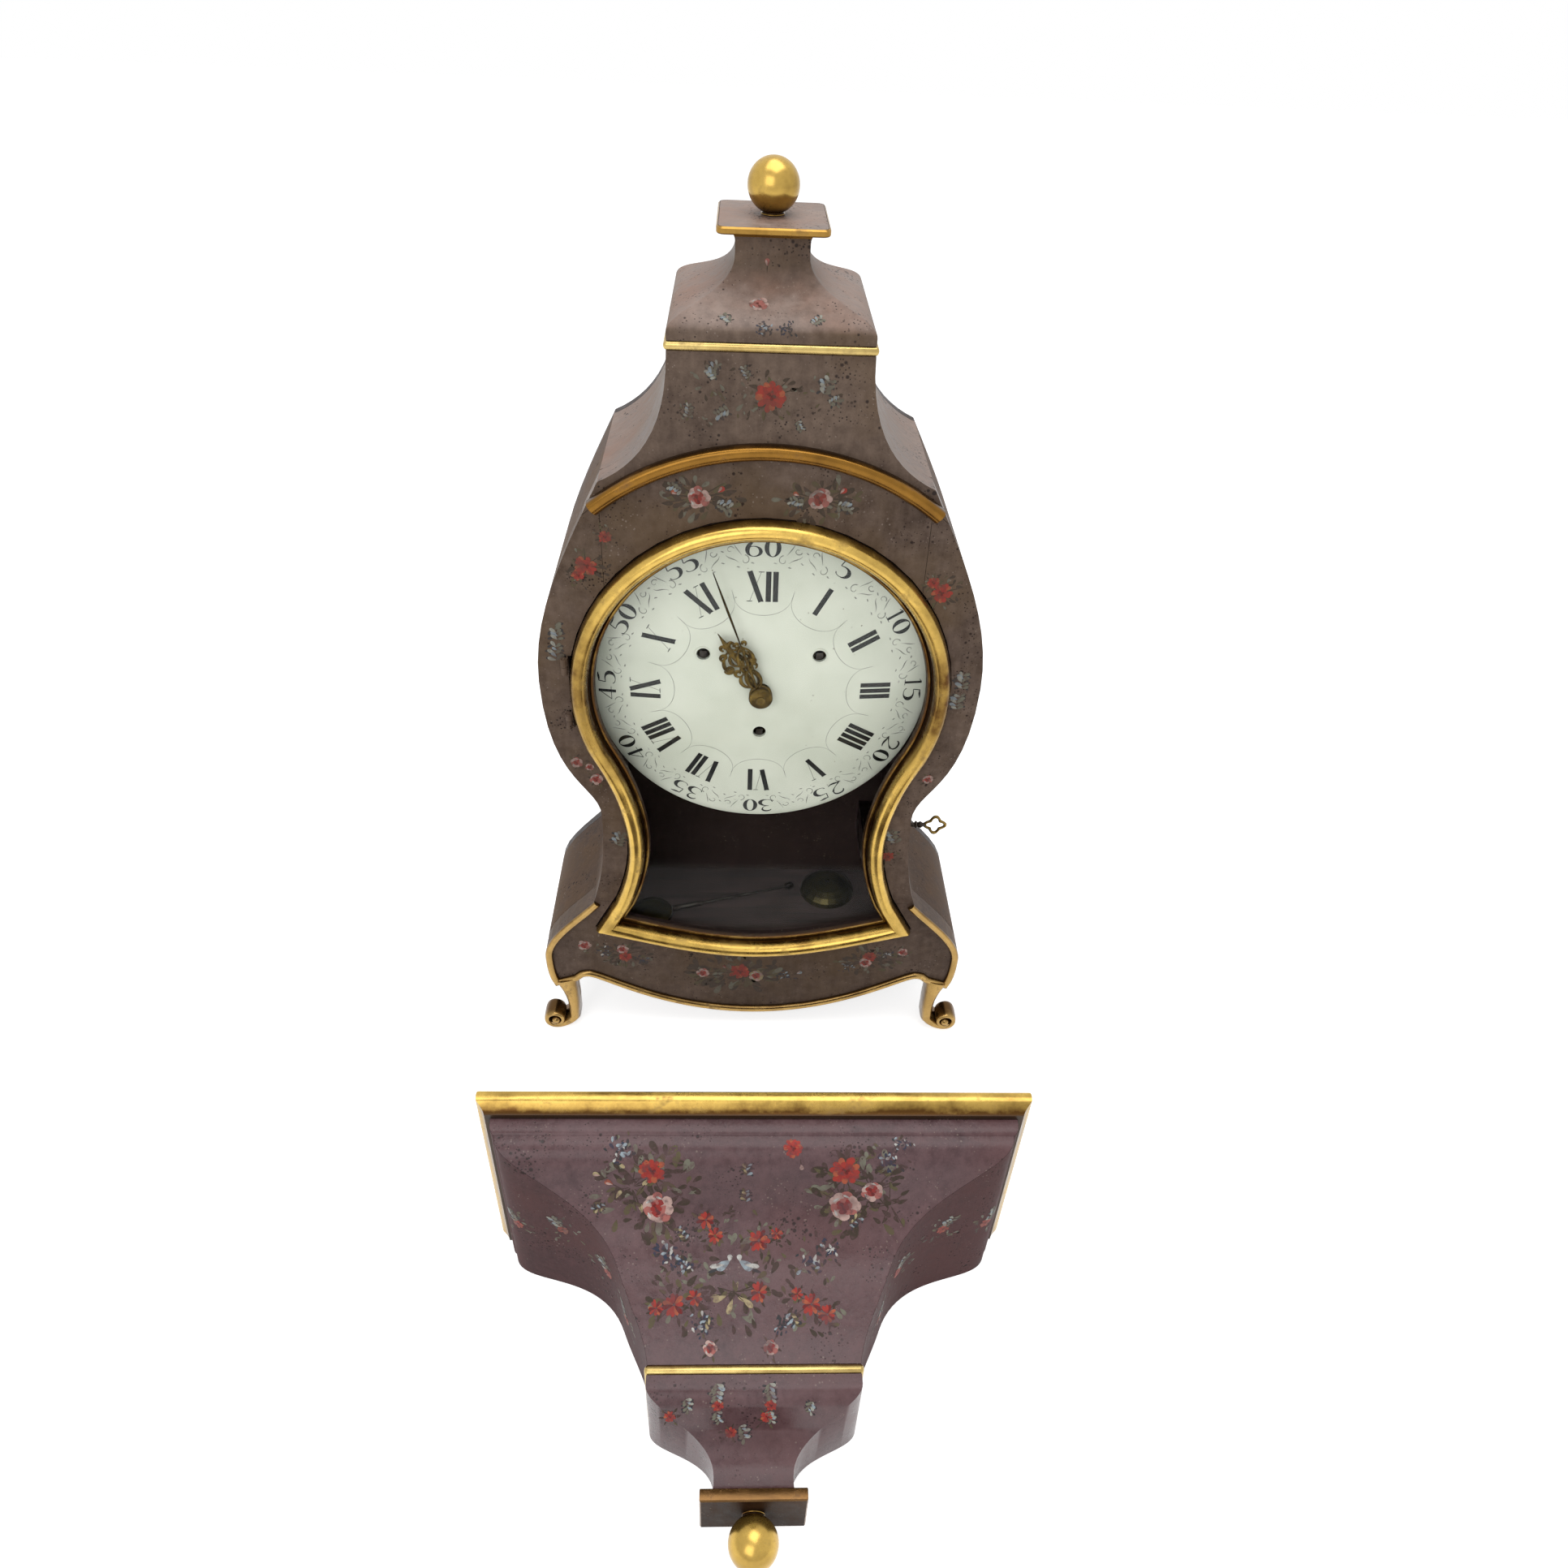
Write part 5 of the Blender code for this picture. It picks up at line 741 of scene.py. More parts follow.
def make_bezel():
    """Gilt door frame: wide round, narrow hollow and inner bead. Its outer edge, back and rebate take the
    dark inside paint, which carries painted shade.
    """
    proud, sight = BEZEL_PROUD, BEZEL_WIDTH
    lip, rebate = GLASS_FRONT - GAP, 0.727 * BEZEL_WIDTH
    turns = np.linspace(0, math.pi, 17)
    round_face = [
        (0.38 * sight * (1 - math.cos(a)), 0.1 * proud * (a / math.pi) ** 4 - proud * math.sin(a) ** 0.7)
        for a in turns
    ]
    bead = bezier((0.77 * sight, 0.1 * proud), (0.81 * sight, -0.12 * proud), (0.94 * sight, -0.1 * proud),
                  (0.97 * sight, 0.06 * proud), 6)
    profile = [(0, BEZEL_DEPTH)] + round_face + bead + [(sight, lip), (rebate, lip), (rebate, BEZEL_DEPTH)]
    # Relief values: highest on the round's crest, a painted highlight; low at its edges and in the hollow,
    # a painted shadow line with some dirt.
    relief = [0] + [min(1, 0.2 + 1.1 * math.sin(a) + 0.12 * math.cos(a)) for a in turns]
    relief += [0.02, 0.2, 0.4, 0.5, 0.45, 0.3, 0.15] + [0, 0, 0]
    last = len(profile) - 1
    dark = (0, last - 2, last - 1, last)
    # Painted shade along the frame: darker level with the dial, where the ring runs up its sides, and a
    # little darker below the waist.
    tones = [
        1.1 - 0.62 * math.exp(-(((z - RING_HEIGHT) / 0.065) ** 2)) - 0.12 * (z < DOOR_WAIST[1])
        for _, z in DOOR
    ]
    moulding("door_frame_gilt", DOOR, profile, relief, "door", ["door_bezel"], GILDING, True, dark, tones)


def make_arch():
    """Gilt moulding over the door: one leaning round face."""
    sagitta = ARCH_MIDDLE - ARCH_ENDS
    radius = (ARCH_HALF**2 + sagitta**2) / (2 * sagitta)
    centre = ARCH_MIDDLE - radius
    reach = math.degrees(math.acos(ARCH_HALF / radius))
    path = arc((0, centre), radius - ARCH_WIDTH / 2, 180 - reach, reach, 72)
    width, proud = ARCH_WIDTH, ARCH_PROUD
    crown = bezier(
        (width, -0.35 * proud), (width, -0.9 * proud), (0.85 * width, -proud), (0.6 * width, -proud), 7
    )
    fall = bezier(
        (0.6 * width, -proud), (0.3 * width, -proud), (0.05 * width, -0.75 * proud), (0, -0.3 * proud), 8
    )
    profile = [(0, -GAP), (width, -GAP)] + crown + fall[1:]
    # Relief values: bright over the crown, a painted highlight, and darker at the edges, painted shade with
    # some dirt.
    relief = [0, 0, 0.25, 0.5, 0.8] + [1] * 11 + [0.6, 0.2]
    moulding("arch_moulding_gilt", path, profile, relief, "case", ["arch_moulding"], ARCH_GILDING)


def make_base_edging():
    """Half-round gilt strip down the base and along the apron."""
    right = [p for p in CASE if p[1] < BASE_TOP[1] + 1e-9] + APRON
    right = straightened(straightened(right, CASE[-1], EDGING_WIDTH), APRON[0], EDGING_WIDTH)
    path = mirrored(right) + right[-2::-1]
    width, proud = EDGING_WIDTH, EDGING_PROUD
    face = bezier((width, -0.35 * proud), (0.95 * width, -1.1 * proud), (0.05 * width, -1.2 * proud),
                  (0, -0.5 * proud), 8)
    profile = [(0, -GAP), (width, -GAP)] + face
    # Relief values: brightest on the crest, a painted highlight, darker at the edges, painted shade with
    # some dirt.
    relief = [0, 0.1, 0.25, 0.55, 0.9, 1, 1, 1, 0.9, 0.7, 0.45]
    moulding("base_edging_gilt", path, profile, relief, "case", ["base_edging"], EDGE_GILDING)


def lathe(profile, at, axis, steps):
    """Points and faces of a turned shape, (radius, height) along an axis, with closed poles."""
    frame_z = Vector(axis).normalized()
    frame_x = frame_z.orthogonal().normalized()
    frame_y = frame_z.cross(frame_x)
    rings = []
    for turn in np.linspace(0, 2 * math.pi, steps, endpoint=False):
        out = frame_x * math.cos(turn) + frame_y * math.sin(turn)
        rings.append(
            [Vector(at) + out * max(radius, 1e-6) + frame_z * height for radius, height in profile]
        )
    points, faces = [p for ring in rings for p in ring], []
    count = len(profile)
    for row in range(steps):
        nxt = (row + 1) % steps
        for index in range(count - 1):
            faces.append(
                (row * count + index, nxt * count + index, nxt * count + index + 1, row * count + index + 1)
            )
    return points, faces


def welded(parts):
    """Several (points, faces) as one."""
    points, faces = [], []
    for some_points, some_faces in parts:
        start = len(points)
        points.extend(some_points)
        faces.extend([tuple(start + index for index in face) for face in some_faces])
    return points, faces


def make_balls():
    """Turned gilt balls on short necks: one on the cap, one under the bracket."""
    sink = math.sqrt(BALL_RADIUS**2 - BALL_NECK**2)
    low = math.degrees(math.asin(sink / BALL_RADIUS))
    ball = [(BALL_RADIUS * math.cos(math.radians(a)), BALL_RADIUS + BALL_RADIUS * math.sin(math.radians(a)))
            for a in np.linspace(90, -low, 26)]
    ring = [(BALL_NECK + out, rise) for out, rise in BALL_RING] + [(0, 0)]
    top = CAP_FOOT + CAP_HEIGHT + CAP_PLATE[2] + GAP
    spots = (("finial_ball", (0, FRONT + CASE_DEPTH / 2, top), (0, 0, 1), "case"),)
    low_corner, high_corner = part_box("bracket_ball")
    middle = (low_corner[2] + high_corner[2]) / 2
    spots += (("bracket_ball", (0, high_corner[1], middle), (0, -1, 0), "bracket"),)
    for name, at, axis, body in spots:
        points, faces = lathe(ball + ring, at, axis, 56)
        # Relief values: the ball bright, a painted highlight, falling off low down and on the neck ring,
        # painted shade under the ball.
        relief = np.tile([1.0] * 22 + [0.7, 0.4, 0.2, 0.1] + [0.2, 0.5, 0.5, 0.2, 0], 56)
        values = {"relief": 0.85 * relief, "run": np.zeros((len(points), 3))}
        piece(name + "_gilt", points, faces, body, GILDING, [name], values)


FOOT_EYE = (0.1675, 0.0115)
FOOT_EYE_RADIUS = 0.0036
FOOT_FRONT = -0.0112
FOOT_REACH = 0.0205
FOOT_SLIM = 0.0096
VOLUTE_RADIUS = 0.0107
VOLUTE_CLOSING = 0.0057
VOLUTE_THICK = 0.0034


def scroll_line():
    """Places and half widths down the right foot's stem, round under it and into the volute's eye."""
    reach, slim = FOOT_REACH, FOOT_SLIM
    stem = bezier(
        (0.1573, 0.0528), (0.1550, 0.044), (0.1518, 0.036), (FOOT_EYE[0] - reach + slim / 2, 0.0235), 12
    )
    halves = list(np.interp(np.linspace(0, 1, 13), [0, 0.35, 0.7, 1], [0.0098, 0.0068, 0.0052, slim / 2]))
    for turn in np.linspace(180, 700, 44):
        swing = (reach - VOLUTE_RADIUS) * math.exp(-(turn - 180) / 40)
        outer = VOLUTE_RADIUS + swing - VOLUTE_CLOSING * max(0, (turn - 330) / 390)
        thick = VOLUTE_THICK + (slim - VOLUTE_THICK) * math.exp(-(turn - 180) / 150)
        angle = math.radians(turn)
        far = outer - thick / 2
        stem.append((FOOT_EYE[0] + far * math.cos(angle), FOOT_EYE[1] + far * math.sin(angle)))
        halves.append(thick / 2)
    return stem, halves


def make_scroll_foot(side):
    """Gilt scroll foot: a stem that turns under itself and curls into a volute with a button eye."""
    sign = -1 if side == "left" else 1
    line, halves = scroll_line()
    share = np.linspace(0, 1, len(line))
    fronts = np.interp(share, [0, 0.16, 0.4, 1], [-0.0050, -0.0085, FOOT_FRONT, FOOT_FRONT - 0.0012])
    backs = np.interp(share, [0, 0.2, 0.5, 1], [0.016, 0.013, 0.008, 0.002])
    rings, relief = [], []
    for index, (x, z) in enumerate(line):
        before, after = line[max(index - 1, 0)], line[min(index + 1, len(line) - 1)]
        ahead = np.array([after[0] - before[0], after[1] - before[1]])
        ahead /= np.linalg.norm(ahead)
        middle, deep = (fronts[index] + backs[index]) / 2, (backs[index] - fronts[index]) / 2
        ring = []
        for turn in np.linspace(0, 2 * math.pi, 28, endpoint=False):
            cos, sin = math.cos(turn), math.sin(turn)
            wide = halves[index] * math.copysign(abs(cos) ** 0.7, cos)
            far = deep * math.copysign(abs(sin) ** 0.6, sin)
            ring.append((sign * (x - ahead[1] * wide), FRONT + middle + far, max(z + ahead[0] * wide, 0.0)))
            # Relief values: the front bright across its middle, a painted highlight; its sides and back
            # darker, painted shade.
            relief.append(0.95 - 0.6 * abs(cos) ** 3 if sin < 0 else 0.3)
        rings.append(ring)
    eye = [
        (0, 0.0022), (0.4 * FOOT_EYE_RADIUS, 0.0020), (0.75 * FOOT_EYE_RADIUS, 0.0012),
        (FOOT_EYE_RADIUS, -0.0006), (FOOT_EYE_RADIUS, -0.012)
    ]
    button = lathe(eye, (sign * FOOT_EYE[0], FRONT + FOOT_FRONT, FOOT_EYE[1]), (0, -1, 0), 24)
    points, faces = welded([rings_mesh(rings), button])
    # The button eye: bright on its dome, a painted highlight, dark round its rim, painted shade.
    values = {"relief": relief + [1.0, 1.0, 0.9, 0.3, 0.1] * 24}
    name = "foot_front_" + side
    piece(name + "_gilt", points, faces, "case", EDGE_GILDING, [name], values, sharp=60)


def rounded_bar(name, low, high, body, replaces, bevel=0.0012):
    """A straight gilt bar between two corners, its edges rounded."""
    work = bmesh.new()
    bmesh.ops.create_cube(work, size=1)
    low, high = Vector(low), Vector(high)
    work.transform(Matrix.Translation((low + high) / 2) @ Matrix.Diagonal((*(high - low), 1)))
    bmesh.ops.bevel(work, geom=list(work.edges), offset=bevel, segments=3, affect="EDGES", profile=0.5)
    mesh = bpy.data.meshes.new(name)
    work.to_mesh(mesh)
    work.free()
    return settled(name, mesh, body, PLAIN_GILDING, replaces)


def make_gilt_bars():
    """Edge of the hood's deck, and the band under the bracket's box."""
    low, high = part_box("hood_deck")
    rounded_bar("hood_deck_gilt", low, high, "case", ["hood_deck"], 0.0021)
    low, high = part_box("bracket_band")
    rounded_bar("bracket_band_gilt", low, high, "bracket", ["bracket_band"], 0.0022)


def make_bracket_moulding():
    """Gilt moulding on three edges of the bracket's top: rounded nose over a hollow."""
    half, deep, thick = BRACKET_TOP
    width = BRACKET_MOULDING
    corners = [(half, 0), (half, -deep), (-half, -deep), (-half, 0)]
    outward = normals(corners, closed=False)
    nose = bezier((0.7 * width, 0), (width, 0), (width, -0.1 * thick), (width, -0.28 * thick), 6)
    under = bezier((0.96 * width, -0.5 * thick), (0.8 * width, -0.62 * thick), (0.5 * width, -0.75 * thick),
                   (0.36 * width, -thick), 6)
    profile = [(GAP, 0)] + nose + under + [(GAP, -thick)]
    # Relief values: bright on the nose, a painted highlight, falling to dark on the underside, painted
    # shade.
    relief = [0.4, 0.8, 0.9, 1, 1, 1, 1, 0.9, 0.85, 0.8, 0.7, 0.6, 0.45, 0.3, 0.1, 0]
    rings = []
    for (x, y), (nx, ny) in zip(corners, outward):
        rings.append([(x + reach * nx, BRACKET_FACE + z, -(y + reach * ny)) for reach, z in profile])
    fine = []
    for first, second in zip(rings, rings[1:]):
        for share in np.linspace(0, 1, 12, endpoint=False):
            fine.append(
                [tuple((1 - share) * np.array(p) + share * np.array(q)) for p, q in zip(first, second)]
            )
    fine.append(rings[-1])
    points, faces = rings_mesh(fine)
    values = {"relief": np.tile(relief[: len(profile)], len(fine))}
    piece(
        "bracket_moulding_gilt", points, faces, "bracket", GILDING, ["bracket_moulding"],
        values
    )


make_bezel()
make_arch()
make_base_edging()
make_balls()
make_scroll_foot("left")
make_scroll_foot("right")
make_gilt_bars()
make_bracket_moulding()


# Painted curved boards


def extruded(outline, front, back):
    """Points and faces of a board with that outline in the front view: two flats, then the edges."""
    count = len(outline)
    points = [(x, FRONT + front, z) for x, z in outline] + [(x, FRONT + back, z) for x, z in outline]
    faces = [tuple(range(count)), tuple(range(count, 2 * count))]
    for index in range(count):
        after = (index + 1) % count
        faces.append((index, after, count + after, count + index))
    return points, faces


def make_sides():
    """Bent side boards, outside in the darker side paint with its painted shade, inside in the dark inside
    paint.
    """
    inside = offset(CASE, -SIDE_THICK)
    outline = CASE + inside[::-1]
    count = len(CASE)
    front, back = FRONT_THICK + GAP, CASE_DEPTH - BACK_THICK - GAP
    for name, flip in (("side_left", mirrored), ("side_right", list)):
        points, faces = extruded(flip(outline), front, back)
        which = [0, 0] + [0] * (count - 1) + [0] + [1] * (count - 1) + [0]
        piece(
            name + "_painted", points, faces, "case", [SIDE_SHADE_PAINT, INNER_SHADE_PAINT], [name],
            which=which
        )


def make_hood_roof():
    inside = offset(CASE, -SIDE_THICK)
    joint = inside[0]
    under = [p for p in offset(HOOD, -ROOF_THICK) if p[0] < joint[0] - GAP]
    seat = [(SHOULDER[0], SHOULDER[1] + GAP), (joint[0], joint[1] + 2 * GAP)]
    outline = HOOD[:-1] + seat + under[1:][::-1] + [(under[0][0], HOOD_TOP[1])]
    front, back = FRONT_THICK + GAP, CASE_DEPTH - BACK_THICK - GAP
    for name, flip in (("hood_roof_left", mirrored), ("hood_roof_right", list)):
        points, faces = extruded(flip(outline), front, back)
        piece(name + "_painted", points, faces, "case", TOP_PAINT, [name])


OGEE_TURN = 0.36


def ogee(straight, inset, neck_height, flare, height, steps=22):
    """(height, inset) along a swept cap: upright edge, ogee to a neck, flare to a plate."""
    turn = straight + OGEE_TURN * (neck_height - straight)
    shoulder = bezier((straight, 0), (turn, 0), (turn, inset), (neck_height, inset), steps)
    middle = 0.5 * (neck_height + height)
    lip = bezier(
        (middle, inset), (height, inset), (height, inset - 0.5 * flare), (height, inset - flare), 10
    )
    return [(0, 0)] + shoulder + lip


CAP_SWEEP = ogee(0.004, 0.038, 0.037, 0.0095, CAP_HEIGHT)
PENDANT_SWEEP = ogee(0.006, PENDANT_NECK_INSET, 0.044, 0.0075, PENDANT_HEIGHT)


def square_rings(sizes, steps=4):
    """Rings of rectangles with rounded corners: (half width, near, far, level, corner radius)."""
    rings = []
    for half, near, far, level, ease in sizes:
        ring = []
        spots = ((half - ease, far - ease, 0), (ease - half, far - ease, 90),
                 (ease - half, near + ease, 180), (half - ease, near + ease, 270))
        for x, y, start in spots:
            ring += [(a, b, level) for a, b in arc((x, y), ease, start, start + 90, steps)]
        rings.append(ring)
    return rings


def make_cap():
    """Ogee cap with its square plate: painted, gilt on the plate's edge and just under it."""
    middle = FRONT + CASE_DEPTH / 2
    half, deep, thick = CAP_PLATE
    top = CAP_FOOT + CAP_HEIGHT
    sizes, finish = [], []
    for height, inset in CAP_SWEEP:
        reach = CASE_DEPTH / 2 - inset
        sizes.append((HOOD_TOP[0] - inset, middle - reach, middle + reach, CAP_FOOT + height, 0.0012))
        finish.append(1 if height > CAP_HEIGHT - 0.0042 else 0)
    edge = ((0.0005, 0, 1), (0, 0.0007, 1), (0, thick - 0.0009, 1), (0.0009, thick, 2), (0.0013, thick, 0))
    for inset, rise, which in edge:
        sizes.append((half - inset, middle - deep + inset, middle + deep - inset, top + rise, 0.0045))
        finish.append(which)
    rings = square_rings(sizes)
    points, faces = rings_mesh(rings)
    which = [value for value in finish[:-1] for _ in rings[0]] + [0, 0]
    coats = [TOP_PAINT, PLATE_GILDING, PLATE_BROWN_SHADE]
    piece("cap_painted", points, faces, "case", coats, ["cap"], sharp=32, which=which)


def bracket_sweep():
    """(depth below the top, half width, depth from the wall): two rolls, then a long hollow."""
    foot = BRACKET_BOX_FOOT
    bead, roll = BRACKET_BOX_TOP + BRACKET_BEAD, BRACKET_BOX_TOP + BRACKET_ROLL
    share, step = BRACKET_ROLL_SHARE, BRACKET_BEAD_STEP
    upper = bezier(
        (0, BRACKET_BOX_TOP), (0, 0.5 * (BRACKET_BOX_TOP + bead)), (0.1 * step, bead),
        (0.8 * step, bead + 0.12 * BRACKET_BEAD), 12
    )
    swell = bezier(
        upper[-1], (0.95 * step, bead + 0.47 * (roll - bead)), (0.775 * share, bead + 0.19 * (roll - bead)),
        (share, roll), 26
    )
    hollow = bezier(
        (share, roll), (1.09 * share, roll + 0.36 * (foot - roll)), (0.98, roll + 0.67 * (foot - roll)),
        (1, foot), 18
    )
    sections = []
    for inset, depth in upper + swell[1:] + hollow[1:]:
        half = BRACKET_TOP[0] - inset * (BRACKET_TOP[0] - BRACKET_BOX_HALF)
        front = BRACKET_TOP[1] - inset * (BRACKET_TOP[1] - BRACKET_BOX_HALF)
        sections.append((depth, half, front))
    return sections


BRACKET_SWEEP = bracket_sweep()


def make_bracket_box():
    """Front and sides of the bracket, bent to the same sweep."""
    mitre = GAP / 2
    front_rings, side_rings = [], []
    for depth, half, front in BRACKET_SWEEP:
        inner, inner_front = half - BRACKET_WALL, front - BRACKET_WALL
        y = BRACKET_FACE - depth
        front_rings.append(
            [
                (-half + mitre, y, front), (half - mitre, y, front), (inner - mitre, y, inner_front),
                (-inner + mitre, y, inner_front)
            ]
        )
        side_rings.append(
            [(half, y, front - mitre), (half, y, 0), (inner, y, 0), (inner, y, inner_front - mitre)]
        )
    left_rings = [[(-x, y, z) for x, y, z in ring] for ring in side_rings]
    boards = (
        ("bracket_front", front_rings, BRACKET_PAINT),
        ("bracket_side_right", side_rings, BRACKET_SIDE_SHADE_PAINT),
        ("bracket_side_left", left_rings, BRACKET_SIDE_SHADE_PAINT),
    )
    for name, rings, coat in boards:
        points, faces = rings_mesh(rings)
        piece(name + "_painted", points, faces, "bracket", coat, [name], sharp=50)


def pendant_front(inset):
    neck = PENDANT_PLATE[1] - (PENDANT_PLATE[0] - (BRACKET_BOX_HALF - PENDANT_NECK_INSET))
    return BRACKET_BOX_HALF - inset * (BRACKET_BOX_HALF - neck) / PENDANT_NECK_INSET


def make_pendant():
    """Ogee pendant under the bracket, with a plate at its end: dull gilt edges and a dark brown end face
    darkened further as painted shade.
    """
    rings, finish = [], []
    sizes = [(height, BRACKET_BOX_HALF - inset, pendant_front(inset), 0) for height, inset in PENDANT_SWEEP]
    half, front, thick = PENDANT_PLATE
    edge = ((0, 0.0004), (0.0006, 0), (thick - 0.0008, 0), (thick, 0.0008))
    sizes += [(PENDANT_HEIGHT + rise, half - inset, front - inset, 1) for rise, inset in edge]
    for height, wide, high, which in sizes:
        y = BRACKET_FACE - PENDANT_TOP - height
        rings.append([(-wide, y, high), (wide, y, high), (wide, y, 0), (-wide, y, 0)])
        finish.append(which)
    points, faces = rings_mesh(rings)
    which = [value for value in finish[:-1] for _ in range(4)] + [0, 2]
    coats = [BRACKET_PAINT, DULL_GILDING, PLATE_BROWN_SHADE]
    piece(
        "pendant_painted", points, faces, "bracket", coats, ["bracket_pendant"],
        which=which
    )


make_sides()
make_hood_roof()
make_cap()
make_bracket_box()
make_pendant()


# Dial: domed enamel, black numerals, grey tracery


def on_dial(x, z, lift):
    """A point of the dial's face from (across, up) off its centre, raised towards the viewer."""
    return (x, FRONT + dial_front(math.hypot(x, z)) - lift, DIAL_HEIGHT + z)


def make_dial():
    """Domed enamel with three winding holes that have raised lips."""
    radii = list(np.linspace(DIAL_BORE, DIAL_RADIUS - 0.0008, 26))
    face = [(r, -dial_front(r)) for r in radii]
    edge = [
        (DIAL_RADIUS - 0.0002, -dial_front(DIAL_RADIUS) - 0.0003),
        (DIAL_RADIUS, -dial_front(DIAL_RADIUS) - 0.0009)
    ]
    back = [(r, -dial_front(r) - DIAL_THICK) for r in (DIAL_RADIUS, 0.09, 0.06, 0.03, DIAL_BORE)]
    points, faces = lathe(face + edge + back + face[:1], (0, FRONT, DIAL_HEIGHT), (0, -1, 0), 128)
    mesh = bpy.data.meshes.new("dial_blank")
    mesh.from_pydata([tuple(p) for p in points], [], faces)
    face_outward(mesh)
    blank = linked("dial_blank", mesh)
    cutters = []
    for x, z in WINDING_HOLES:
        drill = bpy.data.meshes.new("drill")
        work = bmesh.new()
        bmesh.ops.create_cone(
            work, cap_ends=True, segments=40, radius1=WINDING_HOLE, radius2=WINDING_HOLE, depth=DRILL_LENGTH
        )
        place = Matrix.Translation((x, FRONT + DRILL_MIDDLE, DIAL_HEIGHT + z))
        work.transform(place @ Matrix.Rotation(math.pi / 2, 4, "X"))
        work.to_mesh(drill)
        work.free()
        cutters.append(linked("drill", drill))
        step = blank.modifiers.new("drill", "BOOLEAN")
        step.operation = "DIFFERENCE"
        step.object = cutters[-1]
    drilled = evaluated(blank)
    for leftover in [blank] + cutters:
        bpy.data.objects.remove(leftover)
    settled("dial_enamelled", drilled, "case", ENAMEL, ["dial"], sharp=50)
    lips = []
    for x, z in WINDING_HOLES:
        depth = dial_front(math.hypot(x, z))
        lip = [(WINDING_HOLE + out, rise) for out, rise in LIP_SECTION]
        lips.append(lathe(lip + lip[:1], (x, FRONT + depth, DIAL_HEIGHT + z), (0, -1, 0), 36))
    points, faces = welded(lips)
    piece("winding_hole_lips", points, faces, "case", ENAMEL)


def stroke_strip(line, halves, place):
    """A flat stroke along a line of points, with a half width at each, laid by a placing function."""
    line = np.array(line, float)
    ahead = np.gradient(line, axis=0)
    ahead /= np.linalg.norm(ahead, axis=1)[:, None]
    side = np.stack([-ahead[:, 1], ahead[:, 0]], axis=1)
    points, faces = [], []
    for (x, y), (sx, sy), half in zip(line, side, halves):
        points += [place(x + sx * half, y + sy * half), place(x - sx * half, y - sy * half)]
    for index in range(len(line) - 1):
        faces.append((2 * index, 2 * index + 1, 2 * index + 3, 2 * index + 2))
    return points, faces


def straight(start, end, half, steps=6):
    line = [tuple((1 - t) * np.array(start) + t * np.array(end)) for t in np.linspace(0, 1, steps + 1)]
    return line, [half] * len(line)


def roman_letter(letter):
    """(strokes, width) of a letter one unit tall: heavy strokes, hairlines and fine serifs."""
    heavy, hair, serif = 0.096, 0.007, 0.013
    if letter == "I":
        return [
            straight((0.1, 0), (0.1, 1), heavy), straight((0, 0.985), (0.2, 0.985), serif),
            straight((0, 0.015), (0.2, 0.015), serif)
        ], 0.26
    if letter == "V":
        strokes = [straight((0.1, 1), (0.33, 0.02), heavy), straight((0.56, 1), (0.35, 0.02), hair)]
        strokes += [
            straight((0, 0.985), (0.22, 0.985), serif), straight((0.47, 0.985), (0.66, 0.985), serif)
        ]
        return strokes, 0.70
    strokes = [straight((0.1, 1), (0.52, 0), heavy), straight((0.52, 1), (0.1, 0), hair)]
    for x in (0.1, 0.52):
        strokes += [
            straight((x - 0.1, 0.985), (x + 0.1, 0.985), serif),
            straight((x - 0.1, 0.015), (x + 0.1, 0.015), serif)
        ]
    return strokes, 0.68


HOURS = ("I", "II", "III", "IIII", "V", "VI", "VII", "VIII", "IX", "X", "XI", "XII")


def swelling(line, thin, thick):
    """Half widths of a pen stroke, thin at its ends and thick in the middle."""
    t = np.linspace(0, 1, len(line))
    return list(thin + (thick - thin) * np.sin(math.pi * t) ** 1.3)


def pen(line, thin, thick):
    """A line with the half widths of a swelling pen stroke."""
    return line, swelling(line, thin, thick)


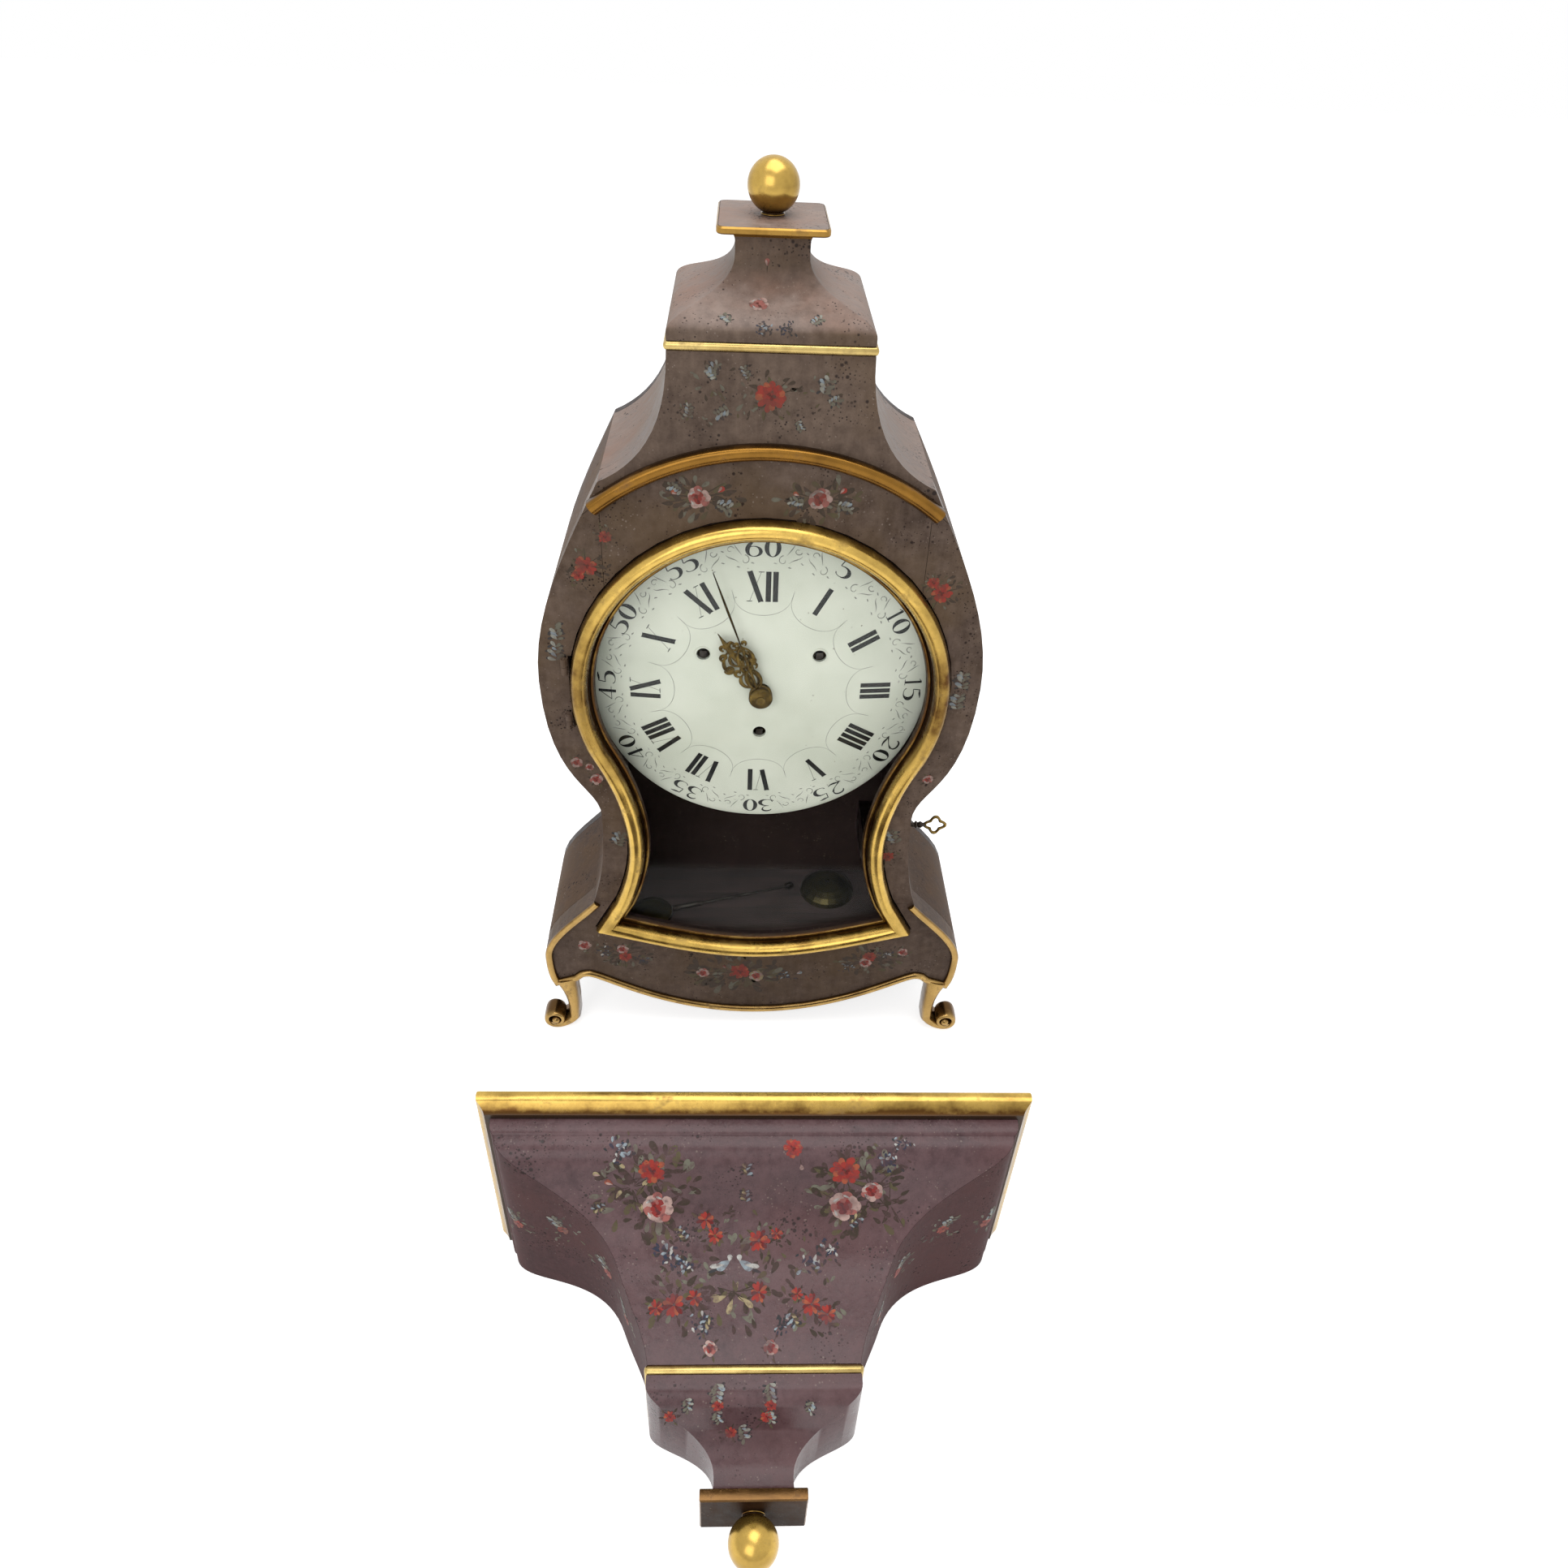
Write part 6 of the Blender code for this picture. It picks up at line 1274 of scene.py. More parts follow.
def digit(number):
    """(strokes, width) of a numeral one unit tall, drawn with a broad pen."""
    thick, thin = 0.075, 0.018
    if number == 0:
        left = bezier((0.28, 1), (0.02, 0.95), (0.02, 0.05), (0.28, 0), 10)
        right = bezier((0.28, 1), (0.54, 0.95), (0.54, 0.05), (0.28, 0), 10)
        return [pen(left, thin, thick), pen(right, thin, thick)], 0.64
    if number == 1:
        return [
            straight((0.16, 0), (0.16, 1), 0.6 * thick), straight((0.04, 0.86), (0.16, 0.98), thin),
            straight((0.04, 0.015), (0.28, 0.015), thin)
        ], 0.36
    if number == 2:
        top = bezier((0.06, 0.74), (0.08, 1.08), (0.50, 1.08), (0.46, 0.70), 8)
        down = bezier((0.46, 0.70), (0.42, 0.42), (0.14, 0.22), (0.04, 0.04), 8)
        foot = bezier((0.04, 0.05), (0.2, 0.14), (0.34, -0.06), (0.52, 0.14), 6)
        return [
            pen(top, thin, 0.8 * thick), pen(down, 0.6 * thick, thin), pen(foot, thin, 0.9 * thick)
        ], 0.62
    if number == 3:
        top = bezier((0.08, 0.84), (0.16, 1.08), (0.50, 1.04), (0.40, 0.70), 8)
        neck = bezier((0.40, 0.70), (0.36, 0.58), (0.28, 0.54), (0.18, 0.54), 5)
        low = bezier((0.18, 0.54), (0.66, 0.56), (0.56, -0.06), (0.24, 0), 10)
        tail = bezier((0.24, 0), (0.12, 0.01), (0.05, 0.08), (0.06, 0.18), 5)
        return [
            pen(top, thin, 0.8 * thick), pen(neck, thin, thin), pen(low, thin, thick), pen(tail, thin, thin)
        ], 0.60
    if number == 4:
        return [
            straight((0.36, 0), (0.36, 1), 0.75 * thick), straight((0.36, 0.98), (0.02, 0.26), thin),
            straight((0.02, 0.27), (0.54, 0.27), thin)
        ], 0.62
    if number == 5:
        flag = bezier((0.12, 0.96), (0.24, 0.90), (0.36, 1.0), (0.48, 0.98), 5)
        back = bezier((0.14, 0.96), (0.12, 0.8), (0.11, 0.7), (0.10, 0.58), 5)
        bowl = bezier((0.10, 0.56), (0.60, 0.76), (0.58, -0.06), (0.22, 0), 10)
        tail = bezier((0.22, 0), (0.12, 0.01), (0.05, 0.08), (0.06, 0.16), 5)
        return [
            pen(flag, thin, 0.8 * thick), pen(back, thin, thin), pen(bowl, thin, thick),
            pen(tail, thin, thin)
        ], 0.60
    stem = bezier((0.46, 0.98), (0.1, 0.86), (-0.08, 0.1), (0.28, 0), 10)
    bowl = bezier((0.28, 0), (0.62, 0.02), (0.58, 0.58), (0.28, 0.56), 8)
    over = bezier((0.28, 0.56), (0.18, 0.55), (0.10, 0.46), (0.07, 0.34), 5)
    return [pen(stem, thin, thick), pen(bowl, thin, 0.8 * thick), pen(over, thin, thin)], 0.62


def lettered(glyphs, ring, tall, squeeze, degrees, lift):
    """Strokes of a row of glyphs, upright on a ring of the dial at an angle clockwise from twelve."""
    whole = sum(width for _, width in glyphs)
    turn = math.radians(degrees)
    parts = []
    start = -whole / 2
    for strokes, width in glyphs:
        def place(x, y, start=start):
            across, up = (start + x) * tall * squeeze, ring + (y - 0.5) * tall
            return on_dial(
                across * math.cos(turn) + up * math.sin(turn),
                up * math.cos(turn) - across * math.sin(turn), lift
            )

        for line, halves in strokes:
            parts.append(stroke_strip(line, halves, place))
        start += width
    return parts


def make_numerals():
    parts = []
    for hour, numeral in enumerate(HOURS, 1):
        parts += lettered(
            [roman_letter(letter) for letter in numeral], HOUR_RING, HOUR_TALL, HOUR_SQUEEZE, 30 * hour,
            INK_LIFT
        )
    for mark in range(5, 65, 5):
        glyphs = [digit(int(character)) for character in str(mark)]
        parts += lettered(glyphs, MINUTE_RING, MINUTE_TALL, MINUTE_SQUEEZE, 6 * mark, INK_LIFT)
    points, faces = welded(parts)
    piece("dial_numerals", points, faces, "case", DIAL_BLACK, sheet=True)


def geometry_tree(name, label, kind):
    """A geometry tree with one named input and a finish: the tree, its input node and the identifiers."""
    tree = bpy.data.node_groups.new(name, "GeometryNodeTree")
    named = (("Geometry", "NodeSocketGeometry"), (label, kind), ("Finish", "NodeSocketMaterial"))
    made = [tree.interface.new_socket(word, in_out="INPUT", socket_type=sort) for word, sort in named]
    tree.interface.new_socket("Geometry", in_out="OUTPUT", socket_type="NodeSocketGeometry")
    return tree, tree.nodes.new("NodeGroupInput"), [socket.identifier for socket in made[1:]]


def end_tree(tree, given, spread):
    """Makes the instances real, gives them their finish and puts them out."""
    real = node(tree, "GeometryNodeRealizeInstances", {"Geometry": spread.outputs["Instances"]})
    finish = {"Geometry": real.outputs["Geometry"], "Material": given.outputs["Finish"]}
    coated = node(tree, "GeometryNodeSetMaterial", finish)
    feed(tree, tree.nodes.new("NodeGroupOutput"), {"Geometry": coated.outputs["Geometry"]})


def tracery_tree():
    """Geometry nodes that set one tracery motif twelve times round the dial."""
    tree, given, inputs = geometry_tree("tracery_round_dial", "Times", "NodeSocketInt")
    spots = node(tree, "GeometryNodePoints", {"Count": given.outputs["Times"]})
    index = tree.nodes.new("GeometryNodeInputIndex").outputs["Index"]
    share = maths(tree, "DIVIDE", index, given.outputs["Times"])
    angle = maths(tree, "MULTIPLY", share, 2 * math.pi)
    turn = node(tree, "ShaderNodeCombineXYZ", {"Y": angle})
    spread = node(
        tree, "GeometryNodeInstanceOnPoints",
        {"Points": spots.outputs[0], "Instance": given.outputs["Geometry"], "Rotation": turn.outputs[0]}
    )
    end_tree(tree, given, spread)
    return tree, *inputs


def scroll(at, turn, size, flip=1):
    """A small tapering scroll line, drawn flat from its root."""
    angles = np.linspace(0, 1.6 * math.pi, 14)
    reach = size * (1 - angles / (2.2 * math.pi))
    line = [
        (at[0] + r * math.cos(turn + flip * a), at[1] + r * math.sin(turn + flip * a))
        for a, r in zip(angles, reach)
    ]
    return line, list(np.linspace(0.0004, 0.00015, len(line)))


def make_tracery():
    """Grey line round each hour and small scrolls between the hours, one motif repeated twelve times."""
    def place(x, z):
        radius = math.hypot(x, z)
        return (x, dial_front(radius) - TRACERY_LIFT, z)

    parts = []

    def drawn(line, thin, thick):
        parts.append(stroke_strip(*pen(line, thin, thick), place))

    def sided(side, steps, *knots):
        return bezier(*[(side * x, z) for x, z in knots], steps)

    low = bezier((-0.0185, 0.0705), (-0.0125, 0.0580), (0.0125, 0.0580), (0.0185, 0.0705), 20)
    drawn(low, 0.00012, 0.0002)
    for side in (-1, 1):
        rise = sided(side, 6, (0.0186, 0.0705), (0.0198, 0.074), (0.0206, 0.077), (0.0212, 0.0792))
        twig = sided(side, 8, (0.0165, 0.0985), (0.0205, 0.1020), (0.0235, 0.1005), (0.0255, 0.1035))
        leaf = sided(side, 6, (0.0150, 0.1040), (0.0175, 0.1075), (0.0190, 0.1085), (0.0205, 0.1120))
        drawn(rise, 0.00008, 0.00014)
        parts.append(stroke_strip(*scroll((side * 0.0128, 0.1005), math.pi / 2, 0.0036, side), place))
        drawn(twig, 0.0001, 0.0004)
        parts.append(stroke_strip(*scroll((side * 0.0225, 0.1070), -0.4 * side, 0.0028, -side), place))
        drawn(leaf, 0.0001, 0.0004)
    for x, z in (
        (-0.0075, 0.0985), (0.0075, 0.0985), (-0.0272, 0.0975), (-0.0278, 0.1055), (-0.0170, 0.0955),
        (0.0170, 0.0955)
    ):
        blot = ((x - 0.0012, z), (x - 0.0004, z + 0.0009), (x + 0.0004, z - 0.0006), (x + 0.0012, z))
        drawn(bezier(*blot, 4), 0.0001, 0.0005)
    points, faces = welded(parts)
    mesh = bpy.data.meshes.new("tracery_motif")
    mesh.from_pydata(points, [], faces)
    motif = linked("tracery_motif", mesh)
    tree, times, finish = tracery_tree()
    repeat = motif.modifiers.new("round_dial", "NODES")
    repeat.node_group = tree
    repeat[times] = 12
    repeat[finish] = DIAL_GREY
    round_dial = evaluated(motif)
    bpy.data.objects.remove(motif)
    round_dial.transform(Matrix.Translation((0, FRONT, DIAL_HEIGHT)))
    round_dial.materials.clear()
    settled("dial_tracery", round_dial, "case", DIAL_GREY, turn_out=False)


make_dial()
make_numerals()
make_tracery()


# Hands and key


def swept_tube(centres, across, radii, sides=10):
    """A tube along points: each ring is an ellipse in its cross plane, with closed ends."""
    centres = np.array(centres, float)
    side = Vector(across).normalized()
    rings = []
    for index, centre in enumerate(centres):
        before, after = centres[max(index - 1, 0)], centres[min(index + 1, len(centres) - 1)]
        out = Vector(after - before).normalized().cross(side).normalized()
        wide, thick = radii[index] if np.ndim(radii[0]) else radii
        turns = np.linspace(0, 2 * math.pi, sides, endpoint=False)
        rings.append(
            [Vector(centre) + out * wide * math.cos(a) + side * thick * math.sin(a) for a in turns]
        )
    return rings_mesh(rings)


def hand_strand(line, thin, thick, turn, depth):
    """A flat brass strand of a hand along points (across, along), turned about the dial's centre."""
    angle = math.radians(turn)
    centres = []
    for x, along in line:
        across = x * math.cos(angle) - along * math.sin(angle)
        up = x * math.sin(angle) + along * math.cos(angle)
        centres.append((across, FRONT + depth, DIAL_HEIGHT + up))
    halves = swelling(line, thin, thick)
    return swept_tube(centres, (0, 1, 0), [(half, HAND_THICK / 2) for half in halves])


def curl(at, start, sweep, size, close=0.35):
    """A scroll line that winds from its outer end in towards a point."""
    turns = np.radians(np.linspace(start, start + sweep, 15))
    reach = np.linspace(size, close * size, 15)
    return [(at[0] + r * math.cos(a), at[1] + r * math.sin(a)) for a, r in zip(turns, reach)]


def flanked(lines):
    """Strand lines with their mirror images."""
    return lines + [mirrored(line) for line in lines]


def make_hour_hand():
    """Lacy hour hand: paired scrolls, an open leaf with curled lobes, and a short blade."""
    length, turn, front = HOUR_HAND
    root = [(0, 0.007), (0, 0.0115), (0, 0.016), (0, 0.0205), (0, 0.0255)]
    lines = flanked([
        bezier((0.001, 0.0085), (0.0085, 0.011), (0.008, 0.0195), (0.0012, 0.0215), 12),
        curl((0.0042, 0.0235), -90, 300, 0.0030),
        bezier((0.0008, 0.025), (0.0125, 0.0255), (0.0135, 0.036), (0.0012, 0.0425), 14),
        curl((0.0083, 0.0293), 10, -330, 0.0036),
        curl((0.0064, 0.0392), -60, 320, 0.0030),
        bezier((0.0006, 0.028), (0.0058, 0.031), (0.0052, 0.0365), (0.0005, 0.040), 10),
        curl((0.0030, 0.0462), -70, 310, 0.0022),
    ])
    blade = bezier((0, 0.0255), (0, 0.036), (0, 0.047), (0, length), 16)
    middle = front + HAND_THICK / 2
    parts = [hand_strand(line, 0.0006, 0.0015, turn, middle) for line in lines]
    parts.append(hand_strand(root, 0.0016, 0.0019, turn, middle))
    parts.append(hand_strand(blade, 0.0003, 0.0022, turn, middle))
    collar = [(BOSS[2] + out, rise) for out, rise in COLLAR_SECTION]
    parts.append(lathe(collar, (0, FRONT + front + HAND_THICK, DIAL_HEIGHT), (0, -1, 0), 36))
    points, faces = welded(parts)
    piece("hour_hand_lace", points, faces, "hour_work", HAND_BRASS, ["hour_hand"], sharp=60)


def make_minute_hand():
    """Slender minute hand that rises from scrollwork, with its turned boss."""
    length, turn, front = MINUTE_HAND
    lines = flanked([
        bezier((0.001, 0.008), (0.0066, 0.012), (0.0058, 0.0215), (0.0008, 0.0255), 12),
        curl((0.0036, 0.0272), -80, 300, 0.0025),
        bezier((0.0006, 0.0275), (0.0076, 0.0295), (0.0064, 0.0395), (0.0007, 0.0435), 12),
        curl((0.0042, 0.0318), 20, -320, 0.0024),
        curl((0.0024, 0.0462), -75, 310, 0.0018),
    ])
    stem = bezier((0, 0.007), (0, 0.02), (0, 0.035), (0, 0.047), 10)
    blade = [(0, along) for along in np.linspace(0.040, length, 18)]
    middle = front + HAND_THICK / 2
    lace = [hand_strand(line, 0.0005, 0.0013, turn, middle) for line in lines]
    lace.append(hand_strand(stem, 0.0006, 0.0012, turn, middle))
    radius, thick, bore = BOSS
    dome = [
        (0, thick + 0.0021), (0.4 * bore, thick + 0.0019), (0.8 * bore, thick + 0.0012),
        (bore, thick + 0.0003)
    ]
    face = dome + [
        (0.55 * radius, thick), (0.72 * radius, 0.93 * thick), (0.88 * radius, 0.72 * thick),
        (0.97 * radius, 0.4 * thick), (radius, 0.1 * thick), (radius, -0.2 * thick),
        (0.5 * radius, -0.2 * thick)
    ]
    lace.append(lathe(face, (0, FRONT + front, DIAL_HEIGHT), (0, -1, 0), 44))
    points, faces = welded(lace)
    piece(
        "minute_hand_lace", points, faces, "minute_work", HAND_BRASS, ["minute_hand"],
        sharp=60
    )
    points, faces = hand_strand(blade, 0.00035, 0.00085, turn, middle)
    piece("minute_hand_blade", points, faces, "minute_work", HAND_DARK)


def make_key():
    """Iron door key with collars and a pierced four-lobed brass bow."""
    low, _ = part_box("door_key")
    outside = half_at(CASE, KEY_HEIGHT) + KEY_REACH
    y = FRONT + KEY_DEPTH
    rise = outside - low[0]
    end = rise + 2 * KEY_BOW - 0.0186
    collars = [
        (0.0018, end - 0.008), (0.0030, end - 0.0072), (0.0030, end - 0.0062), (0.0019, end - 0.0054),
        (0.0027, end - 0.0036), (0.0027, end - 0.0026), (0.0017, end - 0.0014), (0.0017, end + 0.001),
        (0, end + 0.001)
    ]
    turned = [(0, 0), (0.0015, 0), (0.0018, 0.0005)] + collars
    parts = [lathe(turned, (low[0], y, KEY_HEIGHT), (1, 0, 0), 24)]
    bit = [
        [
            (low[0] + x, y + side * 0.0008, KEY_HEIGHT + z)
            for x, side in ((0, -1), (0.006, -1), (0.006, 1), (0, 1))
        ]
        for z in (-0.0062, -0.0052, -0.001)
    ]
    parts.append(rings_mesh(bit))
    points, faces = welded(parts)
    piece("door_key_shank", points, faces, "key", IRON, ["door_key"], sharp=50)
    centre = outside + 2 * KEY_BOW - 0.0098
    turns = np.linspace(0, 2 * math.pi, 60, endpoint=False)
    rings = []
    for a in turns:
        reach = 0.0070 * (1 + 0.2 * math.cos(4 * a))
        ring = []
        for b in np.linspace(0, 2 * math.pi, 10, endpoint=False):
            far = reach + 0.0014 * math.cos(b)
            ring.append(
                (centre + far * math.cos(a), y + 0.0011 * math.sin(b), KEY_HEIGHT + far * math.sin(a))
            )
        rings.append(ring)
    points, faces = rings_mesh(rings, closed=True)
    piece("door_key_bow", points, faces, "key", BRASS)


def make_escutcheon():
    """Small oval brass keyhole plate on the right side."""
    at = half_at(CASE, KEY_HEIGHT)
    slope = (half_at(CASE, KEY_HEIGHT + 0.002) - half_at(CASE, KEY_HEIGHT - 0.002)) / 0.004
    axis = Vector((1, 0, -slope))
    profile = [
        (0.0034, -0.0004), (0.0034, 0.0006), (0.0042, 0.0010), (0.0058, 0.0008), (0.0070, 0.0004),
        (0.0074, -0.0004)
    ]
    points, faces = lathe(profile + profile[:1], (at, FRONT + KEY_DEPTH, KEY_HEIGHT), axis, 40)
    points = [(x, y, KEY_HEIGHT + 1.35 * (z - KEY_HEIGHT)) for x, y, z in points]
    piece("keyhole_plate", points, faces, "case", BRASS)


make_hour_hand()
make_minute_hand()
make_key()
make_escutcheon()


# Flower sprays


CREAM = linear(188, 172, 132)
ROSE_PALE = linear(208, 176, 166)
ROSE_PINK = linear(184, 112, 104)
ROSE_RED = linear(164, 54, 48)
RED = linear(178, 60, 50)
RED_DARK = linear(116, 34, 32)
ORANGE = linear(188, 98, 68)
BLUE_WHITE = linear(164, 180, 188)
WHITE = linear(210, 210, 204)
TEAL_BLACK = linear(48, 54, 57)
NAVY = linear(44, 56, 76)
LEAF_DARK = linear(62, 54, 42)
LEAF_OLIVE = linear(96, 90, 62)
LEAF_GREY = linear(126, 126, 110)
PALE_GREY = linear(178, 180, 168)
CHANCE = np.random.default_rng(11)


def stroke(at, turn, long, wide, tint, layer=0):
    """One brush stroke from its root: place, direction in degrees, length, width, colour and layer."""
    return (at[0], at[1], math.radians(turn), long, wide, tint, layer)


def off(at, turn, reach, flat=1.0):
    """A point at a direction and a reach from a place, nearer up and down where flat is below one."""
    angle = math.radians(turn)
    return (at[0] + reach * math.cos(angle), at[1] + flat * reach * math.sin(angle))


def dabs(at, count, near, long, wide, tints, layer, start=0.0):
    """A ring of strokes round a place."""
    made = []
    for number in range(count):
        turn = start + 360 * number / count + CHANCE.uniform(-12, 12)
        size = CHANCE.uniform(0.82, 1.15)
        tint = tints[number % len(tints)]
        made.append(
            stroke(off(at, turn, near), turn, long * size, wide * CHANCE.uniform(0.85, 1.1), tint, layer)
        )
    return made


def leaves(at, reach, count, tints=(LEAF_DARK, LEAF_DARK, LEAF_OLIVE), flat=1.0):
    """Dark leaves that stick out round a flower, on thin stalks."""
    made = []
    for number in range(count):
        turn = 360 * number / count + CHANCE.uniform(-18, 18)
        far = reach * CHANCE.uniform(0.75, 1.3)
        tip = off(at, turn, far, flat)
        heading = math.degrees(math.atan2(at[1] - tip[1], at[0] - tip[0]))
        long = reach * CHANCE.uniform(0.34, 0.5)
        made.append(
            stroke(tip, heading + CHANCE.uniform(-25, 25), long, 0.42 * long, tints[number % len(tints)], 0)
        )
        made.append(stroke(tip, heading, 0.9 * far, 0.05 * reach, LEAF_DARK, 0))
    return made


def rose(at, radius, heart=ROSE_RED, petals=(ROSE_PALE, ROSE_PALE, ROSE_PINK)):
    """A round rose: pale outer petals, pink inner ones and a red heart to one side."""
    made = dabs(at, 9, 0.22 * radius, 0.85 * radius, 0.8 * radius, petals, 1)
    made += dabs(at, 7, 0.12 * radius, 0.55 * radius, 0.5 * radius, (ROSE_PINK, heart), 2)
    middle = (at[0] - 0.08 * radius, at[1] - 0.12 * radius)
    made += dabs(middle, 6, 0.02 * radius, 0.42 * radius, 0.36 * radius, (heart, heart, RED_DARK), 3)
    made += [
        stroke(off(at, turn, 0.72 * radius), turn + 95, 0.5 * radius, 0.16 * radius, WHITE, 4)
        for turn in (60, 120, 200)
    ]
    return made


def carnation(at, radius, tints=(RED, ORANGE, RED)):
    """A ragged red flower, deeper towards its heart."""
    made = dabs(at, 13, 0.25 * radius, 0.8 * radius, 0.46 * radius, tints, 1)
    made += dabs(at, 9, 0.12 * radius, 0.55 * radius, 0.4 * radius, (RED, ROSE_RED), 2, 20)
    made += dabs(at, 5, 0.03 * radius, 0.3 * radius, 0.24 * radius, (RED_DARK, ROSE_RED), 3)
    return made


def foliage(at, size, count, flat=1.0, tints=(LEAF_DARK, LEAF_OLIVE, LEAF_DARK, LEAF_GREY)):
    """Small leaves scattered round and behind a bunch of flowers."""
    made = []
    for number in range(count):
        turn = CHANCE.uniform(0, 360)
        far = size * math.sqrt(CHANCE.uniform(0.05, 1.0))
        spot = off(at, turn, far, flat)
        long = size * CHANCE.uniform(0.2, 0.34)
        made.append(
            stroke(spot, turn + CHANCE.uniform(-60, 60), long, 0.45 * long, tints[number % len(tints)], 0)
        )
    return made


def sprig(at, size, turn, tints=(LEAF_GREY, PALE_GREY, LEAF_GREY, BLUE_WHITE), pairs=5):
    """A small spray of bells: short strokes in pairs along a thin stalk."""
    made = [stroke(at, turn, size, 0.035 * size, LEAF_DARK, 0)]
    for number in range(pairs):
        spot = off(at, turn + CHANCE.uniform(-8, 8), size * (0.2 + 0.8 * number / pairs))
        for side in (-1, 1):
            long = size * CHANCE.uniform(0.24, 0.38)
            tint = tints[(2 * number + (side > 0)) % len(tints)]
            made.append(stroke(spot, turn + side * CHANCE.uniform(30, 75), long, 0.5 * long, tint, 2))
            dark = off(spot, turn + side * 50, 0.5 * long)
            made.append(
                stroke(dark, turn + side * CHANCE.uniform(70, 140), 0.8 * long, 0.35 * long, TEAL_BLACK, 1)
            )
    return made


def cluster(at, size, tints=(BLUE_WHITE, WHITE, NAVY, TEAL_BLACK)):
    """A loose clump of small bell flowers, light dabs over dark ones."""
    made = []
    for layer, share, tones in ((1, 1.0, (NAVY, TEAL_BLACK)), (2, 0.85, tints)):
        for _ in range(14):
            spot = (
                at[0] + size * share * CHANCE.normal(0, 0.42), at[1] + size * share * CHANCE.normal(0, 0.34)
            )
            long = size * CHANCE.uniform(0.22, 0.4)
            tint = tones[CHANCE.integers(len(tones))]
            made.append(stroke(spot, CHANCE.uniform(0, 360), long, 0.5 * long, tint, layer))
    return made


def bud(at, size, turn, tint=RED):
    return [
        stroke(off(at, turn + 180, size), turn, 1.1 * size, 0.14 * size, LEAF_DARK, 0),
        stroke(at, turn, size, 0.7 * size, tint, 2),
        stroke(at, turn + 14, 0.8 * size, 0.3 * size, ROSE_PALE, 3),
    ]


def mm(*values):
    return tuple(0.001 * value for value in values)


def case_strokes():
    """Sprays on the flat painted front, placed across and up: hood, rail, stiles and base."""
    made = carnation(mm(0.5, 549), 0.0088) + leaves(mm(0.5, 549), 0.013, 7)
    for x, z, size in (
        (0, 549, 0.017), (-33, 558, 0.014), (31, 553, 0.013), (-44, 537, 0.010), (-17, 545, 0.012)
    ):
        made += foliage(mm(x, z), size, 12, 0.8, (LEAF_GREY, LEAF_OLIVE, LEAF_GREY, LEAF_DARK))
    for x, z, size, turn in (
        (-36, 557, 12, 60), (-30, 558, 9, 140), (-22, 541, 11, 200), (-12, 558, 8, 120), (30, 549, 12, 75),
        (33, 545, 9, 30), (-48, 534, 9, 80), (16, 536, 8, 300)
    ):
        made += sprig(mm(x, z), 0.001 * size, turn)
    for x, z, tip in ((-42, 485.5, 4), (32.5, 486.5, -4)):
        made += rose(mm(x, z), 0.0066) + leaves(mm(x, z), 0.021, 13, flat=0.5)
        made += foliage(mm(x, z), 0.024, 34, 0.5)
        made += bud(mm(x + 12, z + 4), 0.005, 40) + bud(mm(x - 13, z + 2), 0.004, 150, ORANGE)
        made += sprig(mm(x - 8, z + tip), 0.011, 160) + sprig(mm(x + 9, z - 3), 0.012, -15)
    for x, z, radius in (
        (-100.5, 458, 4), (-113.5, 438, 6.6), (-119, 431, 4), (115, 424, 6.6), (109, 431, 4),
        (102, 194, 4.5)
    ):
        made += carnation(mm(x, z), 0.001 * radius) + leaves(mm(x, z), 0.0018 * radius, 7)
        made += foliage(mm(x, z), 0.0022 * radius, 10)
    for x, z, turn in (
        (-138, 364, 88), (-136, 380, 92), (137, 330, 92), (138, 347, 88), (-108, 200, 70), (107, 205, 110)
    ):
        made += sprig(mm(x, z), 0.016, turn)
    for x, z, radius in ((-131, 281, 4.2), (-118, 266, 4.6), (-122, 277, 3), (124, 270, 3.6)):
        made += rose(mm(x, z), 0.001 * radius) + leaves(mm(x, z), 0.0019 * radius, 6)
    made += rose(mm(-139, 92), 0.0052) + rose(mm(-108, 88), 0.0046) + carnation(mm(-106, 79), 0.0052)
    made += leaves(mm(-107, 82), 0.015, 10) + cluster(mm(-123, 84), 0.008)
    made += cluster(mm(-92, 75), 0.009, (TEAL_BLACK, NAVY, BLUE_WHITE))
    made += carnation(mm(-11, 62), 0.0085) + rose(mm(3, 57), 0.0058, RED, (CREAM, ROSE_PALE))
    made += rose(mm(-42, 60), 0.005)
    for x, z, size, count in (
        (-107, 82, 0.021, 34), (-131, 88, 0.012, 14), (-14, 60, 0.036, 60), (96, 77, 0.024, 40),
        (118, 86, 0.012, 14)
    ):
        made += foliage(mm(x, z), size, count, 0.5)
    made += leaves(mm(-6, 59), 0.024, 16, flat=0.55) + leaves(mm(-40, 58), 0.013, 9, flat=0.7)
    made += cluster(mm(24, 57), 0.009, (TEAL_BLACK, BLUE_WHITE)) + bud(mm(37, 60), 0.005, 30, BLUE_WHITE)
    made += bud(mm(-23, 66), 0.004, 120)
    made += carnation(mm(97, 81), 0.0056) + rose(mm(94, 74), 0.0052)
    made += leaves(mm(94, 76), 0.016, 11, flat=0.7)
    made += cluster(mm(110, 84), 0.008) + rose(mm(124, 87), 0.0042)
    made += cluster(mm(80, 68), 0.007, (TEAL_BLACK, BLUE_WHITE))
    return [item for item in made if on_board(item)]


def on_board(item):
    """True where both ends of a stroke keep clear of the case's side edge."""
    ends = (item[:2], off(item[:2], math.degrees(item[2]), item[3]))
    return all(z > SHOULDER[1] or abs(x) < half_at(CASE, z) - 0.004 for x, z in ends)


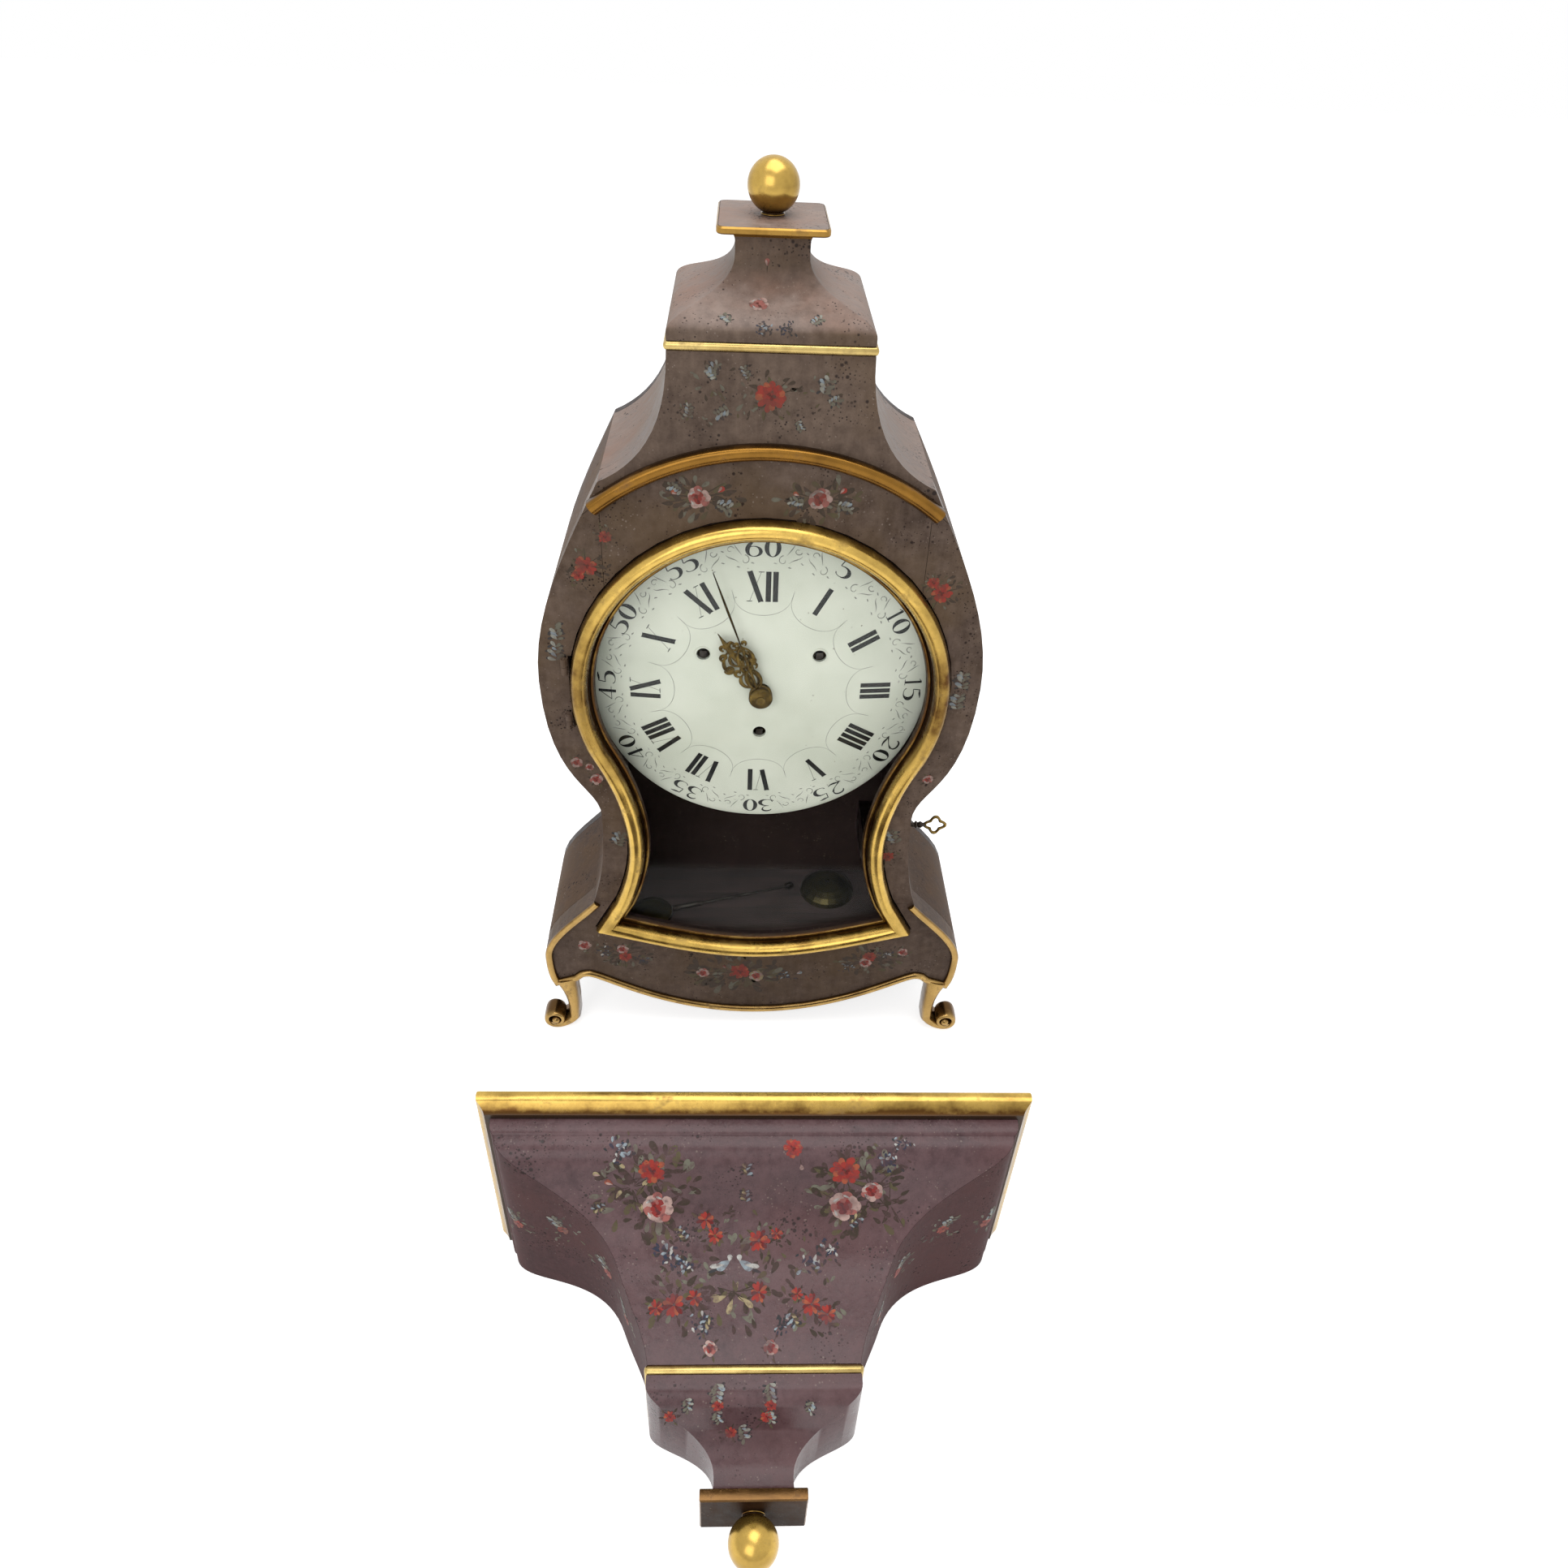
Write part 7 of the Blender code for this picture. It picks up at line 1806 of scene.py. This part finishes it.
def doves(at, size):
    """Two small grey doves beak to beak, in a few plain strokes each."""
    made = []
    for side in (-1, 1):
        body = (at[0] + side * 0.55 * size, at[1] - 0.15 * size)
        lean_out = 90 - side * 78
        for out, up, turn, long, wide, tint, layer in (
            (-0.25, 0.35, lean_out - side * 45, 1.0, 0.55, BLUE_WHITE, 2),
            (0.1, 0.1, lean_out - side * 20, 0.95, 0.3, WHITE, 3),
            (0.3, -0.1, lean_out - side * 30, 0.9, 0.18, TEAL_BLACK, 1),
            (-0.2, 0.3, 90 + side * 10, 0.42, 0.34, WHITE, 3),
        ):
            spot = (body[0] + side * out * size, body[1] + up * size)
            made.append(stroke(spot, turn, long * size, wide * size, tint, layer))
    return made


def bracket_strokes():
    """Sprays on the bracket's swept front, placed across and along the sweep from its top."""
    made = []
    for x, s, size, count in (
        (-70, -50, 0.030, 75), (66, -50, 0.030, 70), (-13, -108, 0.026, 40), (-45, -118, 0.022, 30),
        (35, -118, 0.020, 26), (-28, -75, 0.016, 18), (5, -82, 0.016, 18), (-88, -24, 0.014, 14),
        (88, -24, 0.014, 14), (-52, -95, 0.014, 14), (43, -93, 0.014, 14)
    ):
        made += foliage(mm(x, s), size, count)
    for x, s, radius in ((-67, -34.5, 8.5), (58, -34.5, 9.5)):
        made += leaves(mm(x, s - 4), 0.017, 12) + carnation(mm(x, s), 0.001 * radius)
    for x, s, radius in ((-63.5, -62, 9.5), (58, -61, 9.5), (76, -50, 7.2)):
        made += leaves(mm(x, s), 0.017, 11) + rose(mm(x, s), 0.001 * radius)
    for x, s, size in (
        (-87, -21, 11), (85.5, -26, 10), (95, -17, 7), (-57.6, -92, 12), (-44, -98, 9), (39.5, -95, 12),
        (50, -88, 9), (-33, -133, 8.5), (18, -133, 8.5)
    ):
        made += cluster(mm(x, s), 0.001 * size)
    made += leaves(mm(-80, -47), 0.016, 12, (LEAF_OLIVE, CREAM, LEAF_DARK))
    made += bud(mm(-92, -45), 0.006, 150, ORANGE)
    made += bud(mm(-100, -38), 0.005, 160, CREAM) + leaves(mm(88, -60), 0.014, 9)
    made += carnation(mm(23.5, -19.5), 0.0058) + bud(mm(29, -30), 0.004, -80, ROSE_PALE)
    for x, s, radius in (
        (-32, -70, 6), (-26, -80, 5), (2.6, -83, 7), (14, -79, 4), (-51, -121, 7), (-62, -123, 5),
        (-38, -117, 5), (2.7, -114, 6), (36, -121, 6.5), (46, -127, 5.5), (27, -115, 4)
    ):
        made += dabs(
            mm(x, s), 11, 0.0001 * radius, 0.0009 * radius, 0.0004 * radius, (RED, ORANGE, RED_DARK, RED), 1
        )
        made += leaves(mm(x, s), 0.0016 * radius, 5)
    made += doves(mm(-13, -97), 0.010)
    made += leaves(mm(-13, -114), 0.015, 10, (LEAF_OLIVE, LEAF_DARK, CREAM), 0.6)
    made += [
        stroke(mm(x, s), turn, 0.009, 0.0035, CREAM, 2)
        for x, s, turn in ((-18, -116, 200), (-14, -118, 250), (-8, -117, 320))
    ]
    for x, s in ((-27.5, -146), (10.3, -146)):
        made += rose(mm(x, s), 0.0042) + leaves(mm(x, s), 0.008, 6)
    for x, s, turn in (
        (-44, -84, 120), (-28, -125, 250), (22, -124, 290), (60, -75, 40), (-95, -60, 200), (-6, -60, 90),
        (-6, -40, 90)
    ):
        made += sprig(mm(x, s), 0.011, turn, (BLUE_WHITE, LEAF_OLIVE, TEAL_BLACK, CREAM))
    return made


def pendant_strokes():
    """Two hanging garlands and a few buds on the pendant."""
    made = []
    for x in (-23, 9):
        made += sprig(mm(x, -3), 0.013, -88) + carnation(mm(x + 1, -18), 0.0036)
        made += sprig(mm(x, -20), 0.010, -80)
    for x, s, radius in ((8, -26, 4), (-51, -25, 3.4), (-14, -36, 3.4)):
        made += carnation(mm(x, s), 0.001 * radius) + leaves(mm(x, s), 0.002 * radius, 6)
    made += sprig(mm(-10, -30), 0.012, -60) + sprig(mm(36, -14), 0.010, -110)
    return made + sprig(mm(-42, -12), 0.010, -70)


def cap_strokes():
    """A pink flower and dark blue bells on the cap's front."""
    made = rose(mm(-7.5, 26), 0.0052, ROSE_PINK) + cluster(mm(-4, 8), 0.006, (NAVY, TEAL_BLACK, BLUE_WHITE))
    made += cluster(mm(8, 8.5), 0.006, (NAVY, TEAL_BLACK)) + bud(mm(-3, 52), 0.004, 90, ROSE_PINK)
    return made + sprig(mm(-22, 10), 0.009, 130) + sprig(mm(22, 10), 0.009, 50)


def side_strokes(sign):
    """Small sprays on a bracket side, by the height off the wall and the way down the sweep."""
    made = []
    for height, s in ((62, -28), (72, -62), (50, -98), (36, -126)):
        at = mm(-sign * height, s)
        made += foliage(at, 0.014, 16) + carnation(at, 0.0045) + sprig(at, 0.014, 90 + 60 * sign)
    return made


def laid_strokes_tree():
    """Geometry nodes that set a brush stroke on each point, turned and sized by the point's values."""
    tree, given, inputs = geometry_tree("laid_strokes", "Stroke", "NodeSocketObject")
    shown = node(tree, "GeometryNodeObjectInfo", {"Object": given.outputs["Stroke"]})
    turn, size = (
        node(tree, "GeometryNodeInputNamedAttribute", {"Name": name}, data_type=kind).outputs["Attribute"]
        for name, kind in (("turn", "FLOAT"), ("size", "FLOAT_VECTOR"))
    )
    facing = node(tree, "ShaderNodeCombineXYZ", {"Z": turn})
    spread = node(
        tree, "GeometryNodeInstanceOnPoints",
        {
            "Points": given.outputs["Geometry"], "Instance": shown.outputs["Geometry"],
            "Rotation": facing.outputs[0], "Scale": size
        }
    )
    end_tree(tree, given, spread)
    return tree, *inputs


def make_stroke_shape():
    """A teardrop one unit long, pointed at its root, with its way along kept as a value."""
    along = np.array([0, 0.12, 0.3, 0.5, 0.7, 0.85, 0.95, 1.0])
    half = 0.5 * np.array([0.06, 0.34, 0.66, 0.92, 1.0, 0.84, 0.5, 0.08])
    points = [(x, -h, 0) for x, h in zip(along, half)] + [(x, h, 0) for x, h in zip(along, half)]
    count = len(along)
    faces = [(n, n + 1, count + n + 1, count + n) for n in range(count - 1)]
    mesh = bpy.data.meshes.new("brush_stroke")
    mesh.from_pydata(points, [], faces)
    mesh.attributes.new("along", "FLOAT", "POINT").data.foreach_set("value", np.tile(along, 2))
    return linked("brush_stroke", mesh)


STROKE_TREE = laid_strokes_tree()
STROKE_LIFT = 0.00005
STROKE_STEPS = 16


def lay_strokes(name, strokes, place, body, finish):
    """Strokes as one piece, laid on a painted face by a function of (across, along, lift)."""
    mesh = bpy.data.meshes.new(name)
    spots = []
    for number, (u, v, *_, layer) in enumerate(strokes):
        own = number % STROKE_STEPS / (STROKE_STEPS + 1)
        spots.append((u, v, STROKE_LIFT * (1 + layer + own)))
    mesh.from_pydata(spots, [], [])
    for label, kind, field, data in (
        ("turn", "FLOAT", "value", [item[2] for item in strokes]),
        ("size", "FLOAT_VECTOR", "vector", [(item[3], item[4], 1.0) for item in strokes]),
        ("tint", "FLOAT_COLOR", "color", [item[5] for item in strokes]),
    ):
        mesh.attributes.new(label, kind, "POINT").data.foreach_set(field, np.ravel(data))
    dots = linked(name + "_dots", mesh)
    shape = make_stroke_shape()
    tree, shape_input, finish_input = STROKE_TREE
    step = dots.modifiers.new("laid_strokes", "NODES")
    step.node_group = tree
    step[shape_input] = shape
    step[finish_input] = finish
    laid = evaluated(dots)
    bpy.data.objects.remove(dots)
    bpy.data.objects.remove(shape)
    flat = np.empty(3 * len(laid.vertices))
    laid.vertices.foreach_get("co", flat)
    laid.vertices.foreach_set("co", np.ravel([place(*spot) for spot in flat.reshape(-1, 3)]))
    laid.materials.clear()
    settled(name, laid, body, finish, turn_out=False)


def swept_place(path, lay):
    """Placing function along a bent path of (out, off) points: along counts from its first point."""
    path = np.array(path)
    steps = np.linalg.norm(np.diff(path, axis=0), axis=1)
    way = np.concatenate([[0], np.cumsum(steps)])
    ahead = np.gradient(path, axis=0)
    ahead /= np.linalg.norm(ahead, axis=1)[:, None]

    def place(across, along, lift):
        first, second = np.interp(along, way, path[:, 0]), np.interp(along, way, path[:, 1])
        turn_a, turn_b = np.interp(along, way, ahead[:, 0]), np.interp(along, way, ahead[:, 1])
        return lay(across, first + lift * turn_b, second - lift * turn_a)

    return place


def make_sprays():
    """Flower sprays on the case, cap, bracket and pendant."""
    lay_strokes(
        "case_sprays", case_strokes(), lambda u, v, lift: (u, FRONT - lift, v), "case", CASE_SPRAY,
    )
    cap_path = [(CAP_FOOT + height, FRONT + inset) for height, inset in CAP_SWEEP]
    cap_place = swept_place(cap_path, lambda x, z, y: (x, y, z))
    lay_strokes("cap_sprays", cap_strokes(), cap_place, "case", CASE_SPRAY)
    front_path = [(BRACKET_FACE - depth, front) for depth, _, front in BRACKET_SWEEP]
    front_place = swept_place(front_path, lambda x, y, z: (x, y, z))
    lay_strokes(
        "bracket_sprays", bracket_strokes(), lambda u, v, lift: front_place(u, -v, lift), "bracket",
        BRACKET_SPRAY
    )
    side_path = [(BRACKET_FACE - depth, half) for depth, half, _ in BRACKET_SWEEP]
    for side, sign in (("left", -1), ("right", 1)):
        side_place = swept_place(side_path, lambda u, y, x, sign=sign: (sign * x, y, -sign * u))
        strokes = side_strokes(sign)
        lay_strokes(
            "bracket_side_sprays_" + side, strokes, lambda u, v, lift: side_place(u, -v, lift), "bracket",
            CASE_SPRAY
        )
    pendant_path = [
        (BRACKET_FACE - PENDANT_TOP - height, pendant_front(inset)) for height, inset in PENDANT_SWEEP
    ]
    pendant_place = swept_place(pendant_path, lambda x, y, z: (x, y, z))
    lay_strokes(
        "pendant_sprays", pendant_strokes(), lambda u, v, lift: pendant_place(u, -v, lift), "bracket",
        BRACKET_SPRAY
    )


make_sprays()


# Plain CAD pieces get their finish


def finish_frame():
    """Gives every shown CAD node the material of its slot."""
    finishes = {
        "painted_case": CASE_PAINT, "painted_bracket": BRACKET_PAINT, "gilt_wood": PLAIN_GILDING,
        "bare_wood": BARE_WOOD, "enamel": ENAMEL, "glass": GLASS, "bell_metal": BELL_METAL, "iron": IRON,
        "gilt_brass": HAND_BRASS, "brass": BRASS
    }
    special = {
        "back_panel": INNER_SHADE_PAINT, "hood_front": TOP_PAINT, "pendulum_rod": IRON, "pendulum_bob": BELL_METAL
    }
    for place in ("lower", "upper"):
        special["hinge_case_" + place] = CASE_PAINT
        special["hinge_door_" + place] = CASE_PAINT
    slots = {part["node"]: part["material_slot"] for part in frame["record"]["subparts"]}
    for name, obj in frame["nodes"].items():
        obj.data.materials.clear()
        obj.data.materials.append(special.get(name, finishes[slots[name]]))


finish_frame()


# Stage, light and camera

FLOOR_REACH = 6.0
FLOOR_DROP = 0.0002
FLOOR_GLOW = 0.72
FLOOR_WHITE = (0.9, 0.9, 0.9, 1)
WHITE_LIGHT = (1, 1, 1, 1)
SURROUND_LIGHT = 0.42
CAMERA_PLACE = (-0.0165, -0.5033, 0.7798)
CAMERA_YAW = math.radians(3.08)
CAMERA_PITCH = math.radians(38.25)
CAMERA_ROLL = math.radians(2.73)
CAMERA_LENS = 26.09
CAMERA_SENSOR = 36


def make_stage():
    """Plain white floor that keeps the shadow, and a white surround."""
    mesh = bpy.data.meshes.new("studio_floor")
    reach = FLOOR_REACH
    corners = [(-reach, -reach, 0), (reach, -reach, 0), (reach, reach, 0), (-reach, reach, 0)]
    mesh.from_pydata(corners, [], [(0, 1, 2, 3)])
    floor = linked("studio_floor", mesh)
    floor.location = (0, 0, -FLOOR_DROP)
    material, tree, shader, _ = blank_material(
        "white_floor", base_color=FLOOR_WHITE, roughness=0.9, specular_ior_level=0.0,
        emission_color=WHITE_LIGHT
    )
    glow = ranged(tree, seen_rays(tree), 0.0, 1.0, 0.0, FLOOR_GLOW)
    feed(tree, shader, {"Emission Strength": glow})
    mesh.materials.append(material)
    world = bpy.data.worlds.new("studio")
    bpy.context.scene.world = world
    world.use_nodes = True
    tree = world.node_tree
    strength = ranged(tree, seen_rays(tree), 0.0, 1.0, SURROUND_LIGHT, 1.0)
    feed(tree, tree.nodes["Background"], {"Color": WHITE_LIGHT, "Strength": strength})


def seen_rays(tree):
    """One for rays that show the surround: straight to the camera, in a reflection or through glass."""
    path = tree.nodes.new("ShaderNodeLightPath")
    seen = maths(tree, "MAXIMUM", path.outputs["Is Camera Ray"], path.outputs["Is Transmission Ray"])
    return maths(tree, "MAXIMUM", seen, path.outputs["Is Glossy Ray"])


def soft_box(name, at, towards, size, power):
    light = bpy.data.lights.new(name, "AREA")
    light.shape = "SQUARE"
    light.size = size
    light.energy = power
    lamp = linked(name, light)
    lamp.location = at
    lamp.rotation_euler = (Vector(towards) - Vector(at)).to_track_quat("-Z", "Y").to_euler()


def make_camera():
    """Camera at the photograph's viewing angle, looking down on both pieces."""
    yaw, pitch, roll = CAMERA_YAW, CAMERA_PITCH, CAMERA_ROLL
    level_ahead = Vector((math.sin(yaw), math.cos(yaw), 0))
    level_right = Vector((math.cos(yaw), -math.sin(yaw), 0))
    ahead = math.cos(pitch) * level_ahead - math.sin(pitch) * Vector((0, 0, 1))
    up = math.sin(pitch) * level_ahead + math.cos(pitch) * Vector((0, 0, 1))
    right = math.cos(roll) * level_right + math.sin(roll) * up
    top = -math.sin(roll) * level_right + math.cos(roll) * up
    lens = bpy.data.cameras.new("camera")
    lens.lens = CAMERA_LENS
    lens.sensor_width = CAMERA_SENSOR
    camera = linked("camera", lens)
    turn = Matrix((right, top, -ahead)).transposed().to_4x4()
    camera.matrix_world = Matrix.Translation(CAMERA_PLACE) @ turn
    bpy.context.scene.camera = camera


make_stage()
soft_box("overhead_soft_box", at=(0.1, 0.15, 2.3), towards=(0, 0, 0.2), size=1.6, power=22)
soft_box("front_soft_box", at=(-0.7, -1.7, 1.5), towards=(0, 0.1, 0.25), size=1.4, power=12)
make_camera()
bpy.context.scene.view_settings.view_transform = "Standard"
